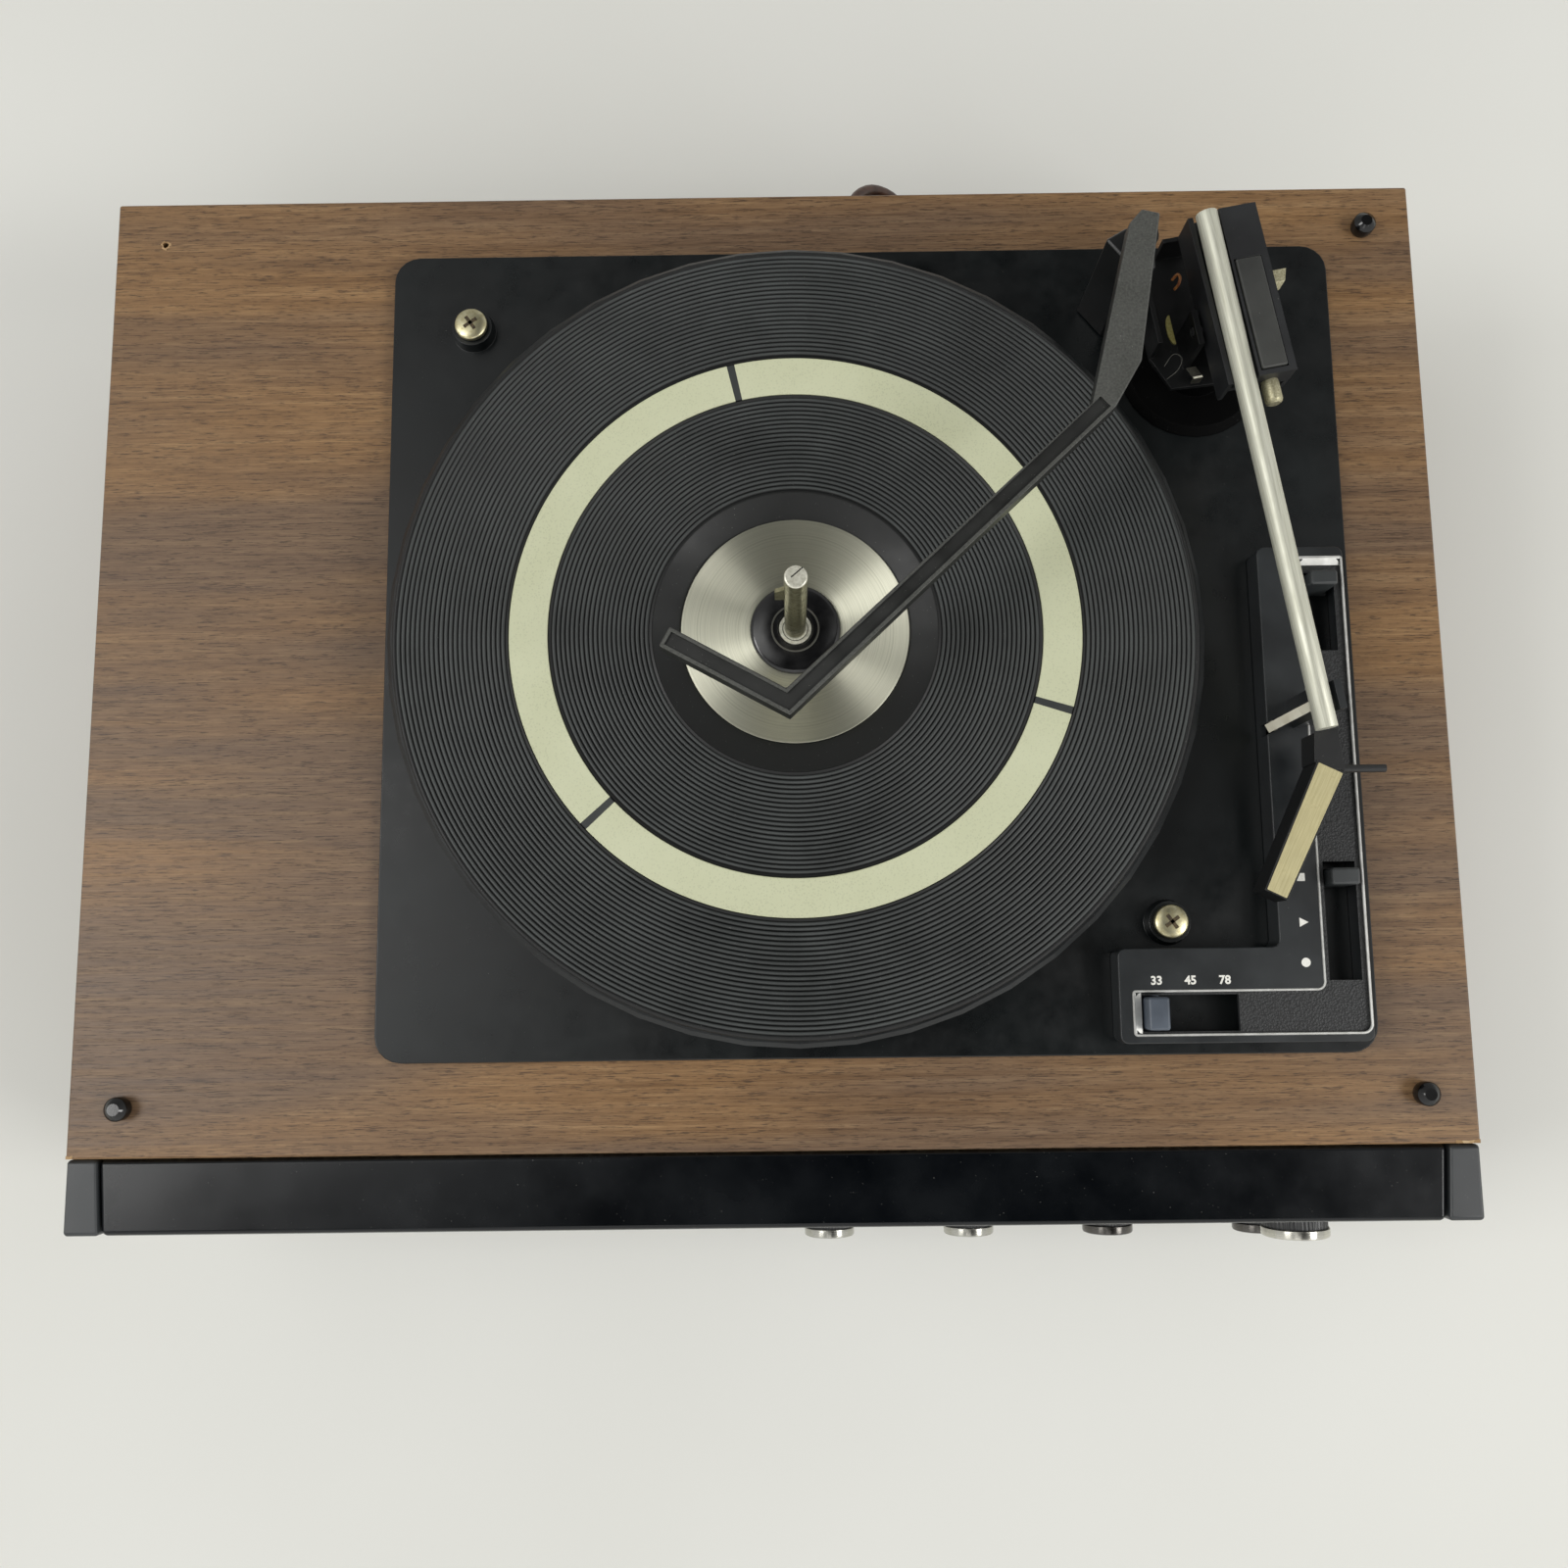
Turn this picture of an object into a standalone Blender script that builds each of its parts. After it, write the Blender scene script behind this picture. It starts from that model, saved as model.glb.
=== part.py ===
"""A compact music center of the 1970s: an automatic record changer in a walnut-vinyl cabinet with a receiver.

Run with: blender --background --python part.py, or from Blender's text editor.
Metres, +Z up, front at -Y. The origin is on the floor under the middle of the set, its mains lead left out.
"""

import math

import bmesh
import bpy
from mathutils import Vector

# Driving dimensions: the cabinet
CABINET_W = 0.470
CABINET_H = 0.118
TOP_D = 0.340
BOARD_T = 0.012
FOOT_H = 0.010
FASCIA_D = 0.025
KNOB_REACH = 0.0160

# Driving dimensions: the changer
PLATE_W = 0.3343
PLATE_D = 0.2853
PLATE_RISE = 0.004
PLATTER_R = 0.137
PLATTER_H = 0.0135
MAT_R = 0.1345
MAT_T = 0.0025
MAT_RISE = 0.0195
SPINDLE_H = 0.0627
SPINDLE_X = 0.010
SPINDLE_BACK = 0.1714
PLATE_MID_X = 0.03505
PLATE_MID_BACK = 0.17295

# Clearances shared by all pieces
GAP = 0.0003
RUN = 0.0003
OVER = 0.001
MERGE = 0.00002

# Levels and places that follow from these
TOP_Z = FOOT_H + CABINET_H
OVERALL_D = TOP_D + FASCIA_D + KNOB_REACH
REAR_Y = OVERALL_D / 2
FRONT_Y = REAR_Y - TOP_D
FACE_Y = FRONT_Y - FASCIA_D
PLATE_TOP = TOP_Z + PLATE_RISE
MAT_TOP = PLATE_TOP + MAT_RISE
SPINDLE_Y = FRONT_Y + SPINDLE_BACK
PLATE_MID_Y = FRONT_Y + PLATE_MID_BACK


for old in list(bpy.data.objects):
    bpy.data.objects.remove(old, do_unlink=True)

PARTS = bpy.data.collections.new("music_center")
CUTTERS = bpy.data.collections.new("cutters")
bpy.context.scene.collection.children.link(PARTS)
bpy.context.scene.collection.children.link(CUTTERS)


def material(name, colour, roughness, metallic=0.0):
    """A Principled material of one plain colour."""
    made = bpy.data.materials.new(name)
    made.use_nodes = True
    shader = made.node_tree.nodes["Principled BSDF"]
    shader.inputs["Base Color"].default_value = (*colour, 1.0)
    shader.inputs["Roughness"].default_value = roughness
    shader.inputs["Metallic"].default_value = metallic
    made.diffuse_color = (*colour, 1.0)
    return made


WALNUT = material("walnut_vinyl", (0.20, 0.11, 0.06), 0.45)
BLACK = material("black_styrene", (0.015, 0.016, 0.018), 0.4)
DECK = material("black_enamel", (0.012, 0.015, 0.017), 0.35)
RUBBER = material("black_rubber", (0.02, 0.021, 0.022), 0.6)
CREAM = material("cream_ink", (0.62, 0.61, 0.46), 0.5)
BRUSHED = material("brushed_aluminium", (0.72, 0.71, 0.66), 0.3, 1.0)
NICKEL = material("nickel_plate", (0.66, 0.63, 0.55), 0.25, 1.0)
STEEL = material("zinc_steel", (0.45, 0.46, 0.47), 0.4, 1.0)
WHITE = material("white_nylon", (0.8, 0.78, 0.68), 0.4)
GREY = material("grey_blue_styrene", (0.19, 0.22, 0.28), 0.4)
HARDBOARD = material("hardboard", (0.17, 0.10, 0.06), 0.8)
GLASS = material("clear_acrylic", (0.3, 0.3, 0.3), 0.1)
BOARD = material("phenolic_board", (0.35, 0.20, 0.08), 0.6)
BROWN = material("brown_vinyl_lead", (0.13, 0.06, 0.035), 0.45)


# Modelling helpers

def link(name, mesh, made_of, parent=None):
    """Puts a mesh into the scene as a named part, or as a cutter when it has no material."""
    made = bpy.data.objects.new(name, mesh)
    if made_of is None:
        CUTTERS.objects.link(made)
        made.hide_render = True
        made.display_type = "WIRE"
    else:
        PARTS.objects.link(made)
        mesh.materials.append(made_of)
    made.parent = parent
    return made


def empty(name, where, turn=0.0):
    """An empty on a joint's axis, to carry the pieces that move about it."""
    made = bpy.data.objects.new(name, None)
    PARTS.objects.link(made)
    made.location = where
    made.rotation_euler = (0, 0, turn)
    return made


def finish_mesh(name, build):
    """A mesh from a bmesh, its faces turned outwards."""
    bmesh.ops.recalc_face_normals(build, faces=build.faces)
    mesh = bpy.data.meshes.new(name)
    build.to_mesh(mesh)
    build.free()
    return mesh


def bevel(piece, width, segments=1, angle=math.radians(40)):
    """Rounds the sharp edges of a piece."""
    edge = piece.modifiers.new("Bevel", "BEVEL")
    edge.width = width
    edge.segments = segments
    edge.limit_method = "ANGLE"
    edge.angle_limit = angle
    edge.harden_normals = False
    return piece


def box(name, low, high, made_of=None, parent=None, soft=0.0):
    """A block between two corners, its edges rounded where soft is given."""
    build = bmesh.new()
    bmesh.ops.create_cube(build, size=1)
    bmesh.ops.scale(build, vec=[b - a for a, b in zip(low, high)], verts=build.verts)
    made = link(name, finish_mesh(name, build), made_of, parent)
    made.location = [(a + b) / 2 for a, b in zip(low, high)]
    if soft:
        bevel(made, soft)
    return made


def rod(name, radius, low, high, made_of=None, parent=None, at=(0, 0), sides=24, far_radius=None):
    """An upright cylinder, or a cone where its upper radius differs."""
    build = bmesh.new()
    upper = radius if far_radius is None else far_radius
    bmesh.ops.create_cone(build, cap_ends=True, segments=sides, radius1=radius, radius2=upper, depth=high - low)
    made = link(name, finish_mesh(name, build), made_of, parent)
    made.location = (at[0], at[1], (low + high) / 2)
    return made


def turned(name, profile, made_of=None, parent=None, at=(0, 0, 0), sides=32, turn=(0, 0, 0)):
    """A profile of (radius, height) points, run down its outer side, swept round by a Screw modifier."""
    mesh = bpy.data.meshes.new(name)
    closed = profile[0][0] > 0
    count = len(profile)
    edges = [(i, (i + 1) % count) for i in range(count if closed else count - 1)]
    mesh.from_pydata([(r, 0, z) for r, z in profile], edges, [])
    made = link(name, mesh, made_of, parent)
    made.location = at
    made.rotation_euler = turn
    screw = made.modifiers.new("Screw", "SCREW")
    screw.steps = sides
    screw.render_steps = sides
    screw.use_merge_vertices = True
    screw.merge_threshold = MERGE
    weld = made.modifiers.new("Weld", "WELD")
    weld.merge_threshold = MERGE
    return made


def rounded(points, radius, steps=3):
    """An outline with each corner replaced by an arc."""
    out = []
    for i, corner in enumerate(points):
        corner = Vector(corner)
        back = (Vector(points[i - 1]) - corner).normalized()
        ahead = (Vector(points[(i + 1) % len(points)]) - corner).normalized()
        half = back.angle(ahead) / 2
        centre = corner + (back + ahead).normalized() * radius / math.sin(half)
        start = corner + back * radius / math.tan(half) - centre
        sweep = (math.pi - 2 * half) * (1 if back.cross(ahead) < 0 else -1)
        for k in range(steps + 1):
            turn = sweep * k / steps
            out.append((centre.x + start.x * math.cos(turn) - start.y * math.sin(turn),
                        centre.y + start.x * math.sin(turn) + start.y * math.cos(turn)))
    return out


def rectangle(x0, x1, y0, y1):
    """The four corners of a rectangle."""
    return [(x0, y0), (x1, y0), (x1, y1), (x0, y1)]


def flat(name, outlines, low, high, made_of=None, parent=None):
    """A flat piece: a filled 2D curve given a thickness, then made a mesh with its caps welded."""
    curve = bpy.data.curves.new(name, "CURVE")
    curve.dimensions = "2D"
    curve.fill_mode = "BOTH"
    curve.extrude = (high - low) / 2
    for points in outlines:
        spline = curve.splines.new("POLY")
        spline.points.add(len(points) - 1)
        for slot, (x, y) in zip(spline.points, points):
            slot.co = (x, y, 0, 1)
        spline.use_cyclic_u = True
    holder = bpy.data.objects.new(name, curve)
    CUTTERS.objects.link(holder)
    graph = bpy.context.evaluated_depsgraph_get()
    build = bmesh.new()
    build.from_mesh(bpy.data.meshes.new_from_object(holder.evaluated_get(graph)))
    bpy.data.objects.remove(holder)
    bmesh.ops.remove_doubles(build, verts=build.verts, dist=MERGE)
    made = link(name, finish_mesh(name, build), made_of, parent)
    made.location = (0, 0, (low + high) / 2)
    return made


def prism(name, section, start, end, made_of=None, parent=None):
    """A section of (y, z) points carried along local X from start to end."""
    made = flat(name, [section], start, end, made_of, parent)
    for point in made.data.vertices:
        y, z, x = point.co
        point.co = (x, y, z)
    made.location = ((start + end) / 2, 0, 0)
    return made


def tube(name, points, radius, made_of, parent=None, resolution=2):
    """A wire, rod or lead: a curve with a round bevel and filled caps."""
    curve = bpy.data.curves.new(name, "CURVE")
    curve.dimensions = "3D"
    curve.bevel_depth = radius
    curve.bevel_resolution = resolution
    curve.use_fill_caps = True
    curve.render_resolution_u = 0
    spline = curve.splines.new("POLY")
    spline.points.add(len(points) - 1)
    for slot, point in zip(spline.points, points):
        slot.co = (*point, 1)
    return link(name, curve, made_of, parent)


def combine(piece, tool, operation):
    """Adds a Boolean modifier; the tool is kept as a guide only."""
    step = piece.modifiers.new(operation.title(), "BOOLEAN")
    step.operation = operation
    step.solver = "EXACT"
    step.object = tool
    return piece


def cut(piece, *tools):
    """Takes each tool's shape out of the piece."""
    for tool in tools:
        combine(piece, tool, "DIFFERENCE")
    return piece


def join(piece, *tools):
    """Makes each tool's shape one with the piece."""
    for tool in tools:
        combine(piece, tool, "UNION")
    return piece


def smooth(*pieces, angle=math.radians(35)):
    """Smooth shading for round pieces, with their sharp edges kept."""
    for piece in pieces:
        if piece.type == "MESH":
            piece.data.shade_smooth()
            piece.data.set_sharp_from_angle(angle=angle)


# Unit plate: its own sizes come first, because the cabinet's cut-out follows it
PLATE_T = 0.0015
PLATE_SKIRT = 0.0034
PLATE_CORNER = 0.009
PLATE_EDGE = 0.0015
PLATE_WALL = 0.002
PLATE_X0 = PLATE_MID_X - PLATE_W / 2
PLATE_X1 = PLATE_MID_X + PLATE_W / 2
PLATE_Y0 = PLATE_MID_Y - PLATE_D / 2
PLATE_Y1 = PLATE_MID_Y + PLATE_D / 2
PLATE_UNDER = PLATE_TOP - PLATE_T

# Transit screws and the springs round them
SCREW_REAR = (-0.113, 0.1156)
SCREW_FRONT = (0.1235, -0.0974)
SPRING_FRONT_LEFT = (-0.124, -0.124)
SPRING_REAR_RIGHT = (0.168, 0.119)
SCREW_HEAD_R = 0.0055
SCREW_HEAD_H = 0.0026
SCREW_SHANK_R = 0.002
SCREW_L = 0.016
COLLAR_R = 0.0078
COLLAR_H = 0.0045
COLLAR_TOP_R = 0.0070
SCREW_SLOT = 0.0012
SCREW_HEAD_TOP_R = 0.0046
SPRING_R = 0.0062
SPRING_WIRE = 0.0007
SPRING_WELL_R = 0.008
SPRING_WELL_H = 0.009
SPRING_TURNS = 4
SPRING_POINTS = 7


def on_deck(offset):
    """A place given from the spindle's axis."""
    return (SPINDLE_X + offset[0], SPINDLE_Y + offset[1])


SPRING_PLACES = [on_deck(p) for p in (SCREW_REAR, SCREW_FRONT, SPRING_FRONT_LEFT, SPRING_REAR_RIGHT)]
SCREW_PLACES = SPRING_PLACES[:2]


# Cabinet
CUT_INSET = 0.008
CUT_CORNER = 0.005
TAB = 0.016
BUMPER_IN_X = 0.0178
BUMPER_FRONT = 0.0165
BUMPER_REAR = 0.016
BUMPER_HOLE_R = 0.0022
BUMPER_HOLE_H = 0.006
SIDE_EDGE = 0.0006
BUMPER_SPOTS = [(side * (CABINET_W / 2 - BUMPER_IN_X), y)
                for side, y in ((-1, FRONT_Y + BUMPER_FRONT), (1, FRONT_Y + BUMPER_FRONT),
                                (1, REAR_Y - BUMPER_REAR), (-1, REAR_Y - BUMPER_REAR))]


def cabinet_shell():
    """Top and sides folded from one vinyl-faced board, with the changer's cut-out and its spring tabs."""
    shell = box("cabinet_shell", (-CABINET_W / 2, FRONT_Y, FOOT_H), (CABINET_W / 2, REAR_Y, TOP_Z), WALNUT,
                soft=SIDE_EDGE)
    inside = box("cabinet_inside", (BOARD_T - CABINET_W / 2, FRONT_Y - OVER, FOOT_H - OVER),
                 (CABINET_W / 2 - BOARD_T, REAR_Y + OVER, TOP_Z - BOARD_T))
    x0, x1 = PLATE_X0 + CUT_INSET, PLATE_X1 - CUT_INSET
    y0, y1 = PLATE_Y0 + CUT_INSET, PLATE_Y1 - CUT_INSET
    (rx, ry), (fx, fy), (lx, ly), (bx, by) = SPRING_PLACES
    opening = [(lx + TAB, y0), (fx - TAB, y0), (fx - TAB, fy + TAB), (fx + TAB, fy + TAB), (fx + TAB, y0),
               (x1, y0), (x1, by - TAB), (bx - TAB, by - TAB), (bx - TAB, y1), (rx + TAB, y1),
               (rx + TAB, ry - TAB), (x0, ry - TAB), (x0, ly + TAB), (lx + TAB, ly + TAB)]
    hole = flat("cabinet_opening", [rounded(opening, CUT_CORNER, 2)], TOP_Z - BOARD_T - OVER, TOP_Z + OVER)
    wells = [rod("spring_well", SPRING_WELL_R, TOP_Z - SPRING_WELL_H, TOP_Z + OVER, at=spot, sides=16)
             for spot in SPRING_PLACES]
    pilots = [rod("screw_pilot", SCREW_SHANK_R + RUN, TOP_Z - BOARD_T - OVER, TOP_Z, at=spot, sides=12)
              for spot in SCREW_PLACES]
    stubs = [rod("bumper_hole", BUMPER_HOLE_R, TOP_Z - BUMPER_HOLE_H, TOP_Z + OVER, at=spot, sides=12)
             for spot in BUMPER_SPOTS]
    return cut(shell, inside, hole, *wells, *pilots, *stubs)


BOTTOM_T = 0.006
BOTTOM_VENTS = 7
BOTTOM_VENT_W = 0.005
BOTTOM_VENT_L = 0.060
BOTTOM_VENT_STEP = 0.014
PANEL_T = 0.003
PANEL_RECESS = 0.008
INNER_X = CABINET_W / 2 - BOARD_T - GAP
BOTTOM_TOP = FOOT_H + BOTTOM_T
PANEL_BACK_Y = REAR_Y - PANEL_RECESS
PANEL_FRONT_Y = PANEL_BACK_Y - PANEL_T


FOOT_R = 0.011
FOOT_TAPER = 0.001
FOOT_IN_X = 0.030
FOOT_IN_FRONT = 0.028
FOOT_IN_REAR = 0.036


def bottom_board():
    """Hardboard base with a row of cooling slots under the changer, on four tapered feet."""
    board = box("bottom_board", (-INNER_X, FRONT_Y + GAP, FOOT_H), (INNER_X, PANEL_BACK_Y, BOTTOM_TOP), HARDBOARD)
    for side in (-1, 1):
        for y in (FRONT_Y + FOOT_IN_FRONT, REAR_Y - FOOT_IN_REAR):
            spot = (side * (CABINET_W / 2 - FOOT_IN_X), y)
            join(board, rod("foot", FOOT_R - FOOT_TAPER, 0, FOOT_H + BOTTOM_T / 2, at=spot, far_radius=FOOT_R))
    slots = []
    for i in range(BOTTOM_VENTS):
        x = PLATE_MID_X + (i - (BOTTOM_VENTS - 1) / 2) * BOTTOM_VENT_STEP
        slots.append(rectangle(x - BOTTOM_VENT_W / 2, x + BOTTOM_VENT_W / 2,
                               PLATE_MID_Y - BOTTOM_VENT_L / 2, PLATE_MID_Y + BOTTOM_VENT_L / 2))
    return cut(board, flat("bottom_slots", slots, FOOT_H - OVER, BOTTOM_TOP + OVER))


BUMPER_R = 0.004
BUMPER_H = 0.006
BUMPER_TOP_R = 0.0024
BUMPER_STEM_R = 0.0019
BUMPER_STEM_H = 0.005


def cover_bumper(name, spot):
    """Rubber stud that carried the dust cover; the rear left one is lost and its hole is empty."""
    waist = TOP_Z + GAP + BUMPER_H / 2
    profile = [(0, TOP_Z + BUMPER_H), (BUMPER_TOP_R, TOP_Z + BUMPER_H), (BUMPER_R, waist), (BUMPER_R, TOP_Z + GAP),
               (BUMPER_STEM_R, TOP_Z + GAP), (BUMPER_STEM_R, TOP_Z - BUMPER_STEM_H), (0, TOP_Z - BUMPER_STEM_H)]
    return turned(name, profile, RUBBER, at=(*spot, 0), sides=14)


# Fascia, end caps and the control panel behind them
CAP_W = 0.0118
CAP_SLANT = 0.0018
CAP_SPLIT = 0.0007
FASCIA_DROP = 0.0008
FASCIA_WALL = 0.0025
FASCIA_EDGE = 0.0018
FASCIA_OPEN_TOP = 0.016
FASCIA_OPEN_BOTTOM = 0.011
FASCIA_OPEN_SIDE = 0.010
FASCIA_TOP = TOP_Z - FASCIA_DROP
CAP_INNER_REAR = CABINET_W / 2 - CAP_W + CAP_SLANT
CAP_INNER_FRONT = CABINET_W / 2 - CAP_W


def end_cap(name, side):
    """Moulded end cap, its inner side slanted to meet the fascia."""
    outline = [(side * CABINET_W / 2, FACE_Y), (side * CABINET_W / 2, FRONT_Y - GAP),
               (side * CAP_INNER_REAR, FRONT_Y - GAP), (side * CAP_INNER_FRONT, FACE_Y)]
    return bevel(flat(name, [outline], FOOT_H, FASCIA_TOP, BLACK), FASCIA_EDGE / 2)


def fascia_frame():
    """The front moulding: a deep top ledge and a frame round the control panel, open at the rear."""
    rear, front = CAP_INNER_REAR - CAP_SPLIT, CAP_INNER_FRONT - CAP_SPLIT
    outline = [(-front, FACE_Y), (front, FACE_Y), (rear, FRONT_Y - GAP), (-rear, FRONT_Y - GAP)]
    frame = bevel(flat("fascia_frame", [outline], FOOT_H, FASCIA_TOP, BLACK), FASCIA_EDGE, 2)
    hollow = box("fascia_hollow", (FASCIA_WALL - front, FACE_Y + FASCIA_WALL, FOOT_H + FASCIA_WALL),
                 (front - FASCIA_WALL, FRONT_Y + OVER, FASCIA_TOP - FASCIA_WALL))
    window = box("fascia_window", (FASCIA_OPEN_SIDE - front, FACE_Y - OVER, FOOT_H + FASCIA_OPEN_BOTTOM),
                 (front - FASCIA_OPEN_SIDE, FACE_Y + FASCIA_WALL + OVER, FASCIA_TOP - FASCIA_OPEN_TOP))
    return cut(frame, hollow, window)


PANEL_SHEET = 0.002
PANEL_SET_BACK = 0.001
KNOB_R = 0.0095
KNOB_PITCH = 0.0535
VOLUME_X = CABINET_W / 2 - 0.0495
KNOB_FIRST_X = VOLUME_X - 0.1648
KNOB_ROW_DROP = 0.082
TUNE_R = 0.0118
TUNE_DROP = 0.040
SHAFT_R = 0.003
WINDOW_X0 = 0.045 - CABINET_W / 2
WINDOW_X1 = CABINET_W / 2 - 0.085
WINDOW_Z0 = TOP_Z - 0.060
WINDOW_Z1 = TOP_Z - 0.024
SHEET_Y0 = FACE_Y + FASCIA_WALL + GAP
SHEET_Y1 = SHEET_Y0 + PANEL_SHEET
KNOB_Z = TOP_Z - KNOB_ROW_DROP
TUNE_Z = TOP_Z - TUNE_DROP
KNOB_XS = [KNOB_FIRST_X + i * KNOB_PITCH for i in range(3)] + [VOLUME_X]
TUNE_X = VOLUME_X
ACROSS_Y = (math.pi / 2, 0, 0)


POT_R = 0.010
POT_L = 0.009
POT_NUT_R = 0.0055
POT_NUT_L = 0.0022


def across(name, radius, x, z, y0, y1, sides=12):
    """A cutter or tool: a cylinder along Y."""
    made = rod(name, radius, 0, y1 - y0, sides=sides)
    made.rotation_euler = ACROSS_Y
    made.location = (x, (y0 + y1) / 2, z)
    return made


def control_panel():
    """Aluminium sheet behind the fascia's frame, with the dial's aperture and the four rotary controls."""
    half = CAP_INNER_FRONT - CAP_SPLIT - FASCIA_WALL - GAP
    sheet = box("control_panel", (-half, SHEET_Y0, FOOT_H + FASCIA_WALL + GAP),
                (half, SHEET_Y1, FASCIA_TOP - FASCIA_WALL - GAP), BRUSHED)
    aperture = box("dial_aperture", (WINDOW_X0, SHEET_Y0 - OVER, WINDOW_Z0), (WINDOW_X1, SHEET_Y1 + OVER, WINDOW_Z1))
    cut(sheet, aperture)
    for x in KNOB_XS:
        nut = across("pot_nut", POT_NUT_R, x, KNOB_Z, SHEET_Y1 - PANEL_SHEET / 2, SHEET_Y1 + POT_NUT_L + PANEL_SHEET / 2)
        pot = across("pot", POT_R, x, KNOB_Z, SHEET_Y1 + POT_NUT_L, SHEET_Y1 + POT_NUT_L + POT_L)
        bore = across("pot_bore", SHAFT_R + RUN, x, KNOB_Z, SHEET_Y0 - OVER, SHEET_Y1 + POT_NUT_L + POT_L + OVER)
        join(sheet, nut, pot)
        cut(sheet, bore)
    return cut(sheet, across("tune_bore", SHAFT_R + RUN, TUNE_X, TUNE_Z, SHEET_Y0 - OVER, SHEET_Y1 + OVER))


def dial_window():
    """Clear strip set in the panel's aperture."""
    return box("dial_window", (WINDOW_X0 + GAP, SHEET_Y0, WINDOW_Z0 + GAP),
               (WINDOW_X1 - GAP, SHEET_Y1, WINDOW_Z1 - GAP), GLASS)


SCALE_SET_BACK = 0.004
SCALE_T = 0.001
SCALE_LIP = 0.004
SCALE_POST_R = 0.002
SCALE_Y0 = SHEET_Y1 + SCALE_SET_BACK
SCALE_Y1 = SCALE_Y0 + SCALE_T


def dial_scale():
    """Printed plate behind the window, held off the panel by four posts."""
    scale = box("dial_scale", (WINDOW_X0 - SCALE_LIP, SCALE_Y0, WINDOW_Z0), (WINDOW_X1 + SCALE_LIP, SCALE_Y1, WINDOW_Z1),
                CREAM)
    for x in (WINDOW_X0 - SCALE_LIP / 2, WINDOW_X1 + SCALE_LIP / 2):
        for z in (WINDOW_Z0 + SCALE_LIP, WINDOW_Z1 - SCALE_LIP):
            post = box("scale_post", (x - SCALE_POST_R / 2, SHEET_Y1 + GAP, z - SCALE_POST_R),
                       (x + SCALE_POST_R / 2, SCALE_Y0 + SCALE_T / 2, z + SCALE_POST_R))
            join(scale, post)
    return scale


POINTER_W = 0.0008
POINTER_FOOT_W = 0.008
POINTER_FOOT_H = 0.003
POINTER_MARGIN = 0.003
POINTER_Y1 = SCALE_Y0 - GAP
POINTER_Y0 = POINTER_Y1 - POINTER_W
POINTER_TRAVEL = 0.075


def dial_pointer():
    """Needle that the tuning cord draws along the dial, with a foot over the plate's top edge."""
    x = (WINDOW_X0 + WINDOW_X1) / 2
    needle = box("dial_pointer", (x - POINTER_W / 2, POINTER_Y0, WINDOW_Z0 + POINTER_MARGIN),
                 (x + POINTER_W / 2, POINTER_Y1, WINDOW_Z1 + POINTER_FOOT_H), WHITE)
    foot = box("pointer_foot", (x - POINTER_FOOT_W / 2, POINTER_Y0, WINDOW_Z1 + GAP),
               (x + POINTER_FOOT_W / 2, SCALE_Y1, WINDOW_Z1 + POINTER_FOOT_H))
    return join(needle, foot)


KNOB_SKIRT_L = 0.005
KNOB_CAP_SHARE = 0.86
KNOB_EDGE = 0.0008
KNOB_NOTCH_W = 0.0012
SHAFT_TAIL = 0.011
TUNE_REACH = 0.0108


def knob(name, x, z, radius, reach):
    """A skirted knob with a metal cap and its shaft, turned about Y."""
    base = empty(name + "_axis", (x, 0, z))
    front = FACE_Y - reach
    length = reach - PANEL_SET_BACK
    cap = radius * KNOB_CAP_SHARE
    tail = front - SHEET_Y1 - SHAFT_TAIL
    profile = [(0, 0), (cap - KNOB_EDGE, 0), (cap, -KNOB_EDGE), (cap, KNOB_SKIRT_L - length),
               (radius, KNOB_SKIRT_L - length - KNOB_EDGE), (radius, -length), (SHAFT_R, -length), (SHAFT_R, tail),
               (0, tail)]
    made = turned(name, profile, BRUSHED, base, (0, front, 0), 24, ACROSS_Y)
    notch = box("knob_notch", (-KNOB_NOTCH_W / 2, front - OVER, cap / 2),
                (KNOB_NOTCH_W / 2, front + KNOB_EDGE, cap + OVER), parent=base)
    return cut(made, notch)


DRUM_R = 0.021
DRUM_T = 0.003
DRUM_X = CABINET_W / 2 - 0.120
DRUM_Z = TOP_Z - 0.044
DRUM_GAP = 0.002
DRUM_GROOVE = 0.001
CAPACITOR_W = 0.032
CAPACITOR_L = 0.024
CAPACITOR_PLATES = 6


def dial_drum():
    """Grooved drum on the tuning capacitor's spindle, drawn round by the tuning cord."""
    front = -SCALE_Y1 - DRUM_GAP
    rear = front - DRUM_T
    profile = [(0, front), (DRUM_R, front), (DRUM_R - DRUM_GROOVE, (front + rear) / 2), (DRUM_R, rear), (SHAFT_R, rear),
               (SHAFT_R, rear - CAPACITOR_L / 2), (0, rear - CAPACITOR_L / 2)]
    base = empty("dial_drum_axis", (DRUM_X, 0, DRUM_Z))
    return turned("dial_drum", profile, WHITE, base, sides=24, turn=ACROSS_Y)


TRAY_T = 0.001
TRAY_H = 0.014
TRAY_X1_BACK = 0.092
TRAY_FRONT = 0.012
TRAY_REAR = 0.020
TRAY_X0 = -INNER_X + 0.004
TRAY_X1 = TRAY_X0 + TRAY_X1_BACK
TRAY_Y0 = FRONT_Y + TRAY_FRONT
TRAY_Y1 = PANEL_FRONT_Y - TRAY_REAR
TRAY_Z0 = BOTTOM_TOP + GAP
STRAP_D = 0.014


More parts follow.
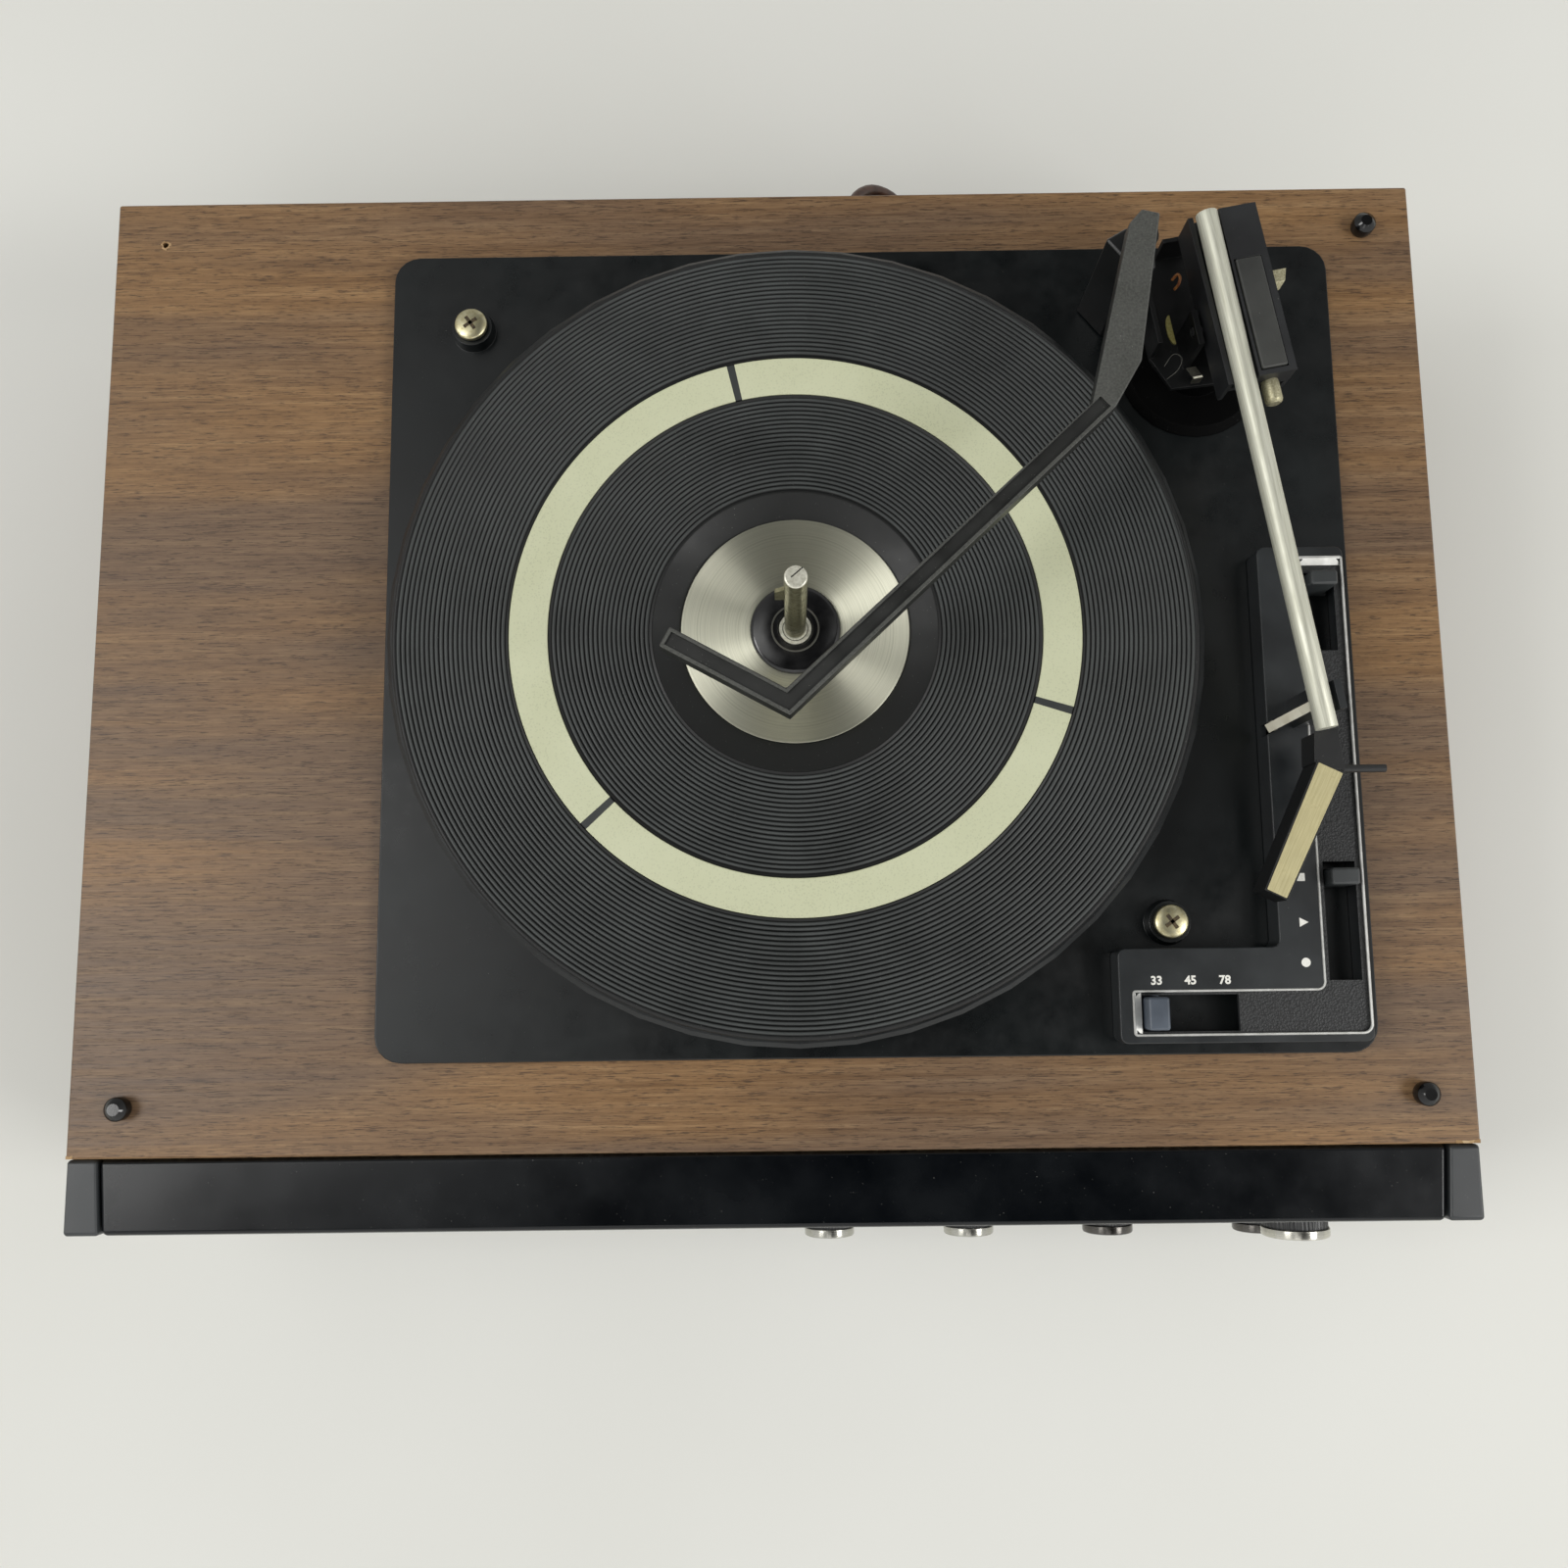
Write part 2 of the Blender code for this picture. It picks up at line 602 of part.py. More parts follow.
def tuning_capacitor():
    """Ganged variable capacitor on a bracket from the control panel's foot: an open frame of vanes."""
    front = SCALE_Y1 + DRUM_GAP + DRUM_T + GAP
    rear = front + CAPACITOR_L
    half = CAPACITOR_W / 2
    body = box("tuning_capacitor", (DRUM_X - half, front, DRUM_Z - half), (DRUM_X + half, rear, DRUM_Z + half), STEEL)
    step = CAPACITOR_L / (2 * CAPACITOR_PLATES + 1)
    for i in range(CAPACITOR_PLATES):
        y = front + step * (2 * i + 1)
        cut(body, box("vane_gap", (DRUM_X - half - OVER, y, DRUM_Z - half / 2), (DRUM_X - SHAFT_R - OVER, y + step,
                                                                                DRUM_Z + half + OVER)))
    bore = rod("capacitor_bore", SHAFT_R + RUN, -rear, OVER - front, sides=16)
    bore.rotation_euler = ACROSS_Y
    bore.location = (DRUM_X, (front + rear - OVER) / 2, DRUM_Z)
    leg = box("capacitor_leg", (DRUM_X - half, rear - TRAY_T * 2, BOTTOM_TOP + GAP), (DRUM_X + half, rear, DRUM_Z))
    foot = box("capacitor_foot", (DRUM_X - half, rear - TRAY_T, BOTTOM_TOP + GAP),
               (DRUM_X + half, rear + STRAP_D, BOTTOM_TOP + GAP + TRAY_T))
    join(body, leg, foot)
    return cut(body, bore)


def chassis_tray():
    """Folded steel tray on the bottom board that carries the main board and the transformer."""
    tray = box("chassis_tray", (TRAY_X0, TRAY_Y0, TRAY_Z0), (TRAY_X1, TRAY_Y1, TRAY_Z0 + TRAY_H), STEEL)
    inside = box("tray_inside", (TRAY_X0 + TRAY_T, TRAY_Y0 + TRAY_T, TRAY_Z0 + TRAY_T),
                 (TRAY_X1 - TRAY_T, TRAY_Y1 - TRAY_T, TRAY_Z0 + TRAY_H + OVER))
    return cut(tray, inside)


TRAY_FLOOR = TRAY_Z0 + TRAY_T
TRANSFORMER_W = 0.052
TRANSFORMER_D = 0.034
TRANSFORMER_H = 0.044
COIL_SHARE = 0.62
COIL_BULGE = 0.010
TRANSFORMER_Y = TRAY_Y1 - 0.045


def power_transformer():
    """Laminated core standing in the tray, its winding bulging from both faces."""
    x = (TRAY_X0 + TRAY_X1) / 2
    low = TRAY_FLOOR + GAP
    core = box("power_transformer", (x - TRANSFORMER_W / 2, TRANSFORMER_Y - TRANSFORMER_D / 2, low),
               (x + TRANSFORMER_W / 2, TRANSFORMER_Y + TRANSFORMER_D / 2, low + TRANSFORMER_H), STEEL)
    half = TRANSFORMER_W * COIL_SHARE / 2
    lift = TRANSFORMER_H * (1 - COIL_SHARE) / 2
    coil = box("transformer_coil", (x - half, TRANSFORMER_Y - TRANSFORMER_D / 2 - COIL_BULGE, low + lift),
               (x + half, TRANSFORMER_Y + TRANSFORMER_D / 2 + COIL_BULGE, low + TRANSFORMER_H - lift), soft=COIL_BULGE / 3)
    return join(core, coil)


PCB_T = 0.0016
PCB_RISE = 0.006
PCB_MARGIN = 0.005
PCB_L = 0.165
PCB_POST_R = 0.003
CAN_R = 0.007
CAN_H = 0.022
CANS = 3
IF_CANS = 4
IF_CAN = 0.010
IF_CAN_H = 0.013
FIN_T = 0.0015
FIN_H = 0.028
FIN_L = 0.052
FIN_STEP = 0.007
FINS = 4


def main_board():
    """Receiver board on posts in the tray, with its smoothing cans, screened coils and finned heat sink."""
    x0, x1 = TRAY_X0 + TRAY_T + PCB_MARGIN, TRAY_X1 - TRAY_T - PCB_MARGIN
    y0 = TRAY_Y0 + TRAY_T + PCB_MARGIN
    y1 = y0 + PCB_L
    low = TRAY_FLOOR + PCB_RISE
    top = low + PCB_T
    mid = low + PCB_T / 2
    board = box("main_board", (x0, y0, low), (x1, y1, top), BOARD)
    for x in (x0 + PCB_POST_R * 2, x1 - PCB_POST_R * 2):
        for y in (y0 + PCB_POST_R * 2, y1 - PCB_POST_R * 2):
            join(board, rod("board_post", PCB_POST_R, TRAY_FLOOR + GAP, mid, at=(x, y), sides=10))
    for i in range(CANS):
        spot = (x0 + CAN_R * 2, y1 - CAN_R * (2 + 3 * i))
        join(board, rod("smoothing_can", CAN_R, mid, top + CAN_H, at=spot, sides=14))
    for i in range(IF_CANS):
        y = y0 + IF_CAN * (1 + 2 * i)
        join(board, box("coil_can", (x1 - IF_CAN * 2, y, mid), (x1 - IF_CAN, y + IF_CAN, top + IF_CAN_H)))
    sink_x1 = x1 - PCB_MARGIN
    sink_y1 = y1 - PCB_MARGIN
    join(board, box("sink_base", (sink_x1 - FIN_STEP * FINS, sink_y1 - FIN_L, mid), (sink_x1, sink_y1, top + FIN_T)))
    for i in range(FINS):
        x = sink_x1 - FIN_T - i * FIN_STEP
        join(board, box("sink_fin", (x - FIN_T / 2, sink_y1 - FIN_L + FIN_T, top + FIN_T / 2),
                        (x + FIN_T / 2, sink_y1 - FIN_T, top + FIN_H)))
    return board


JACK_X = 0.075 - CABINET_W / 2
JACK_DROP = 0.060
JACK_PLATE_W = 0.092
JACK_PLATE_H = 0.034
JACK_T = 0.0012
JACKS_ACROSS = 4
JACK_PITCH = 0.020
JACK_ROW = 0.014
JACK_R = 0.0042
JACK_BORE = 0.0016
JACK_L = 0.0045
JACK_Z = TOP_Z - JACK_DROP
VENTS = 8
VENT_W = 0.004
VENT_H = 0.040
VENT_STEP = 0.011
VENT_X = CABINET_W / 2 - 0.085

# Mains lead: where it leaves the back panel
LEAD_R = 0.00225
LEAD_X = 0.0345
LEAD_Z = TOP_Z - 0.0537
RELIEF_L = 0.0195
RELIEF_R = 0.0052
RELIEF_NECK_R = 0.0032
RELIEF_RIB_T = 0.0016
RELIEF_FLANGE = 0.0016
RELIEF_RIBS = 4
RELIEF_HOLE_R = 0.0044


def back_panel():
    """Hardboard back, set into the cabinet, with its jack plate, vents and the hole for the lead."""
    panel = box("back_panel", (-INNER_X, PANEL_FRONT_Y, BOTTOM_TOP + GAP), (INNER_X, PANEL_BACK_Y, TOP_Z - BOARD_T - GAP),
                HARDBOARD)
    join(panel, box("jack_plate", (JACK_X - JACK_PLATE_W / 2, PANEL_BACK_Y - JACK_T, JACK_Z - JACK_PLATE_H / 2),
                    (JACK_X + JACK_PLATE_W / 2, PANEL_BACK_Y + JACK_T, JACK_Z + JACK_PLATE_H / 2)))
    for i in range(JACKS_ACROSS):
        for side in (-1, 1):
            x = JACK_X + (i - (JACKS_ACROSS - 1) / 2) * JACK_PITCH
            z = JACK_Z + side * JACK_ROW / 2
            join(panel, across("jack", JACK_R, x, z, PANEL_BACK_Y, PANEL_BACK_Y + JACK_L, 8))
            cut(panel, across("jack_bore", JACK_BORE, x, z, PANEL_BACK_Y + JACK_T / 2, PANEL_BACK_Y + JACK_L + OVER, 6))
    for i in range(VENTS):
        x = VENT_X + (i - (VENTS - 1) / 2) * VENT_STEP
        cut(panel, box("vent", (x - VENT_W / 2, PANEL_FRONT_Y - OVER, JACK_Z - VENT_H / 2),
                       (x + VENT_W / 2, PANEL_BACK_Y + OVER, JACK_Z + VENT_H / 2)))
    return cut(panel, across("relief_hole", RELIEF_HOLE_R, LEAD_X, LEAD_Z, PANEL_FRONT_Y - OVER, PANEL_BACK_Y + OVER, 16))


# Changer: plate, screws, springs
MOTOR_REAR = 140
IDLER_R = 0.022
IDLER_T = 0.0015
RIM_T = 0.0025
RIM_INNER = PLATTER_R - RIM_T
STEP_LOW_R = 0.00266
STEP_MID_R = 0.00359
STEP_HIGH_R = 0.00624
IDLER_LIFT = 0.0068
IDLER_ANGLE = math.radians(MOTOR_REAR)
IDLER_REACH = RIM_INNER - IDLER_R - RUN
IDLER_X = SPINDLE_X + IDLER_REACH * math.cos(IDLER_ANGLE)
IDLER_Y = SPINDLE_Y + IDLER_REACH * math.sin(IDLER_ANGLE)
SHIFT_DIR = (-math.sin(IDLER_ANGLE), math.cos(IDLER_ANGLE))
MOTOR_REACH = IDLER_R + STEP_LOW_R + RUN
MOTOR_X = IDLER_X - MOTOR_REACH * SHIFT_DIR[0]
MOTOR_Y = IDLER_Y - MOTOR_REACH * SHIFT_DIR[1]
MOTOR_HOLE_R = 0.010
SPINDLE_SHANK_R = 0.005

# Tonearm and record arm: places from the spindle
ARM_PIVOT = (0.142, 0.0986)
ARM_TURN = math.radians(-79.9)
POST_PLACE = (0.112, 0.1176)
POST_R = 0.003
BASE_SHANK_R = 0.008
PIVOT_X, PIVOT_Y = on_deck(ARM_PIVOT)
POST_X, POST_Y = on_deck(POST_PLACE)


def unit_plate():
    """Pressed steel deck with a turned-down skirt, raised collars for the transit screws, and its holes."""
    low = PLATE_TOP - PLATE_SKIRT
    outline = rounded(rectangle(PLATE_X0, PLATE_X1, PLATE_Y0, PLATE_Y1), PLATE_CORNER, 5)
    plate = bevel(flat("unit_plate", [outline], low, PLATE_TOP, DECK), PLATE_EDGE, 2, math.radians(60))
    inner = rounded(rectangle(PLATE_X0 + PLATE_WALL, PLATE_X1 - PLATE_WALL, PLATE_Y0 + PLATE_WALL,
                              PLATE_Y1 - PLATE_WALL), PLATE_CORNER - PLATE_WALL, 3)
    cut(plate, flat("plate_pocket", [inner], low - OVER, PLATE_UNDER))
    seat = PLATE_TOP + COLLAR_H
    for x, y in SCREW_PLACES:
        join(plate, rod("collar", COLLAR_R, PLATE_UNDER + PLATE_T / 2, seat, at=(x, y), sides=20, far_radius=COLLAR_TOP_R))
        join(plate, rod("screw_head", SCREW_HEAD_R, seat - OVER, seat + SCREW_HEAD_H, at=(x, y), sides=20,
                        far_radius=SCREW_HEAD_TOP_R))
        join(plate, rod("screw_shank", SCREW_SHANK_R, seat - SCREW_L, PLATE_UNDER + PLATE_T / 2, at=(x, y), sides=12))
        cut(plate, box("screw_slot", (x - SCREW_HEAD_R, y - SCREW_SLOT / 2, seat + SCREW_HEAD_H / 2),
                       (x + SCREW_HEAD_R, y + SCREW_SLOT / 2, seat + SCREW_HEAD_H + OVER)))
    holes = [(MOTOR_HOLE_R, (MOTOR_X, MOTOR_Y)), (SPINDLE_SHANK_R + GAP, (SPINDLE_X, SPINDLE_Y)),
             (BASE_SHANK_R + GAP, (PIVOT_X, PIVOT_Y)), (POST_R + RUN, (POST_X, POST_Y))]
    for radius, spot in holes:
        cut(plate, rod("plate_hole", radius, low - OVER, PLATE_TOP + COLLAR_H + OVER, at=spot, sides=20))
    return plate


def suspension_spring(name, spot):
    """Compression spring between one of the cabinet's wells and the plate."""
    low = TOP_Z - SPRING_WELL_H + GAP + SPRING_WIRE
    high = PLATE_UNDER - GAP - SPRING_WIRE
    count = SPRING_TURNS * SPRING_POINTS
    mean = SPRING_R - SPRING_WIRE
    points = []
    for i in range(count + 1):
        turn = math.tau * i / SPRING_POINTS
        points.append((spot[0] + mean * math.cos(turn), spot[1] + mean * math.sin(turn), low + (high - low) * i / count))
    return tube(name, points, SPRING_WIRE, STEEL, resolution=1)


# Platter and what lies on it
PLATTER_TOP_T = 0.002
PLATTER_CHAMFER = 0.0015
HUB_R = 0.012
SLEEVE_R = 0.0053
PLATTER_TOP = MAT_TOP - MAT_T - GAP
PLATTER_LOW = PLATTER_TOP - PLATTER_H
HUB_LOW = PLATTER_LOW - 0.001
BAND_R = 0.0477
BAND_DEPTH = 0.0008
RING_OUT = 0.0953
RING_IN = 0.0824
RING_T = 0.0006
RING_BARS = 3
RING_BAR_W = 0.0025
RING_FIRST = math.radians(102.7)
RIB_DEPTH = 0.0007
RIBS_OUTER = 4
RIBS_INNER = 3
RIB_MARGIN = 0.002
DISC_R = 0.038
DISC_T = 0.0006
HUB_CAP_R = 0.015
HUB_CAP_H = 0.0022
HUB_CAP_BORE = 0.0058
PLATTER_SIDES = 48


def platter():
    """Pressed platter: a flat top, a deep rim that the idler drives from inside, and a bored hub."""
    inner = RIM_INNER
    under = PLATTER_TOP - PLATTER_TOP_T
    profile = [(PLATTER_R - PLATTER_CHAMFER, PLATTER_TOP), (PLATTER_R, PLATTER_TOP - PLATTER_CHAMFER),
               (PLATTER_R, PLATTER_LOW), (inner, PLATTER_LOW), (inner, under), (HUB_R, under), (HUB_R, HUB_LOW),
               (SLEEVE_R + RUN, HUB_LOW), (SLEEVE_R + RUN, PLATTER_TOP)]
    return turned("platter", profile, STEEL, at=(SPINDLE_X, SPINDLE_Y, 0), sides=PLATTER_SIDES)


def ribs(outer, inner, count):
    """Zigzag of evenly spaced concentric ribs between two radii, from the outside in."""
    step = (outer - inner) / count
    points = []
    for i in range(count):
        points.append((outer - step * (i + 0.25), MAT_TOP - RIB_DEPTH))
        points.append((outer - step * (i + 0.75), MAT_TOP))
    return points


def platter_mat():
    """Rubber mat: two zones of concentric ribs, a groove for the cream ring and a sunk band for the disc."""
    low = MAT_TOP - MAT_T
    groove = MAT_TOP - RING_T - GAP
    band = MAT_TOP - BAND_DEPTH
    zone = ribs(MAT_R - RIB_MARGIN, RING_OUT + RIB_MARGIN, RIBS_OUTER)
    inner_zone = ribs(RING_IN - RIB_MARGIN, BAND_R + RIB_MARGIN, RIBS_INNER)
    profile = [(MAT_R - RIB_MARGIN / 2, MAT_TOP), (MAT_R, MAT_TOP - RIB_MARGIN / 4), (MAT_R, low), (SLEEVE_R + RUN * 2, low),
               (SLEEVE_R + RUN * 2, band), (BAND_R - BAND_DEPTH, band), (BAND_R, MAT_TOP)]
    profile += inner_zone[::-1]
    profile += [(RING_IN - GAP, MAT_TOP), (RING_IN - GAP, groove), (RING_OUT + GAP, groove), (RING_OUT + GAP, MAT_TOP)]
    profile += zone[::-1]
    return turned("platter_mat", profile, RUBBER, at=(SPINDLE_X, SPINDLE_Y, 0), sides=PLATTER_SIDES)


def mat_ring():
    """Cream ring laid in the mat's groove, notched by three narrow bars."""
    low = MAT_TOP - RING_T
    profile = [(RING_OUT, MAT_TOP), (RING_OUT, low), (RING_IN, low), (RING_IN, MAT_TOP)]
    ring = turned("mat_ring", profile, CREAM, at=(SPINDLE_X, SPINDLE_Y, 0), sides=PLATTER_SIDES)
    bar_l = RING_OUT - RING_IN + 2 * OVER
    for i in range(RING_BARS):
        bar = box("ring_bar", (-bar_l / 2, -RING_BAR_W / 2, MAT_TOP - RING_T / 2), (bar_l / 2, RING_BAR_W / 2, MAT_TOP + OVER))
        angle = RING_FIRST + math.tau * i / RING_BARS
        middle = (RING_IN + RING_OUT) / 2
        bar.location = (SPINDLE_X + middle * math.cos(angle), SPINDLE_Y + middle * math.sin(angle), bar.location.z)
        bar.rotation_euler = (0, 0, angle)
        cut(ring, bar)
    return ring


def label_disc():
    """Spun aluminium disc in the middle of the mat."""
    low = MAT_TOP - BAND_DEPTH + GAP
    profile = [(DISC_R - DISC_T, low + DISC_T), (DISC_R, low), (HUB_CAP_BORE + RUN, low), (HUB_CAP_BORE + RUN, low + DISC_T)]
    return turned("label_disc", profile, BRUSHED, at=(SPINDLE_X, SPINDLE_Y, 0), sides=48)


def hub_cap():
    """Black ring over the hub: a domed rim stepping down to the retaining washer."""
    low = MAT_TOP - BAND_DEPTH + GAP * 2 + DISC_T
    step = (HUB_CAP_R + HUB_CAP_BORE) / 2
    profile = [(HUB_CAP_R - HUB_CAP_H / 2, low + HUB_CAP_H), (HUB_CAP_R, low + HUB_CAP_H / 3), (HUB_CAP_R, low),
               (HUB_CAP_BORE, low), (HUB_CAP_BORE, low + HUB_CAP_H / 2), (step, low + HUB_CAP_H / 2),
               (step + HUB_CAP_H / 2, low + HUB_CAP_H)]
    return turned("hub_cap", profile, BLACK, at=(SPINDLE_X, SPINDLE_Y, 0), sides=32)


# Spindle
SPINDLE_R = 0.0035
SPINDLE_FLANGE_R = 0.0105
SPINDLE_FLANGE_H = 0.0014
SPINDLE_TAIL = 0.010
SLEEVE_RISE = 0.0022
SLEEVE_EDGE = 0.0012
SPINDLE_EDGE = 0.0004
PUSHER_T = 0.0012
PUSHER_H = 0.011
PUSHER_OUT = 0.0028
PUSHER_DROP = 0.012
PUSHER_TRAVEL = 0.002


def spindle():
    """Changer spindle: flange and bearing sleeve below, a slim rod above with a slot for the pusher."""
    top = MAT_TOP + SPINDLE_H
    sleeve = MAT_TOP + SLEEVE_RISE
    flange = PLATE_TOP + GAP
    profile = [(0, top), (SPINDLE_R - SPINDLE_EDGE, top), (SPINDLE_R, top - SPINDLE_EDGE), (SPINDLE_R, sleeve + SLEEVE_EDGE),
               (SLEEVE_R - SLEEVE_EDGE, sleeve), (SLEEVE_R, sleeve - SLEEVE_EDGE), (SLEEVE_R, flange + SPINDLE_FLANGE_H),
               (SPINDLE_FLANGE_R, flange + SPINDLE_FLANGE_H), (SPINDLE_FLANGE_R, flange), (SPINDLE_SHANK_R, flange),
               (SPINDLE_SHANK_R, PLATE_TOP - SPINDLE_TAIL), (0, PLATE_TOP - SPINDLE_TAIL)]
    made = turned("spindle", profile, NICKEL, at=(SPINDLE_X, SPINDLE_Y, 0), sides=24)
    high = top - PUSHER_DROP + GAP
    slot = box("pusher_slot", (SPINDLE_X - SPINDLE_R - OVER, SPINDLE_Y - PUSHER_T / 2 - GAP, high - PUSHER_H - GAP * 2),
               (SPINDLE_X + SPINDLE_R / 2 + GAP, SPINDLE_Y + PUSHER_T / 2 + GAP, high))
    return cut(made, slot)


def spindle_pusher():
    """Small blade that pushes the lowest record off the spindle's shelf."""
    high = MAT_TOP + SPINDLE_H - PUSHER_DROP
    low = high - PUSHER_H
    section = [(-SPINDLE_R - PUSHER_OUT, low), (SPINDLE_R / 2 - PUSHER_TRAVEL, low), (SPINDLE_R / 2 - PUSHER_TRAVEL, high),
               (-SPINDLE_R, high), (-SPINDLE_R - PUSHER_OUT, high - PUSHER_OUT)]
    base = empty("spindle_pusher_axis", (SPINDLE_X, SPINDLE_Y, 0), -math.pi / 2)
    return prism("spindle_pusher", section, -PUSHER_T / 2, PUSHER_T / 2, NICKEL, base)


# Drive: motor, pulley, idler
MOTOR_W = 0.058
MOTOR_D = 0.050
MOTOR_H = 0.022
MOTOR_DROP = 0.016
MOTOR_END_R = 0.013
MOTOR_END_H = 0.010
MOTOR_BORE = 0.0018
MOTOR_SHAFT_R = 0.0015
MOTOR_POST_R = 0.004
PULLEY_CLEAR = 0.0012
IDLER_BORE = 0.0018
IDLER_HUB_R = 0.005
IDLER_HUB_H = 0.003
IDLER_WEB_T = 0.0008
IDLER_Z = PLATTER_LOW + PULLEY_CLEAR
BRACKET_T = 0.0012
BRACKET_W = 0.009
BRACKET_L = 0.030
SHIFT_OUT = STEP_HIGH_R - STEP_LOW_R


def motor():
    """Shaded-pole motor hung under the plate on three posts: laminations, coil and end bearings."""
    top = PLATE_UNDER - MOTOR_DROP
    low = top - MOTOR_H
    made = box("motor", (MOTOR_X - MOTOR_W / 2, MOTOR_Y - MOTOR_D / 2, low), (MOTOR_X + MOTOR_W / 2, MOTOR_Y + MOTOR_D / 2, top),
               STEEL, soft=MOTOR_END_H / 4)
    ends = rod("motor_ends", MOTOR_END_R, low - MOTOR_END_H, top + MOTOR_END_H, at=(MOTOR_X, MOTOR_Y), sides=20)
    join(made, ends)
    reach = MOTOR_D / 2 - MOTOR_POST_R * 1.5
    for dx, dy in ((-1, -1), (1, -1), (-1, 1)):
        spot = (MOTOR_X + dx * (MOTOR_W / 2 - MOTOR_POST_R * 1.5), MOTOR_Y + dy * reach)
        join(made, rod("motor_post", MOTOR_POST_R, top - MOTOR_END_H / 4, PLATE_UNDER - GAP, at=spot, sides=12))
    bore = rod("motor_bore", MOTOR_BORE, low, top + MOTOR_END_H + OVER, at=(MOTOR_X, MOTOR_Y), sides=16)
    return cut(made, bore)


def motor_pulley():
    """Stepped pulley on the motor's shaft, one step for each speed."""
    first = IDLER_Z + IDLER_T
    rise = IDLER_LIFT / 4
    low = PLATE_TOP + PULLEY_CLEAR
    deep = PLATE_UNDER - MOTOR_DROP - MOTOR_H / 2
    profile = [(0, first + rise * 4 + GAP), (STEP_HIGH_R, first + rise * 4 + GAP), (STEP_HIGH_R, first + rise * 4),
               (STEP_MID_R, first + rise * 2), (STEP_MID_R, first + rise + GAP), (STEP_LOW_R, first + rise / 2),
               (STEP_LOW_R, low), (MOTOR_SHAFT_R, low), (MOTOR_SHAFT_R, deep), (0, deep)]
    return turned("motor_pulley", profile, BRUSHED, at=(MOTOR_X, MOTOR_Y, 0), sides=20)


def idler_wheel():
    """Rubber-tyred wheel wedged between the pulley and the platter's rim."""
    low, high = IDLER_Z, IDLER_Z + IDLER_T
    mid = (low + high) / 2
    hub = IDLER_R - IDLER_HUB_R
    profile = [(IDLER_R, high), (IDLER_R, low), (hub, low), (hub, mid - IDLER_WEB_T / 2), (IDLER_HUB_R, mid - IDLER_WEB_T / 2),
               (IDLER_HUB_R, low), (IDLER_BORE, low), (IDLER_BORE, low + IDLER_HUB_H), (IDLER_HUB_R, low + IDLER_HUB_H),
               (IDLER_HUB_R, mid + IDLER_WEB_T / 2), (hub, mid + IDLER_WEB_T / 2), (hub, high)]
    return turned("idler_wheel", profile, RUBBER, at=(IDLER_X, IDLER_Y, 0), sides=28)


def idler_bracket():
    """Arm on the plate with the pin that carries the idler wheel."""
    base = empty("idler_bracket_axis", (IDLER_X, IDLER_Y, 0), IDLER_ANGLE)
    low = PLATE_TOP + GAP
    outline = rounded(rectangle(-BRACKET_L, BRACKET_W / 2, -BRACKET_W / 2, BRACKET_W / 2), BRACKET_W / 3)
    arm = flat("idler_bracket", [outline], low, low + BRACKET_T, STEEL, base)
    pin = rod("idler_pin", MOTOR_SHAFT_R, low + BRACKET_T / 2, IDLER_Z + IDLER_HUB_H + GAP, parent=base, sides=16)
    return join(arm, pin)


CYCLE_R = 0.046
CYCLE_T = 0.006
CYCLE_TEETH = 24
CYCLE_GAP_TEETH = 4
TOOTH_H = 0.003
CYCLE_DROP = 0.006
CYCLE_HUB_R = 0.006
CYCLE_AXLE_R = 0.0035
CYCLE_PLACE = (0.052, -0.030)


def cycle_gear():
    """Cycle gear hung under the plate, parked with its toothless gap towards the spindle."""
    x, y = on_deck(CYCLE_PLACE)
    high = PLATE_UNDER - CYCLE_DROP
    facing = math.atan2(-CYCLE_PLACE[1], -CYCLE_PLACE[0])
    pitch = math.tau / CYCLE_TEETH
    points = []
    for i in range(CYCLE_TEETH):
        middle = facing + pitch * (i + (CYCLE_TEETH % 2) / 2)
        gap = min(i, CYCLE_TEETH - i) < CYCLE_GAP_TEETH / 2
        tip = CYCLE_R - TOOTH_H if gap else CYCLE_R
        for radius, share in ((CYCLE_R - TOOTH_H, -0.35), (tip, -0.15), (tip, 0.15), (CYCLE_R - TOOTH_H, 0.35)):
            angle = middle + pitch * share
            points.append((x + radius * math.cos(angle), y + radius * math.sin(angle)))
    gear = flat("cycle_gear", [points], high - CYCLE_T, high, WHITE)
    track = turned("cam_track", [(CYCLE_R * 0.75, high - CYCLE_T / 2), (CYCLE_R * 0.75, high - CYCLE_T - OVER),
                                 (CYCLE_R * 0.62, high - CYCLE_T - OVER), (CYCLE_R * 0.62, high - CYCLE_T / 2)],
                   at=(x, y, 0), sides=20)
    hub = rod("cycle_hub", CYCLE_HUB_R, high - CYCLE_T / 2, PLATE_UNDER - GAP, at=(x, y), sides=16)
    cut(gear, track)
    return join(gear, hub)


# Record arm
PEDESTAL_H = 0.0490
PEDESTAL_LEFT = 0.0102
PEDESTAL_LEFT_BACK = 0.0030
PEDESTAL_BACK = 0.0068
PEDESTAL_BACK_LEFT = 0.0038
PEDESTAL_FRONT = 0.0072
PEDESTAL_FRONT_LEFT = 0.0018
PEDESTAL_RIGHT = 0.0055
PEDESTAL_EDGE = 0.0006
POST_TOP = 0.0590
POST_DEEP = 0.0300
POST_HEAD_R = 0.0048
POST_HEAD_H = 0.002
ARM_T = 0.0075
ARM_LOW = 0.0545
ARM_BOSS_R = 0.0048
ARM_BOSS_H = 0.0045
ROOT_TURN = math.radians(-103.5)
ROOT_BACK = 0.0054
ROOT_LEFT = 0.0057
ROOT_RIGHT = 0.0029
ROOT_RIGHT_FAR = 0.0065
ROOT_L = 0.0438
FOLD_L = 0.0583
FOLD_SIDE = 0.0012
LEG_TURN = math.radians(-136.8)
LEG_L = 0.1370
LEG_W = 0.0068
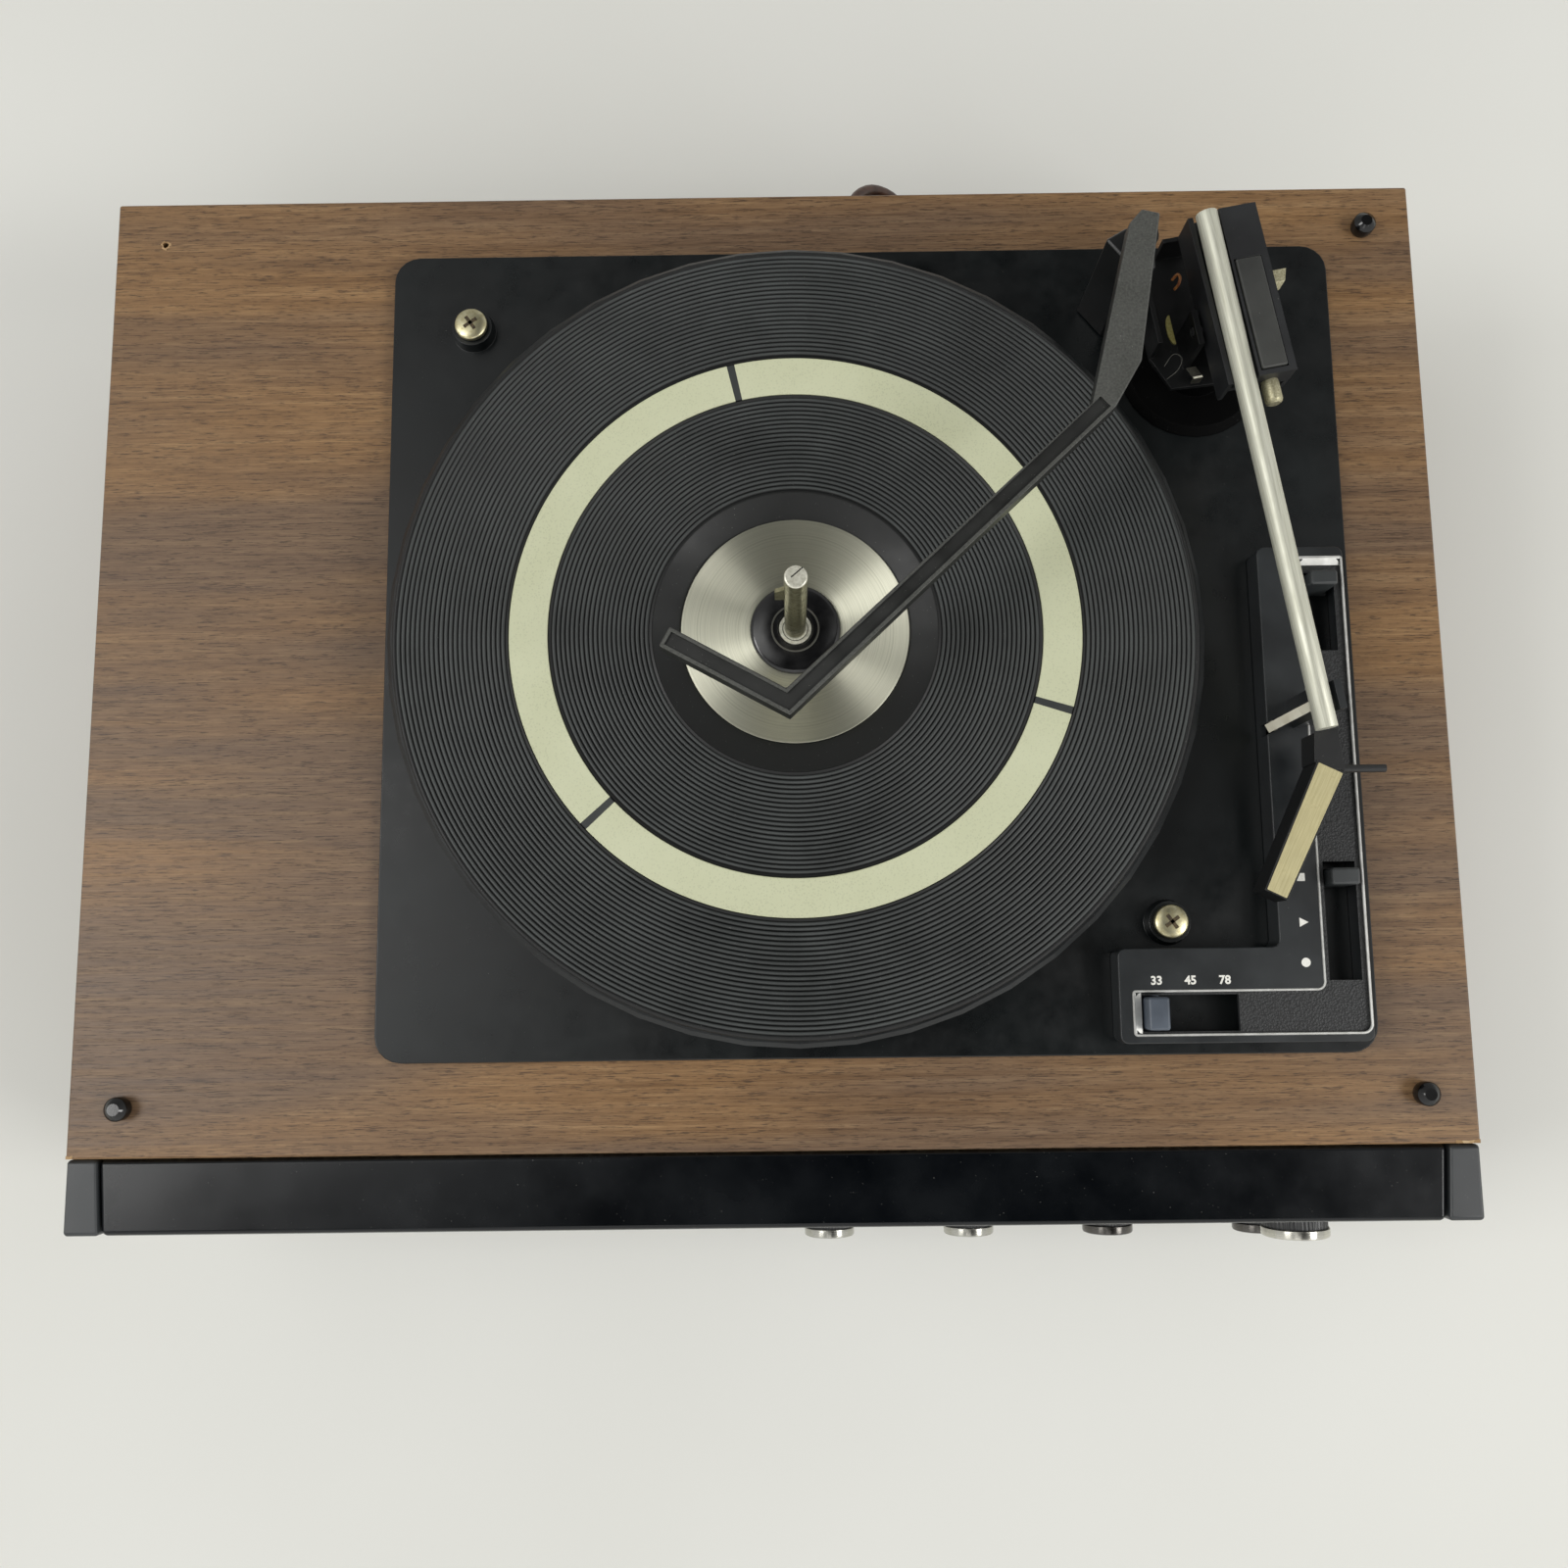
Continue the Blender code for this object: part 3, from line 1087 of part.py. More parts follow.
TIP_TURN = math.radians(151.0)
TIP_L = 0.0425
CHANNEL_RIM = 0.0012
CHANNEL_DEPTH = 0.0010
ARM_EDGE = 0.0004
OVERARM_LIFT = 0.025


def overarm_pedestal():
    """Tall black tower, its left corner drawn out, that guides the record arm's post."""
    low, high = PLATE_TOP + GAP, PLATE_TOP + PEDESTAL_H
    outline = [(-PEDESTAL_LEFT, PEDESTAL_LEFT_BACK), (-PEDESTAL_FRONT_LEFT, -PEDESTAL_FRONT),
               (PEDESTAL_RIGHT, -PEDESTAL_FRONT), (PEDESTAL_RIGHT, PEDESTAL_BACK), (-PEDESTAL_BACK_LEFT, PEDESTAL_BACK)]
    tower = flat("overarm_pedestal", [outline], 0, high - low, BLACK)
    tower.location = (POST_X, POST_Y, (low + high) / 2)
    bevel(tower, PEDESTAL_EDGE)
    return cut(tower, rod("post_bore", POST_R + RUN, low - OVER, high + OVER, at=(POST_X, POST_Y), sides=20))


def overarm_post():
    """Steel post that slides in the pedestal, with a stop head under the plate."""
    base = empty("overarm_post_axis", (POST_X, POST_Y, 0))
    low, high = PLATE_TOP - POST_DEEP, PLATE_TOP + POST_TOP
    profile = [(0, high), (POST_R, high), (POST_R, low + POST_HEAD_H), (POST_HEAD_R, low + POST_HEAD_H), (POST_HEAD_R, low), (0, low)]
    return turned("overarm_post", profile, STEEL, base, sides=20)


def along(start, turn, length, side=0.0):
    """The point at a length along a direction and a distance to its right."""
    return (start[0] + length * math.cos(turn) + side * math.sin(turn),
            start[1] + length * math.sin(turn) - side * math.cos(turn))


def arm_ribbon(fold, width, tip_short=0.0, start_short=0.0):
    """Outline of the leg and tip: two straight strips of one width, mitred where they meet."""
    half = width / 2
    vertex = along(fold, LEG_TURN, LEG_L)
    bend = (TIP_TURN - LEG_TURN - math.tau) / 2
    mitre = half / math.cos(bend)
    middle = (LEG_TURN + TIP_TURN - math.tau) / 2
    end = along(vertex, TIP_TURN, TIP_L - tip_short)
    start = along(fold, LEG_TURN, start_short)
    inner = along(vertex, middle, 0, mitre)
    outer = along(vertex, middle, 0, -mitre)
    return start, [along(start, LEG_TURN, 0, half), inner, along(end, TIP_TURN, 0, half), along(end, TIP_TURN, 0, -half),
                   outer, along(start, LEG_TURN, 0, -half)]


def overarm():
    """Record arm: a broad root on the post, a long leg and a hooked tip, channelled along the top."""
    base = empty("overarm_axis", (POST_X, POST_Y, 0))
    low, high = PLATE_TOP + ARM_LOW, PLATE_TOP + ARM_LOW + ARM_T
    fold = along((0, 0), ROOT_TURN, FOLD_L, FOLD_SIDE)
    ribbon = arm_ribbon(fold, LEG_W)[1]
    root = [along((0, 0), ROOT_TURN, FOLD_L + LEG_W / 3, ROOT_LEFT), along((0, 0), ROOT_TURN, 0, ROOT_LEFT),
            along((0, 0), ROOT_TURN, -ROOT_BACK, ROOT_LEFT / 2), along((0, 0), ROOT_TURN, -ROOT_BACK, -ROOT_RIGHT),
            along((0, 0), ROOT_TURN, ROOT_L, -ROOT_RIGHT_FAR)]
    outline = root + ribbon[::-1][:-1]
    arm = bevel(flat("overarm", [outline], low, high, BLACK, base), ARM_EDGE)
    boss = rod("overarm_boss", ARM_BOSS_R, low - ARM_BOSS_H, low + ARM_T / 3, parent=base, sides=20)
    join(arm, boss)
    channel = arm_ribbon(fold, LEG_W - 2 * CHANNEL_RIM, CHANNEL_RIM, CHANNEL_RIM)[1]
    groove = flat("arm_channel", [channel], high - CHANNEL_DEPTH, high + OVER, parent=base)
    socket = rod("arm_socket", POST_R + RUN, low - ARM_BOSS_H - OVER, PLATE_TOP + POST_TOP + GAP, parent=base, sides=20)
    return cut(arm, groove, socket)


# Tonearm, in its own frame: X towards the headshell, Y to the right, from the pivot
BASE_R = 0.026
BASE_H = 0.0028
BASE_NECK_R = 0.012
BASE_NECK_H = 0.0100
BASE_BORE = 0.0043
AXLE_R = 0.004
AXLE_DEEP = 0.012
FLOOR_T = 0.002
FLOOR_FRONT = 0.0138
FLOOR_FRONT_LEFT = 0.0120
FLOOR_CUT_LEFT = 0.0141
FLOOR_LEFT = 0.0190
FLOOR_LEFT_START = 0.0220
FLOOR_BACK = 0.0360
FLOOR_BACK_LEFT = 0.0095
FLOOR_BACK_RIGHT = 0.0020
FLOOR_RIGHT = 0.0120
FLOOR_RIGHT_START = 0.0240
WALL_T = 0.0015
WALL_H = 0.012
CHEEK_IN = 0.0066
CHEEK_T = 0.002
CHEEK_L = 0.006
HINGE_Z = PLATE_TOP + 0.031
PIN_R = 0.0015
CHEEK_TOP = PLATE_TOP + 0.0345
BLOCK_BACK = 0.0340
BLOCK_FRONT = 0.0245
BLOCK_LEFT = 0.0055
BLOCK_RIGHT = 0.0162
BLOCK_LOW = PLATE_TOP + 0.0300
BLOCK_ROOF = PLATE_TOP + 0.0425
BLOCK_SEAT = PLATE_TOP + 0.0387
BLOCK_TOP = PLATE_TOP + 0.0455
BLOCK_CEILING = PLATE_TOP + 0.0366
BLOCK_WALL = 0.0015
TUBE_R = 0.0035
TUBE_PIVOT_Z = PLATE_TOP + 0.0434
TUBE_FALL = 0.0044
TUBE_FRONT = 0.1395
TUBE_BACK = 0.0335
TUBE_WALL = 0.0006
LUG_HALF = 0.003
TURRET_Z = PLATE_TOP + BASE_H + BASE_NECK_H
WEIGHT_LEFT = 0.0050
WEIGHT_RIGHT = 0.0135
WEIGHT_BACK = 0.0155
WEIGHT_FRONT = 0.0225
WEIGHT_DEEP = 0.0050
WEIGHT_PROUD = 0.0008
FORCE_SCREW_R = 0.0024
FORCE_SCREW_L = 0.0090
FORCE_SCREW_Y = 0.0092
SWING_LIMIT = 42
LIFT_LIMIT = 3.5


def arm_frame(name):
    """Empty at the tonearm's pivot, turned to lie along the tube at rest."""
    return empty(name, (PIVOT_X, PIVOT_Y, 0), ARM_TURN)


def arm_base():
    """Round plinth of the tonearm with a bored neck for the turret's axle."""
    low = PLATE_TOP + GAP
    profile = [(BASE_NECK_R, TURRET_Z), (BASE_NECK_R, PLATE_TOP + BASE_H), (BASE_R - BASE_H, PLATE_TOP + BASE_H),
               (BASE_R, low), (BASE_SHANK_R, low), (BASE_SHANK_R, PLATE_TOP - AXLE_DEEP), (BASE_BORE, PLATE_TOP - AXLE_DEEP),
               (BASE_BORE, TURRET_Z)]
    return turned("arm_base", profile, BLACK, at=(PIVOT_X, PIVOT_Y, 0), sides=32)


def arm_turret():
    """Swivelling bracket: a floor with an outer wall, and two cheeks bored for the arm's cross pin."""
    base = arm_frame("arm_turret_axis")
    low = TURRET_Z + GAP
    outline = [(-FLOOR_LEFT_START, -FLOOR_LEFT), (0, -FLOOR_LEFT), (FLOOR_FRONT_LEFT, -FLOOR_CUT_LEFT),
               (FLOOR_FRONT, FLOOR_RIGHT), (-FLOOR_RIGHT_START, FLOOR_RIGHT), (-FLOOR_BACK, FLOOR_BACK_RIGHT),
               (-FLOOR_BACK, -FLOOR_BACK_LEFT)]
    floor = flat("arm_turret", [outline], low, low + FLOOR_T, BLACK, base)
    high = low + FLOOR_T + WALL_H
    wall = box("turret_wall", (-FLOOR_LEFT_START, -FLOOR_LEFT, low + FLOOR_T / 2), (0, -FLOOR_LEFT + WALL_T, high), parent=base)
    back = box("turret_back", (-FLOOR_BACK, -FLOOR_BACK_LEFT, low + FLOOR_T / 2), (-FLOOR_BACK + WALL_T, FLOOR_BACK_RIGHT, high),
               parent=base)
    axle = rod("turret_axle", AXLE_R, PLATE_TOP - AXLE_DEEP, low + FLOOR_T / 2, parent=base, sides=20)
    join(floor, wall, back, axle)
    for side in (-1, 1):
        inner, outer = side * CHEEK_IN, side * (CHEEK_IN + CHEEK_T)
        join(floor, box("cheek", (-CHEEK_L, min(inner, outer), low + FLOOR_T / 2), (CHEEK_L, max(inner, outer), CHEEK_TOP),
                        parent=base))
    bore = rod("cheek_bore", PIN_R + RUN, -CHEEK_IN - CHEEK_T - OVER, CHEEK_IN + CHEEK_T + OVER, parent=base, sides=16)
    bore.rotation_euler = ACROSS_Y
    bore.location = (0, 0, HINGE_Z)
    return cut(floor, bore)


def arm_block():
    """Tilting block on the cross pin: it cradles the tube and holds the balance weight and the force screw."""
    base = arm_frame("arm_block_axis")
    nest = TUBE_R + GAP
    section = [(-BLOCK_LEFT, BLOCK_LOW), (-BLOCK_LEFT + BLOCK_WALL, BLOCK_LOW), (-BLOCK_LEFT + BLOCK_WALL, BLOCK_CEILING),
               (BLOCK_RIGHT - BLOCK_WALL, BLOCK_CEILING), (BLOCK_RIGHT - BLOCK_WALL, BLOCK_LOW), (BLOCK_RIGHT, BLOCK_LOW),
               (BLOCK_RIGHT, BLOCK_TOP), (nest, BLOCK_TOP), (nest, BLOCK_SEAT), (-nest, BLOCK_SEAT), (-nest, BLOCK_ROOF),
               (-BLOCK_LEFT, BLOCK_ROOF)]
    block = prism("arm_block", section, -BLOCK_BACK, BLOCK_FRONT, BLACK, base)
    pocket = box("weight_pocket", (-WEIGHT_BACK - GAP, WEIGHT_LEFT - GAP, BLOCK_TOP - WEIGHT_DEEP - GAP),
                 (WEIGHT_FRONT + GAP, WEIGHT_RIGHT + GAP, BLOCK_TOP + OVER), parent=base)
    cut(block, pocket)
    lug = box("pin_lug", (-LUG_HALF, -LUG_HALF, HINGE_Z - LUG_HALF), (LUG_HALF, LUG_HALF, BLOCK_CEILING + LUG_HALF / 3),
              parent=base)
    reach = CHEEK_IN + CHEEK_T
    pin = rod("cross_pin", PIN_R, -reach, reach, parent=base, sides=16)
    pin.rotation_euler = ACROSS_Y
    pin.location = (0, 0, HINGE_Z)
    screw = rod("force_screw", FORCE_SCREW_R, -FORCE_SCREW_L / 2, FORCE_SCREW_L / 2, parent=base, sides=12)
    screw.rotation_euler = (0, math.pi / 2, 0)
    screw.location = (BLOCK_FRONT + FORCE_SCREW_L / 2 - BLOCK_WALL, FORCE_SCREW_Y, (BLOCK_CEILING + BLOCK_TOP - WEIGHT_DEEP) / 2)
    return join(block, lug, pin, screw)


def counterweight():
    """Adjustable weight let into the block's top."""
    base = arm_frame("counterweight_axis")
    return box("counterweight", (-WEIGHT_BACK, WEIGHT_LEFT, BLOCK_TOP - WEIGHT_DEEP), (WEIGHT_FRONT, WEIGHT_RIGHT,
                                                                                     BLOCK_TOP + WEIGHT_PROUD), GREY, base, soft=WEIGHT_PROUD / 2)


def tube_z(x):
    """Height of the tube's centre at a distance ahead of the pivot."""
    return TUBE_PIVOT_Z - TUBE_FALL * x / TUBE_FRONT


def tonearm_tube():
    """Drawn aluminium tube, falling slightly towards the headshell."""
    base = arm_frame("tonearm_tube_axis")
    points = [(x, 0, tube_z(x)) for x in (-TUBE_BACK, TUBE_FRONT)]
    return tube("tonearm_tube", points, TUBE_R, BRUSHED, base, resolution=4)


# Headshell
NECK_START = 0.0003
NECK_LEFT = 0.0027
NECK_RIGHT = 0.0050
NECK_LEFT_X = 0.1490
NECK_LEFT_END = 0.0047
NECK_RIGHT_X = 0.1535
NECK_RIGHT_END = 0.0040
SHELL_TURN = math.radians(-36.2)
SHELL_L = 0.0450
SHELL_W = 0.0094
SHELL_NOSE_W = 0.0078
SHELL_H = 0.0120
SHELL_WALL = 0.0012
SHELL_X = 0.1512
SHELL_Y = 0.0
SHELL_TOP = PLATE_TOP + 0.0355
FINGER_R = 0.0013
FINGER_L = 0.0178
FINGER_DROP = 0.0020
FINGER_FRONT = 0.0006
LABEL_T = 0.0004
CARTRIDGE_L = 0.016
CARTRIDGE_H = 0.0075
CARTRIDGE_NOSE = 0.005
CARTRIDGE_LOW = MAT_TOP + 0.0030
STYLUS_L = 0.010
STYLUS_DEEP = 0.0065
STYLUS_R = 0.0009
STYLUS_TIP = 0.0019
STYLUS_HOLE = 0.0012
STYLUS_Z = CARTRIDGE_LOW + 0.0018


def shell_frame(name):
    """Empty at the headshell's rear end, turned along the shell."""
    x = PIVOT_X + SHELL_X * math.cos(ARM_TURN) - SHELL_Y * math.sin(ARM_TURN)
    y = PIVOT_Y + SHELL_X * math.sin(ARM_TURN) + SHELL_Y * math.cos(ARM_TURN)
    return empty(name, (x, y, 0), ARM_TURN + SHELL_TURN)


def headshell():
    """Moulded shell, open below, with its neck to the tube and a finger lift at the side."""
    base = shell_frame("headshell_axis")
    half = SHELL_W / 2
    nose = SHELL_NOSE_W / 2
    outline = [(0, -half), (SHELL_L, -nose), (SHELL_L, nose), (0, half)]
    shell = flat("headshell", [outline], SHELL_TOP - SHELL_H, SHELL_TOP, BLACK, base)
    inner = [(SHELL_WALL, SHELL_WALL - half), (SHELL_L - SHELL_WALL, SHELL_WALL - nose),
             (SHELL_L - SHELL_WALL, nose - SHELL_WALL), (SHELL_WALL, half - SHELL_WALL)]
    hollow = flat("shell_hollow", [inner], SHELL_TOP - SHELL_H - OVER, SHELL_TOP - SHELL_WALL, parent=base)
    arm = arm_frame("neck_axis")
    turn = [(TUBE_FRONT + NECK_START, -NECK_LEFT), (NECK_LEFT_X, -NECK_LEFT_END), (NECK_RIGHT_X, NECK_RIGHT_END),
            (TUBE_FRONT + NECK_START, NECK_RIGHT)]
    neck = flat("shell_neck", [turn], SHELL_TOP - SHELL_H, SHELL_TOP - LABEL_T, parent=arm)
    finger = rod("finger", FINGER_R, 0, FINGER_L, sides=10)
    finger.rotation_euler = (0, math.pi / 2, 0)
    x = base.location.x
    y = base.location.y
    finger.location = (x + FINGER_L / 2, y - FINGER_FRONT, SHELL_TOP - FINGER_DROP)
    join(shell, neck, finger)
    return cut(shell, hollow)


def cartridge():
    """Ceramic cartridge clipped up inside the shell, bored for the stylus bar."""
    base = shell_frame("cartridge_axis")
    half = SHELL_NOSE_W / 2 - SHELL_WALL - GAP
    front = SHELL_L - SHELL_WALL - GAP - CARTRIDGE_NOSE
    made = box("cartridge", (front - CARTRIDGE_L, -half, CARTRIDGE_LOW), (front, half, SHELL_TOP - SHELL_WALL - GAP), GREY,
               base)
    hole = rod("stylus_hole", STYLUS_HOLE, -STYLUS_L / 2, STYLUS_L / 2, parent=base, sides=12)
    hole.rotation_euler = (0, math.pi / 2, 0)
    hole.location = (front - STYLUS_DEEP - GAP + STYLUS_L / 2, 0, STYLUS_Z)
    return cut(made, hole)


def stylus():
    """Turn-over stylus bar ahead of the cartridge, with a tip on each side, one for each kind of record."""
    base = shell_frame("stylus_axis")
    start = SHELL_L - SHELL_WALL - GAP - CARTRIDGE_NOSE - STYLUS_DEEP
    bar = rod("stylus", STYLUS_R, -STYLUS_L / 2, STYLUS_L / 2, NICKEL, base, sides=10)
    bar.rotation_euler = (0, math.pi / 2, 0)
    bar.location = (start + STYLUS_L / 2, 0, STYLUS_Z)
    tip = rod("stylus_tip", STYLUS_R / 3, STYLUS_Z - STYLUS_TIP, STYLUS_Z + STYLUS_TIP, parent=base,
              at=(start + STYLUS_L - STYLUS_R, 0), sides=8)
    return join(bar, tip)


# Console: an L of moulding with three slots, from the spindle's axis
CONSOLE_X0 = 0.1573
CONSOLE_X1 = 0.1865
CONSOLE_Y0 = -0.1370
CONSOLE_Y1 = 0.0290
CONSOLE_FOOT_X = 0.1040
CONSOLE_FOOT_Y = -0.1062
CONSOLE_H = 0.0110
CONSOLE_WALL = 0.0018
CONSOLE_CORNER = 0.0025
CONSOLE_EDGE = 0.0006
CONSOLE_Z = PLATE_TOP + CONSOLE_H
CHANNEL_X = 0.1716
CHANNEL_X1 = 0.1856
CHANNEL_TOP = 0.0250
CHANNEL_Y0 = -0.1340
CHANNEL_Y1 = -0.1204
CHANNEL_END = 0.1090
CHANNEL_FLOOR = 0.0010
CHANNEL_TURN = 0.0028
CUE_SLOT = (0.1728, 0.1832, -0.0070, 0.0200)
START_SLOT = (0.1733, 0.1839, -0.1172, -0.0784)
SPEED_SLOT = (0.1116, 0.1432, -0.1332, -0.1214)
REST_BACK = 0.0145
REST_FRONT = 0.0050
REST_LEFT = 0.0005
REST_HALF = 0.0050
REST_PRONG = 0.0023
REST_PRONG_H = 0.0060
LATCH_W = 0.003
LATCH_T = 0.002
LATCH_PLACE = (0.1600, -0.0325)
LATCH_TURN = math.radians(26.6)
LATCH_SUNK = 0.0014
LATCH_KINK = (-0.0032, 0.0044)
LATCH_REACH = 0.0012
LATCH_H = 0.0244
LATCH_TIP = 0.0044
LATCH_PIN_R = 0.0006
LATCH_PIN_HALF = LATCH_W / 2 + GAP + 0.0013
NOTCH_DEEP = 0.0056
NOTCH_LEFT = 0.0080
NOTCH_RIGHT = 0.0021
ALONG_X = (0, math.pi / 2, 0)


def latch_frame(name):
    """Empty on the rest latch's hinge line: its X runs along the line, its Y leans towards the tube."""
    x, y = on_deck(LATCH_PLACE)
    return empty(name, (x, y, CONSOLE_Z - LATCH_SUNK), LATCH_TURN - math.pi / 2)


def console_outline(shift):
    """The console's L, drawn in by a shift on every side."""
    x0, x1, foot_x = (SPINDLE_X + v for v in (CONSOLE_X0 + shift, CONSOLE_X1 - shift, CONSOLE_FOOT_X + shift))
    y0, y1, foot_y = (SPINDLE_Y + v for v in (CONSOLE_Y0 + shift, CONSOLE_Y1 - shift, CONSOLE_FOOT_Y - shift))
    return [(foot_x, y0), (x1, y0), (x1, y1), (x0, y1), (x0, foot_y), (foot_x, foot_y)]


def channel_outline(shift):
    """The sunk L-shaped channel, drawn in by a shift on every side."""
    x, x1, end = (SPINDLE_X + v for v in (CHANNEL_X + shift, CHANNEL_X1 - shift, CHANNEL_END + shift))
    top, y0, y1 = (SPINDLE_Y + v for v in (CHANNEL_TOP - shift, CHANNEL_Y0 + shift, CHANNEL_Y1 - shift))
    return [(end, y0), (x1, y0), (x1, top), (x, top), (x, y1), (end, y1)]


def slot_box(name, slot, grow=0.0):
    """A cutter through the console for one lever's slot."""
    x0, x1, y0, y1 = slot
    return box(name, (SPINDLE_X + x0 - grow, SPINDLE_Y + y0 - grow, PLATE_TOP - OVER),
               (SPINDLE_X + x1 + grow, SPINDLE_Y + y1 + grow, CONSOLE_Z + OVER))


def console():
    """Hollow L-shaped moulding with the levers' slots, a sunk channel and the arm's rest post."""
    low = PLATE_TOP + GAP
    shell = bevel(flat("console", [rounded(console_outline(0), CONSOLE_CORNER)], low, CONSOLE_Z, BLACK), CONSOLE_EDGE, 1,
                  math.radians(60))
    hollow = flat("console_hollow", [console_outline(CONSOLE_WALL)], low - OVER, CONSOLE_Z - CHANNEL_FLOOR - CONSOLE_WALL)
    channel = flat("console_channel", [rounded(channel_outline(0), CHANNEL_TURN)], CONSOLE_Z - CHANNEL_FLOOR, CONSOLE_Z + OVER)
    arm = arm_frame("rest_axis")
    start, end = TUBE_FRONT - REST_BACK, TUBE_FRONT - REST_FRONT
    top = tube_z(end) - TUBE_R - GAP - 2 * PIN_R / 5
    post = box("rest_post", (start, REST_LEFT, CONSOLE_Z - CHANNEL_FLOOR - CONSOLE_WALL / 2), (end, REST_HALF + REST_PRONG, top + REST_PRONG_H),
               parent=arm)
    notch = box("rest_notch", (start - OVER, REST_LEFT - OVER, top), (end + OVER, REST_HALF, top + REST_PRONG_H + OVER), parent=arm)
    hinge = latch_frame("latch_notch_axis")
    side = LATCH_W / 2 + GAP
    latch_notch = box("latch_notch", (-side, -NOTCH_LEFT, LATCH_SUNK - NOTCH_DEEP), (side, NOTCH_RIGHT, LATCH_SUNK + OVER), parent=hinge)
    latch_bore = rod("latch_bore", LATCH_PIN_R + RUN, -LATCH_PIN_HALF - GAP, LATCH_PIN_HALF + GAP, parent=hinge, sides=12)
    latch_bore.rotation_euler = ALONG_X
    cut(shell, hollow, channel, latch_notch, latch_bore)
    cut(shell, *(slot_box("slot", slot) for slot in (CUE_SLOT, START_SLOT, SPEED_SLOT)))
    return cut(join(shell, post), notch)


SLIDER_T = 0.0016
SLIDER_LIP = 0.0010
LEVER_PROUD = 0.0050
SPEED_KNOB = 0.0070
START_KNOB = 0.0056
CUE_KNOB = 0.0050
LEVER_CLEAR = 0.0006
SPEED_TRAVEL = 0.0226
START_TRAVEL = 0.0290
CUE_TRAVEL = 0.0200


def slot_lever(name, slot, knob_x, knob_y, made_of, where):
    """A sliding lever: a foot on the plate under the console and a knob that stands out of its slot."""
    x0, x1, y0, y1 = slot
    base = empty(name + "_axis", (SPINDLE_X + where[0], SPINDLE_Y + where[1], 0))
    low = PLATE_TOP + GAP
    half_x, half_y = knob_x / 2, knob_y / 2
    made = box(name, (-half_x, -half_y, low + SLIDER_T / 2), (half_x, half_y, CONSOLE_Z + LEVER_PROUD), made_of, base,
               soft=LEVER_CLEAR)
    foot_x = SLIDER_LIP if y1 - y0 > x1 - x0 else 0
    foot_y = SLIDER_LIP if y1 - y0 <= x1 - x0 else 0
    return join(made, box("slider_foot", (-half_x - foot_x, -half_y - foot_y, low), (half_x + foot_x, half_y + foot_y, low + SLIDER_T),
                          parent=base))


def levers():
    """The speed, start and cue levers, each at the end of its slot where the photographed ones stand."""
    x0, x1, y0, y1 = SPEED_SLOT
    slot_lever("speed_lever", SPEED_SLOT, SPEED_KNOB, y1 - y0 - 2 * LEVER_CLEAR, GREY,
               (x0 + SPEED_KNOB / 2 + LEVER_CLEAR, (y0 + y1) / 2))
    x0, x1, y0, y1 = START_SLOT
    slot_lever("start_lever", START_SLOT, x1 - x0 - 2 * LEVER_CLEAR, START_KNOB, BLACK,
               ((x0 + x1) / 2, y1 - START_KNOB / 2 - 4 * LEVER_CLEAR))
    x0, x1, y0, y1 = CUE_SLOT
    slot_lever("cue_lever", CUE_SLOT, x1 - x0 - 2 * LEVER_CLEAR, CUE_KNOB, BLACK,
               ((x0 + x1) / 2, y1 - CUE_KNOB / 2 - LEVER_CLEAR))


def rest_latch():
    """White clip, bent at the top, that stands beside the tube in its rest and folds down to the left."""
    base = latch_frame("rest_latch_axis")
    kink_y, kink_z = LATCH_KINK
    section = [(-LATCH_T / 2, -LATCH_T / 2), (LATCH_T / 2, -LATCH_T / 2), (kink_y + LATCH_T / 2, kink_z),
               (LATCH_REACH + LATCH_T / 2, LATCH_H - LATCH_T), (LATCH_TIP, LATCH_H - LATCH_T), (LATCH_TIP, LATCH_H),
               (LATCH_REACH - LATCH_T / 2, LATCH_H), (kink_y - LATCH_T / 2, kink_z)]
    clip = prism("rest_latch", section, -LATCH_W / 2, LATCH_W / 2, WHITE, base)
    pin = rod("latch_pin", LATCH_PIN_R, -LATCH_PIN_HALF, LATCH_PIN_HALF, parent=base, sides=12)
    pin.rotation_euler = ALONG_X
    return join(clip, pin)


# Mains lead: every route point is from the exit, chosen by eye
LOOP_R = 0.020
LOOP_TILT = math.radians(40)
LOOP_OUT = 0.008
DROP_R = 0.016
FLOOR_R = 0.018
HANK_RUN = 0.090
HANK_IN = 0.0135
HANK_PITCH = 0.0051
HANK_LAYER = 0.0051
HANK_TURNS_DOWN = 3
HANK_TURNS_UP = 2
RUN_POINTS = 2
FOLD_POINTS = 6
PLUG_L = 0.026
PLUG_W = 0.017
PLUG_H = 0.0145
PIN_BLADE_L = 0.016
PIN_BLADE_W = 0.0062
PIN_BLADE_T = 0.0015
PIN_BLADE_PITCH = 0.0127
LEAD_Y = PANEL_BACK_Y + RELIEF_L + GAP
HANK_OUT = HANK_IN + HANK_PITCH * HANK_TURNS_DOWN
FLOOR_Z = LEAD_R + GAP / 4
LOOP_Y = LEAD_Y + LOOP_OUT
DROP_X = LEAD_X + 2 * LOOP_R * math.cos(LOOP_TILT)
DROP_Z = LEAD_Z - 2 * LOOP_R * math.sin(LOOP_TILT)
DROP_Y = LOOP_Y - DROP_R
HANK_X = DROP_X + FLOOR_R
HANK_Y = DROP_Y + HANK_OUT


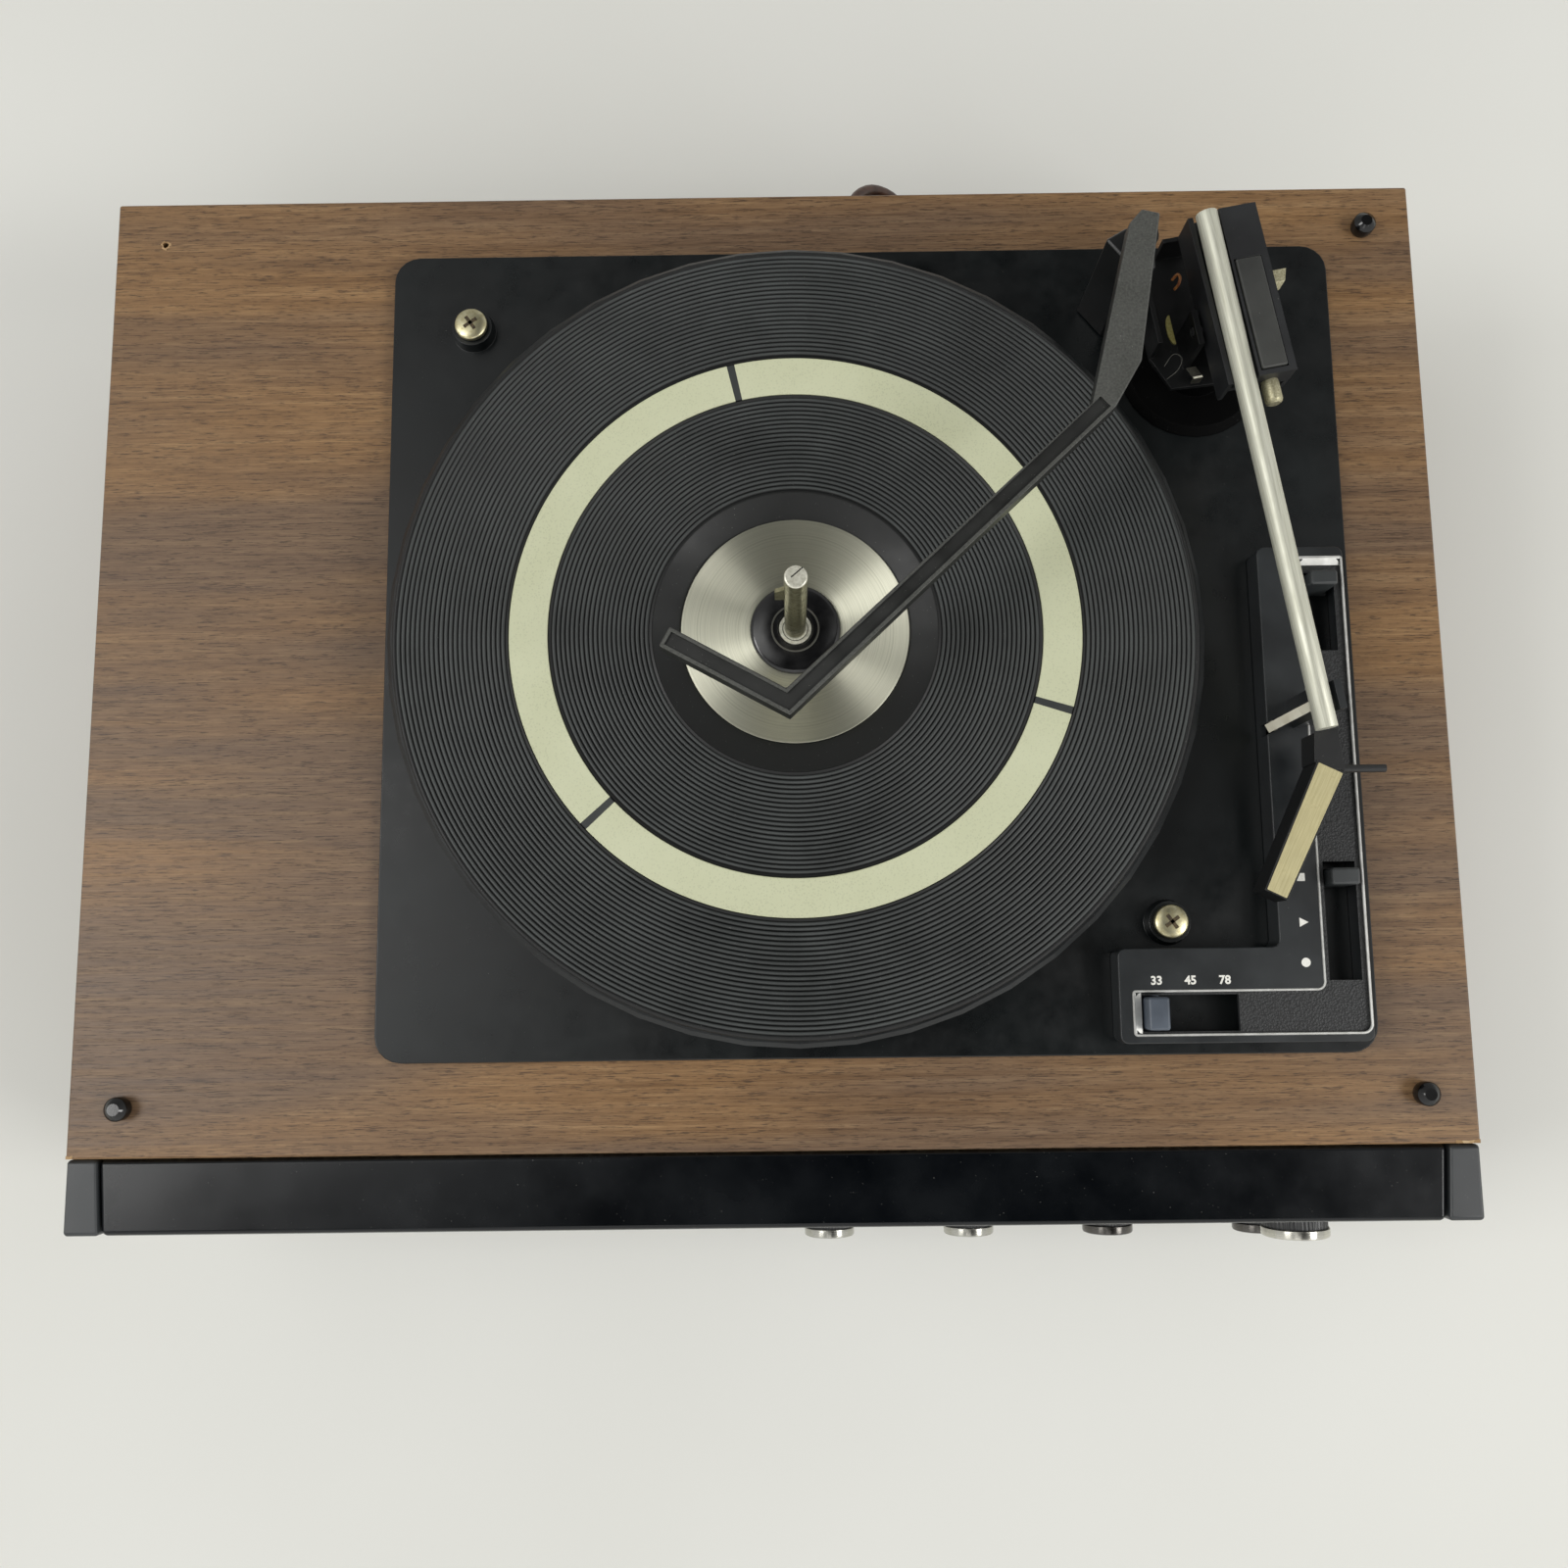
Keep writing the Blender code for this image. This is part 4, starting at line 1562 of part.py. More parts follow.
def strain_relief():
    """Tapered grommet that grips the back panel and steadies the lead."""
    y = PANEL_BACK_Y + GAP
    front = -PANEL_FRONT_Y + GAP
    step = (RELIEF_L - GAP - RELIEF_FLANGE) / RELIEF_RIBS
    tip = -y - RELIEF_L + GAP
    profile = [(0, front + RELIEF_FLANGE), (RELIEF_R, front + RELIEF_FLANGE), (RELIEF_R, front), (RELIEF_HOLE_R - GAP, front),
               (RELIEF_HOLE_R - GAP, -y), (RELIEF_R, -y), (RELIEF_R, -y - RELIEF_FLANGE)]
    for i in range(RELIEF_RIBS):
        share = (i + 1) / RELIEF_RIBS
        radius = RELIEF_R - (RELIEF_R - RELIEF_NECK_R) * share
        level = -y - RELIEF_FLANGE - step * i
        profile += [(radius, level - RELIEF_RIB_T / 2), (radius, level - step + RELIEF_RIB_T / 2)]
    profile += [(profile[-1][0], tip), (0, tip)]
    return turned("strain_relief", profile, BROWN, at=(LEAD_X, 0, LEAD_Z), sides=16, turn=ACROSS_Y)


def lead_route():
    """Straight out of the relief, over in an arch, down the back and round onto the floor."""
    points = [(LEAD_X, LEAD_Y, LEAD_Z), (LEAD_X, (LEAD_Y + LOOP_Y) / 2, LEAD_Z)]
    middle_x, middle_z = (LEAD_X + DROP_X) / 2, (LEAD_Z + DROP_Z) / 2
    arch = 9
    for i in range(arch + 1):
        turn = math.pi * i / arch
        reach = LOOP_R * math.cos(turn)
        points.append((middle_x - reach * math.cos(LOOP_TILT), LOOP_Y + LOOP_R * math.sin(turn),
                       middle_z + reach * math.sin(LOOP_TILT)))
    corner = 5
    for i in range(1, corner + 1):
        turn = math.pi / 2 * i / corner
        points.append((DROP_X, LOOP_Y - DROP_R * math.sin(turn), DROP_Z - DROP_R * (1 - math.cos(turn))))
    for i in range(corner + 1):
        turn = math.pi / 2 * i / corner
        points.append((DROP_X + FLOOR_R * (1 - math.cos(turn)), DROP_Y, FLOOR_Z + FLOOR_R * (1 - math.sin(turn))))
    return points


def mains_lead():
    """The free stretch of the lead, from the strain relief to the hank."""
    points = lead_route()
    points[-1] = (points[-1][0] - GAP, points[-1][1], points[-1][2])
    return tube("mains_lead", points, LEAD_R, BROWN)


def hank_points():
    """The hank's centre line: it spirals in on the floor, climbs along a run and spirals out on top."""
    half = HANK_RUN / 2
    middle = HANK_X + half
    per_turn = 2 * RUN_POINTS + 2 * FOLD_POINTS
    total = per_turn * (HANK_TURNS_DOWN + HANK_TURNS_UP) + RUN_POINTS
    points = []
    for i in range(total + 1):
        turns = i / per_turn
        down = HANK_TURNS_DOWN
        climb = min(max((turns - down) * per_turn / RUN_POINTS, 0), 1)
        radius = HANK_OUT - HANK_PITCH * min(turns, down) + HANK_PITCH * max(turns - down - RUN_POINTS / per_turn, 0)
        z = FLOOR_Z + HANK_LAYER * climb
        k = i % per_turn
        if k < RUN_POINTS:
            x, y = middle - half + HANK_RUN * k / RUN_POINTS, -radius
        elif k < RUN_POINTS + FOLD_POINTS:
            turn = math.pi * (k - RUN_POINTS) / FOLD_POINTS
            x, y = middle + half + radius * math.sin(turn), -radius * math.cos(turn)
        elif k < 2 * RUN_POINTS + FOLD_POINTS:
            x, y = middle + half - HANK_RUN * (k - RUN_POINTS - FOLD_POINTS) / RUN_POINTS, radius
        else:
            turn = math.pi * (k - 2 * RUN_POINTS - FOLD_POINTS) / FOLD_POINTS
            x, y = middle - half - radius * math.sin(turn), radius * math.cos(turn)
        points.append((x, HANK_Y + y, z))
    x, y, z = points[-1]
    reach = HANK_OUT + 2 * LEAD_R
    return points + [(x + reach * k / RUN_POINTS, y, z) for k in range(1, RUN_POINTS + 1)]


def least_gap(points, radius):
    """Smallest distance between stretches of a tube that are not next to each other, surface to surface."""
    fine = []
    for a, b in zip(points, points[1:]):
        fine += [Vector(a).lerp(Vector(b), k / 4) for k in range(4)]
    run = [0.0]
    for a, b in zip(fine, fine[1:]):
        run.append(run[-1] + (b - a).length)
    least = math.inf
    for i, a in enumerate(fine):
        for j in range(i + 1, len(fine)):
            if run[j] - run[i] > 8 * radius:
                least = min(least, (a - fine[j]).length)
    return least - 2 * radius


def mains_hank():
    """The put-away length of the lead, folded in two layers on the floor behind the cabinet."""
    points = hank_points()
    print("hank: least gap %.2f mm" % (least_gap(points, LEAD_R) / 0.001))
    return tube("mains_hank", points, LEAD_R, BROWN, resolution=1)


def mains_plug():
    """Two-blade plug on the hank's end."""
    x, y, z = hank_points()[-1]
    x += GAP
    body = box("mains_plug", (x, y - PLUG_W / 2, 0), (x + PLUG_L, y + PLUG_W / 2, PLUG_H), BROWN, soft=PLUG_H / 8)
    for side in (-1, 1):
        middle = y + side * PIN_BLADE_PITCH / 2
        join(body, box("blade", (x + PLUG_L - OVER, middle - PIN_BLADE_T / 2, z - PIN_BLADE_W / 2),
                       (x + PLUG_L + PIN_BLADE_L, middle + PIN_BLADE_T / 2, z + PIN_BLADE_W / 2)))
    return body


# Putting the set together, from the cabinet up to the arms

for make in (cabinet_shell, bottom_board, fascia_frame, control_panel, dial_window, dial_scale, dial_pointer,
             dial_drum, tuning_capacitor, chassis_tray, power_transformer, main_board, back_panel):
    smooth(make())
for bumper_name, bumper_spot in zip(("front_left", "front_right", "rear_right"), BUMPER_SPOTS):
    smooth(cover_bumper("cover_bumper_" + bumper_name, bumper_spot))
smooth(end_cap("end_cap_left", -1), end_cap("end_cap_right", 1))
for knob_name, knob_x in zip(("function_knob", "balance_knob", "tone_knob", "volume_knob"), KNOB_XS):
    smooth(knob(knob_name, knob_x, KNOB_Z, KNOB_R, KNOB_REACH))
smooth(knob("tuning_knob", TUNE_X, TUNE_Z, TUNE_R, TUNE_REACH))
for spring_name, spring_spot in zip(("rear_left", "front_right", "front_left", "rear_right"), SPRING_PLACES):
    suspension_spring("suspension_spring_" + spring_name, spring_spot)
for make in (unit_plate, platter, platter_mat, mat_ring, label_disc, hub_cap, spindle, spindle_pusher, motor,
             motor_pulley, idler_wheel, idler_bracket, cycle_gear, overarm_pedestal, overarm_post, overarm, arm_base,
             arm_turret, arm_block, counterweight, tonearm_tube, headshell, cartridge, stylus, console, rest_latch):
    smooth(make())
levers()
for make in (strain_relief, mains_lead, mains_hank, mains_plug):
    smooth(make())
print("parts:", sum(piece.type != "EMPTY" for piece in PARTS.objects))
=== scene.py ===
import math

import bmesh
import bpy
import numpy as np
from mathutils import Matrix, Vector


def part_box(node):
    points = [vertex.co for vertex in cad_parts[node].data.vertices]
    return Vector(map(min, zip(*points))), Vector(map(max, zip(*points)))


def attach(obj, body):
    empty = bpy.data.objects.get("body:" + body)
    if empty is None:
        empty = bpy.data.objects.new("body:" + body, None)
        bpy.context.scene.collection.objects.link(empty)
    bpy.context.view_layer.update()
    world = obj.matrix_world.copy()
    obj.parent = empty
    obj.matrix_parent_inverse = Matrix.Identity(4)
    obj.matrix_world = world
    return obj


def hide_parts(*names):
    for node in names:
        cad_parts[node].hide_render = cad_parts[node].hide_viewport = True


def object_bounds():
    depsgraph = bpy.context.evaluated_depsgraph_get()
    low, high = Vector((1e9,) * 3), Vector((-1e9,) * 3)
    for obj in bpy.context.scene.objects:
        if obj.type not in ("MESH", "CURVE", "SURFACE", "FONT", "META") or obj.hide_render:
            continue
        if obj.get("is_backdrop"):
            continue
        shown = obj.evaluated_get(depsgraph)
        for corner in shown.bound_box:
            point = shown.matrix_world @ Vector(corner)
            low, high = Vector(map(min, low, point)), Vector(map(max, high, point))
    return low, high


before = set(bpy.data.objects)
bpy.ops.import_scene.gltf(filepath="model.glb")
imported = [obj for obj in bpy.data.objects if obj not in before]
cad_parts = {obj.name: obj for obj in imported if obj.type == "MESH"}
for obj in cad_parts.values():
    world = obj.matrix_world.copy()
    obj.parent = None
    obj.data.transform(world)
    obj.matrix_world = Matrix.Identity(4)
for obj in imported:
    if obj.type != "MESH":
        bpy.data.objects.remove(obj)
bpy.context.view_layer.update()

scene = bpy.context.scene
scene.view_settings.view_transform = "Standard"

# Camera
# The photograph looks almost straight down from about 0.6 m, just behind the front edge, with the rear edge
# tipped slightly away. The lens and the place were solved from the outlines of the deck and the platter.
lens = bpy.data.cameras.new("camera")
lens.lens = 32.37
lens.sensor_width = 36
lens.sensor_fit = "HORIZONTAL"
camera = bpy.data.objects.new("camera", lens)
scene.collection.objects.link(camera)
tip, lean, twist = (math.radians(angle) for angle in (-7.937, -0.218, 0.725))
facing = Matrix.Rotation(twist, 3, "Z") @ Matrix.Rotation(lean, 3, "Y") @ Matrix.Rotation(tip, 3, "X")
camera.matrix_world = Matrix.Translation((0.0074, -0.09334, 0.60826)) @ facing.transposed().to_4x4()
scene.camera = camera


# Floor and light
# A matt painted board in pale grey. Overhead the room is brightest high at the left, nearly black straight
# above and dim again at the right, so that black plastic shows a haze at the left and stays deep elsewhere.
# Low down it is brighter in front than behind. Soft boxes at both sides draw the streaks on the tube and
# the turned metal, and a faint one in front lifts the fascia.
def linear(code):
    """sRGB hex to linear RGBA: v / 12.92 below 0.04045, otherwise ((v + 0.055) / 1.055) to the power 2.4."""
    shares = [int(code[i:i + 2], 16) / 255 for i in (1, 3, 5)]
    return tuple(v / 12.92 if v <= 0.04045 else ((v + 0.055) / 1.055) ** 2.4 for v in shares) + (1.0,)


def full_turn(steps):
    """Even angles round a circle."""
    return np.linspace(0, 2 * math.pi, steps, endpoint=False)


def unit(vectors):
    """Each vector over its own length."""
    return vectors / np.linalg.norm(vectors, axis=-1, keepdims=True)


def add(tree, kind, inputs=None, **settings):
    """Adds a shader node. Settings are its attributes. Inputs are values, sockets or nodes to link."""
    node = tree.nodes.new("ShaderNode" + kind)
    for name, value in settings.items():
        setattr(node, name, value)
    for name, value in (inputs or {}).items():
        if isinstance(value, bpy.types.Node):
            value = next(socket for socket in value.outputs if socket.enabled)
        if isinstance(value, bpy.types.NodeSocket):
            tree.links.new(value, node.inputs[name])
        else:
            node.inputs[name].default_value = value
    return node


def finish(name, colour, roughness, metallic=0.0, mottle=None, **sockets):
    """A new material, its node tree and its shader, with the values that are the same all over it. A mottle
    is a noise's size_mm and detail, and the stops of its colours."""
    made = bpy.data.materials.new(name)
    made.use_nodes = True
    made.diffuse_color = linear(colour)
    shader = made.node_tree.nodes["Principled BSDF"]
    values = {"Base Color": linear(colour), "Roughness": roughness, "Metallic": metallic}
    values.update({name.replace("_", " "): value for name, value in sockets.items()})
    for name, value in values.items():
        shader.inputs[name].default_value = value
    if mottle:
        size_mm, detail, *stops = mottle
        paint(made.node_tree, shader, grain(made.node_tree, size_mm, detail), *stops)
    return made, made.node_tree, shader


def mottled(name, colour, roughness, *mottle, metallic=0.0):
    """A new material of which only the colour varies: the mottle is given as in finish."""
    return finish(name, colour, roughness, metallic, mottle)[0]


def ramp(tree, source, *stops):
    """Maps a value to colours: stops are (place, hex colour or grey level)."""
    node = add(tree, "ValToRGB", {"Fac": source})
    points = node.color_ramp.elements
    for i, (place, tone) in enumerate(stops):
        point = points[i] if i < 2 else points.new(place)
        point.position = place
        point.color = linear(tone) if isinstance(tone, str) else (tone, tone, tone, 1)
    return node


def paint(tree, shader, value, *stops, into="Base Color"):
    """Drives one of the shader's sockets by a value, through a ramp if stops are given."""
    value = ramp(tree, value, *stops) if stops else value
    tree.links.new(next(socket for socket in value.outputs if socket.enabled), shader.inputs[into])


def blend(tree, share, under, over):
    """The first colour, covered by the second, a hex colour or a node, as far as the share says."""
    over = linear(over) if isinstance(over, str) else over
    return add(tree, "Mix", {0: share, 6: under, 7: over}, data_type="RGBA")


def times(tree, one, other):
    """The product of two values."""
    return add(tree, "Math", {0: one, 1: other}, operation="MULTIPLY")


def here(tree):
    """The piece's Object coordinates, in metres."""
    return add(tree, "TexCoord").outputs["Object"]


def grain(tree, size_mm, detail=2.0, stretch=(1, 1, 1), roughness=0.5, offset=(0, 0, 0), turn=0.0):
    """Noise on Object coordinates whose cells are about size_mm wide, stretched along an axis by its factor.
    The axes may first be turned about Z, so that the pattern follows a piece that lies askew."""
    place = here(tree)
    if turn:
        place = add(tree, "VectorRotate", {"Vector": place, "Angle": -turn}, rotation_type="Z_AXIS")
    scale = tuple(1000 / size_mm / s for s in stretch)
    moved = add(tree, "Mapping", {"Vector": place, "Scale": scale, "Location": offset})
    return add(tree, "TexNoise", {"Vector": moved, "Scale": 1.0, "Detail": detail, "Roughness": roughness})


def relief(tree, shader, height, depth_mm, strength=1.0, under=None):
    """Bump of a real depth: the height, 0 to 1, times depth_mm."""
    inputs = {"Height": height, "Distance": depth_mm / 1000, "Strength": strength}
    if under:
        inputs["Normal"] = under
    bump = add(tree, "Bump", inputs)
    tree.links.new(bump.outputs["Normal"], shader.inputs["Normal"])
    return bump


# Matt wall paint on board, rolled on: a faint stipple and slow drifts of tone.
floor_paint, tree, shader = finish("matt_painted_board", "#e6e6e1", 0.85, Specular_IOR_Level=0.3)
paint(tree, shader, grain(tree, 420, 3), (0.3, "#e2e2dc"), (0.7, "#eaeae5"))
relief(tree, shader, grain(tree, 1.1, 2), 0.02, 0.5)

floor_mesh = bpy.data.meshes.new("floor")
floor_mesh.from_pydata([(-3, -3, 0), (3, -3, 0), (3, 3, 0), (-3, 3, 0)], [], [(0, 1, 2, 3)])
floor_mesh.materials.append(floor_paint)
floor = bpy.data.objects.new("floor", floor_mesh)
scene.collection.objects.link(floor)
floor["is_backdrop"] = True

world = bpy.data.worlds.new("room")
scene.world = world
world.use_nodes = True
tree = world.node_tree
direction = add(tree, "TexCoord").outputs["Generated"]
split = add(tree, "SeparateXYZ", {0: direction})
across = add(tree, "MapRange", {"Value": split.outputs["X"], "From Min": -0.5, "From Max": 0.5})
overhead = ramp(tree, across, (0.0, 0.90), (1.0, 0.42), (0.12, 0.80), (0.22, 0.90), (0.31, 0.36),
                (0.38, 0.01), (0.75, 0.01), (0.95, 0.36))
deep = add(tree, "MapRange", {"Value": split.outputs["Y"], "From Min": -0.2, "From Max": 0.6})
nearer = ramp(tree, deep, (0.0, 0.14), (1.0, 0.16), (0.10, 0.20), (0.25, 0.80), (0.45, 1.0), (0.62, 0.55),
              (0.75, 0.24))
shaped = times(tree, overhead, nearer)
above = times(tree, shaped, 2.8)
around = add(tree, "MapRange", {"Value": split.outputs["Y"], "From Min": -0.8, "From Max": 0.8,
                                "To Min": 0.98, "To Max": 0.44})
height = add(tree, "MapRange", {"Value": split.outputs["Z"], "From Min": 0.58, "From Max": 0.84},
             interpolation_type="SMOOTHSTEP")
level = add(tree, "Mix", {0: height, 2: around, 3: above}, data_type="FLOAT")
background = tree.nodes["Background"]
background.inputs["Color"].default_value = linear("#fcfcfa")
tree.links.new(level.outputs[0], background.inputs["Strength"])

BOX_SIZE = 0.70
BOX_COLOUR = (1.0, 0.99, 0.975)
BOX_TARGET = Vector((0, 0, 0.1))
soft_boxes = (("soft_box_left", 10.0, (-1.30, -0.16, 1.62)),
              ("soft_box_right", 14.0, (1.45, -0.60, 1.45)),
              ("soft_box_front", 2.0, (-0.10, -1.35, 1.75)))
for name, watts, place in soft_boxes:
    soft_box = bpy.data.lights.new(name, "AREA")
    soft_box.shape = "SQUARE"
    soft_box.size = BOX_SIZE
    soft_box.energy = watts
    soft_box.color = BOX_COLOUR
    lamp = bpy.data.objects.new(name, soft_box)
    facing = (BOX_TARGET - Vector(place)).to_track_quat("-Z", "Y").to_matrix().to_4x4()
    lamp.matrix_world = Matrix.Translation(place) @ facing
    scene.collection.objects.link(lamp)


# Mains lead
# Round two-core lead in brown vinyl, 4.5 mm thick. It arches over behind the rear edge, drops to the floor
# and is put away there as a folded hank: three flat turns, two more on top, and a paper-covered tie round
# them.
LEAD_R = 0.00225
EXIT = np.array([0.0345, 0.2023, 0.0743])
FLOOR_Z = 0.002325
LOOP_R = 0.020
LOOP_TILT = math.radians(40)
LOOP_Y = EXIT[1] + 0.008
DROP_R = 0.016
FLOOR_R = 0.018
DROP_X = EXIT[0] + 2 * LOOP_R * math.cos(LOOP_TILT)
DROP_Z = EXIT[2] - 2 * LOOP_R * math.sin(LOOP_TILT)
DROP = np.array([DROP_X, LOOP_Y - DROP_R, DROP_Z])
HANK_RUN = 0.090
HANK_IN = 0.0135
HANK_PITCH = 0.0051
HANK_OUT = HANK_IN + 3 * HANK_PITCH
HANK_X = DROP[0] + FLOOR_R + HANK_RUN / 2
HANK_Y = DROP[1] + HANK_OUT


def lead_points():
    """Half a circle tipped by LOOP_TILT, a quarter circle back to the panel, and one more on to the floor."""
    over = np.linspace(0, math.pi, 19)
    reach = LOOP_R * np.cos(over)
    middle_x = (EXIT[0] + DROP[0]) / 2
    middle_z = (EXIT[2] + DROP[2]) / 2
    arch = np.stack((middle_x - reach * math.cos(LOOP_TILT), LOOP_Y + LOOP_R * np.sin(over),
                     middle_z + reach * math.sin(LOOP_TILT)), axis=1)
    down = np.linspace(0, math.pi / 2, 9)[1:]
    back = np.stack((np.full(8, DROP[0]), LOOP_Y - DROP_R * np.sin(down),
                     DROP[2] - DROP_R * (1 - np.cos(down))), axis=1)
    out = np.linspace(0, math.pi / 2, 9)
    foot = np.stack((DROP[0] + FLOOR_R * (1 - np.cos(out)), np.full(9, DROP[1]),
                     FLOOR_Z + FLOOR_R * (1 - np.sin(out))), axis=1)
    return np.vstack((EXIT, (EXIT + arch[0]) / 2, arch, back, foot[:-1]))


def hank_points():
    """Runs joined by half circles; the radius shrinks by a pitch each turn, then grows again one layer up."""
    legs = ((0, 2, 4), (2, 8, 14), (8, 10, 4), (10, 16, 14))
    round_once = np.concatenate([np.linspace(*leg, endpoint=False) for leg in legs])
    step = np.concatenate(((round_once + 16 * np.arange(5)[:, None]).ravel(), [80, 81, 82]))
    turns = step / 16
    k = np.where(step >= 80, step - 80, step % 16)
    climb = np.clip((turns - 3) * 8, 0, 1)
    radius = HANK_OUT - HANK_PITCH * np.minimum(turns, 3) + HANK_PITCH * np.maximum(turns - 3 - 1 / 8, 0)
    half = HANK_RUN / 2
    ahead = math.pi * (k - 2) / 6
    behind = math.pi * (k - 10) / 6
    parts = [k < 2, k < 8, k < 10]
    x = np.select(parts, [k * half - half, half + radius * np.sin(ahead), half - (k - 8) * half],
                  -half - radius * np.sin(behind))
    y = np.select(parts, [-radius, -radius * np.cos(ahead), radius], radius * np.cos(behind))
    points = np.stack((HANK_X + x, HANK_Y + y, FLOOR_Z + HANK_PITCH * climb), axis=1)
    end = points[-1] + np.outer((1, 2), ((HANK_OUT + 2 * LEAD_R) / 2, 0, 0))
    return np.vstack((points, end))


# Soft PVC, extruded: an even satin skin with a slight mottle and dust in it.
lead_vinyl, tree, shader = finish("brown_pvc_lead", "#4a3126", 0.42, IOR=1.53, Coat_Weight=0.1)
paint(tree, shader, grain(tree, 3.0, 3), (0.3, "#3f291f"), (0.7, "#573b2d"))
relief(tree, shader, grain(tree, 0.6, 2), 0.02, 0.6)

lead_line = np.vstack((lead_points(), hank_points()))
lead_curve = bpy.data.curves.new("lead", "CURVE")
lead_curve.dimensions = "3D"
lead_curve.bevel_depth = LEAD_R
lead_curve.bevel_resolution = 4
lead_curve.use_fill_caps = True
spline = lead_curve.splines.new("POLY")
spline.points.add(len(lead_line) - 1)
spline.points.foreach_set("co", np.hstack((lead_line, np.ones((len(lead_line), 1)))).ravel())
spline.use_smooth = True
lead_curve.materials.append(lead_vinyl)
lead = bpy.data.objects.new("lead", lead_curve)
scene.collection.objects.link(lead)


def surface(name, grids, body, material, wrap_rows=False, sharp=35):
    """One mesh of one or more like grids of points. Each cell is a quad, the last column joins the first, and
    so do the rows if they wrap. A row of equal points merges into a pole."""
    grids = np.asarray(grids, dtype=float)
    grids = grids.reshape(-1, *grids.shape[-3:])
    copies, rows, columns = grids.shape[:3]
    index = np.arange(rows * columns).reshape(rows, columns)
    index = np.hstack((index, index[:, :1]))
    if wrap_rows:
        index = np.vstack((index, index[:1]))
    quads = np.stack((index[:-1, :-1], index[1:, :-1], index[1:, 1:], index[:-1, 1:]), axis=-1).reshape(-1, 4)
    quads = (quads + rows * columns * np.arange(copies)[:, None, None]).reshape(-1, 4)
    mesh = bpy.data.meshes.new(name)
    mesh.from_pydata(grids.reshape(-1, 3), [], quads)
    return settle(name, mesh, body, material, sharp)


def settle(name, mesh, body, material, sharp=35, merge=1e-6):
    """Merges doubles, turns the faces outwards, shades smooth up to an angle, and makes the piece ride."""
    build = bmesh.new()
    build.from_mesh(mesh)
    bmesh.ops.remove_doubles(build, verts=build.verts, dist=merge)
    bmesh.ops.dissolve_degenerate(build, edges=build.edges, dist=merge)
    bmesh.ops.recalc_face_normals(build, faces=build.faces)
    build.to_mesh(mesh)
    build.free()
    mesh.shade_smooth()
    mesh.set_sharp_from_angle(angle=math.radians(sharp))
    mesh.materials.append(material)
    piece = bpy.data.objects.new(name, mesh)
    scene.collection.objects.link(piece)
    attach(piece, body)
    return piece


# Tie: a flat paper-covered ribbon, once round the middle of the bundles.
tie_paper = mottled("black_paper_tie", "#1c1c1b", 0.6, 0.5, 2, (0.3, "#151514"), (0.7, "#2b2a28"))
round_tie = full_turn(48)
tie_half = np.array([HANK_OUT + LEAD_R + 0.0004, LEAD_R + HANK_PITCH / 2 + 0.0004])
tie_z = FLOOR_Z + HANK_PITCH / 2
power = 0.35
loop_y = HANK_Y + tie_half[0] * np.sign(np.cos(round_tie)) * np.abs(np.cos(round_tie)) ** power
loop_z = np.maximum(tie_z + tie_half[1] * np.sign(np.sin(round_tie)) * np.abs(np.sin(round_tie)) ** power,
                    0.00006)
inner = np.stack((loop_y, loop_z), axis=1)
outer = inner + 0.0005 * unit(inner - (HANK_Y, tie_z))
outer[:, 1] = np.maximum(outer[:, 1], 0.00002)
tie_loops = ((-0.002, inner), (-0.002, outer), (0.002, outer), (0.002, inner))
tie_rows = [np.column_stack((np.full(48, HANK_X + dx), loop)) for dx, loop in tie_loops]
tie = surface("lead_tie", tie_rows, "base", tie_paper, wrap_rows=True)


def eased(node, width, material, body="base", segments=2, sharp=30, outer_only=False):
    """A copy of a CAD node with its triangles joined into flat faces and its edges rounded to a width in
    metres. The copy stands for the node. With outer_only, inside corners stay sharp, so that a slot keeps its
    room."""
    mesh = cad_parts[node].data.copy()
    mesh.materials.clear()
    build = bmesh.new()
    build.from_mesh(mesh)
    bmesh.ops.remove_doubles(build, verts=build.verts, dist=2e-6)
    bmesh.ops.dissolve_degenerate(build, edges=build.edges, dist=1e-6)
    bmesh.ops.dissolve_limit(build, angle_limit=math.radians(0.6), verts=build.verts, edges=build.edges)
    turned_out = [float(edge.is_convex and edge.calc_face_angle(0) > math.radians(sharp))
                  for edge in build.edges]
    build.to_mesh(mesh)
    build.free()
    mesh.shade_smooth()
    mesh.set_sharp_from_angle(angle=math.radians(sharp))
    for one in material if isinstance(material, (list, tuple)) else [material]:
        mesh.materials.append(one)
    piece = bpy.data.objects.new(node + "_finish", mesh)
    scene.collection.objects.link(piece)
    if width:
        bevel = piece.modifiers.new("Bevel", "BEVEL")
        bevel.width = width
        bevel.segments = segments
        bevel.limit_method = "WEIGHT" if outer_only else "ANGLE"
        if outer_only:
            mesh.attributes.new("bevel_weight_edge", "FLOAT", "EDGE").data.foreach_set("value", turned_out)
        bevel.angle_limit = math.radians(sharp)
        bevel.use_clamp_overlap = True
        bevel.miter_outer = "MITER_ARC"
    flatten = piece.modifiers.new("Weighted Normal", "WEIGHTED_NORMAL")
    flatten.weight = 100
    flatten.keep_sharp = True
    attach(piece, body)
    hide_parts(node)
    return piece


def per_face(piece, what):
    """Each face's centre or normal."""
    values = np.zeros(len(piece.data.polygons) * 3)
    piece.data.polygons.foreach_get(what, values)
    return values.reshape(-1, 3)


def second_look(piece, chosen):
    """Gives the chosen faces the second of the piece's two materials, and the others the first."""
    piece.data.polygons.foreach_set("material_index", chosen.astype(np.int32))


def dress(material, *nodes):
    """Gives CAD nodes a material."""
    for node in nodes:
        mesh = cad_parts[node].data
        mesh.materials.clear()
        mesh.materials.append(material)


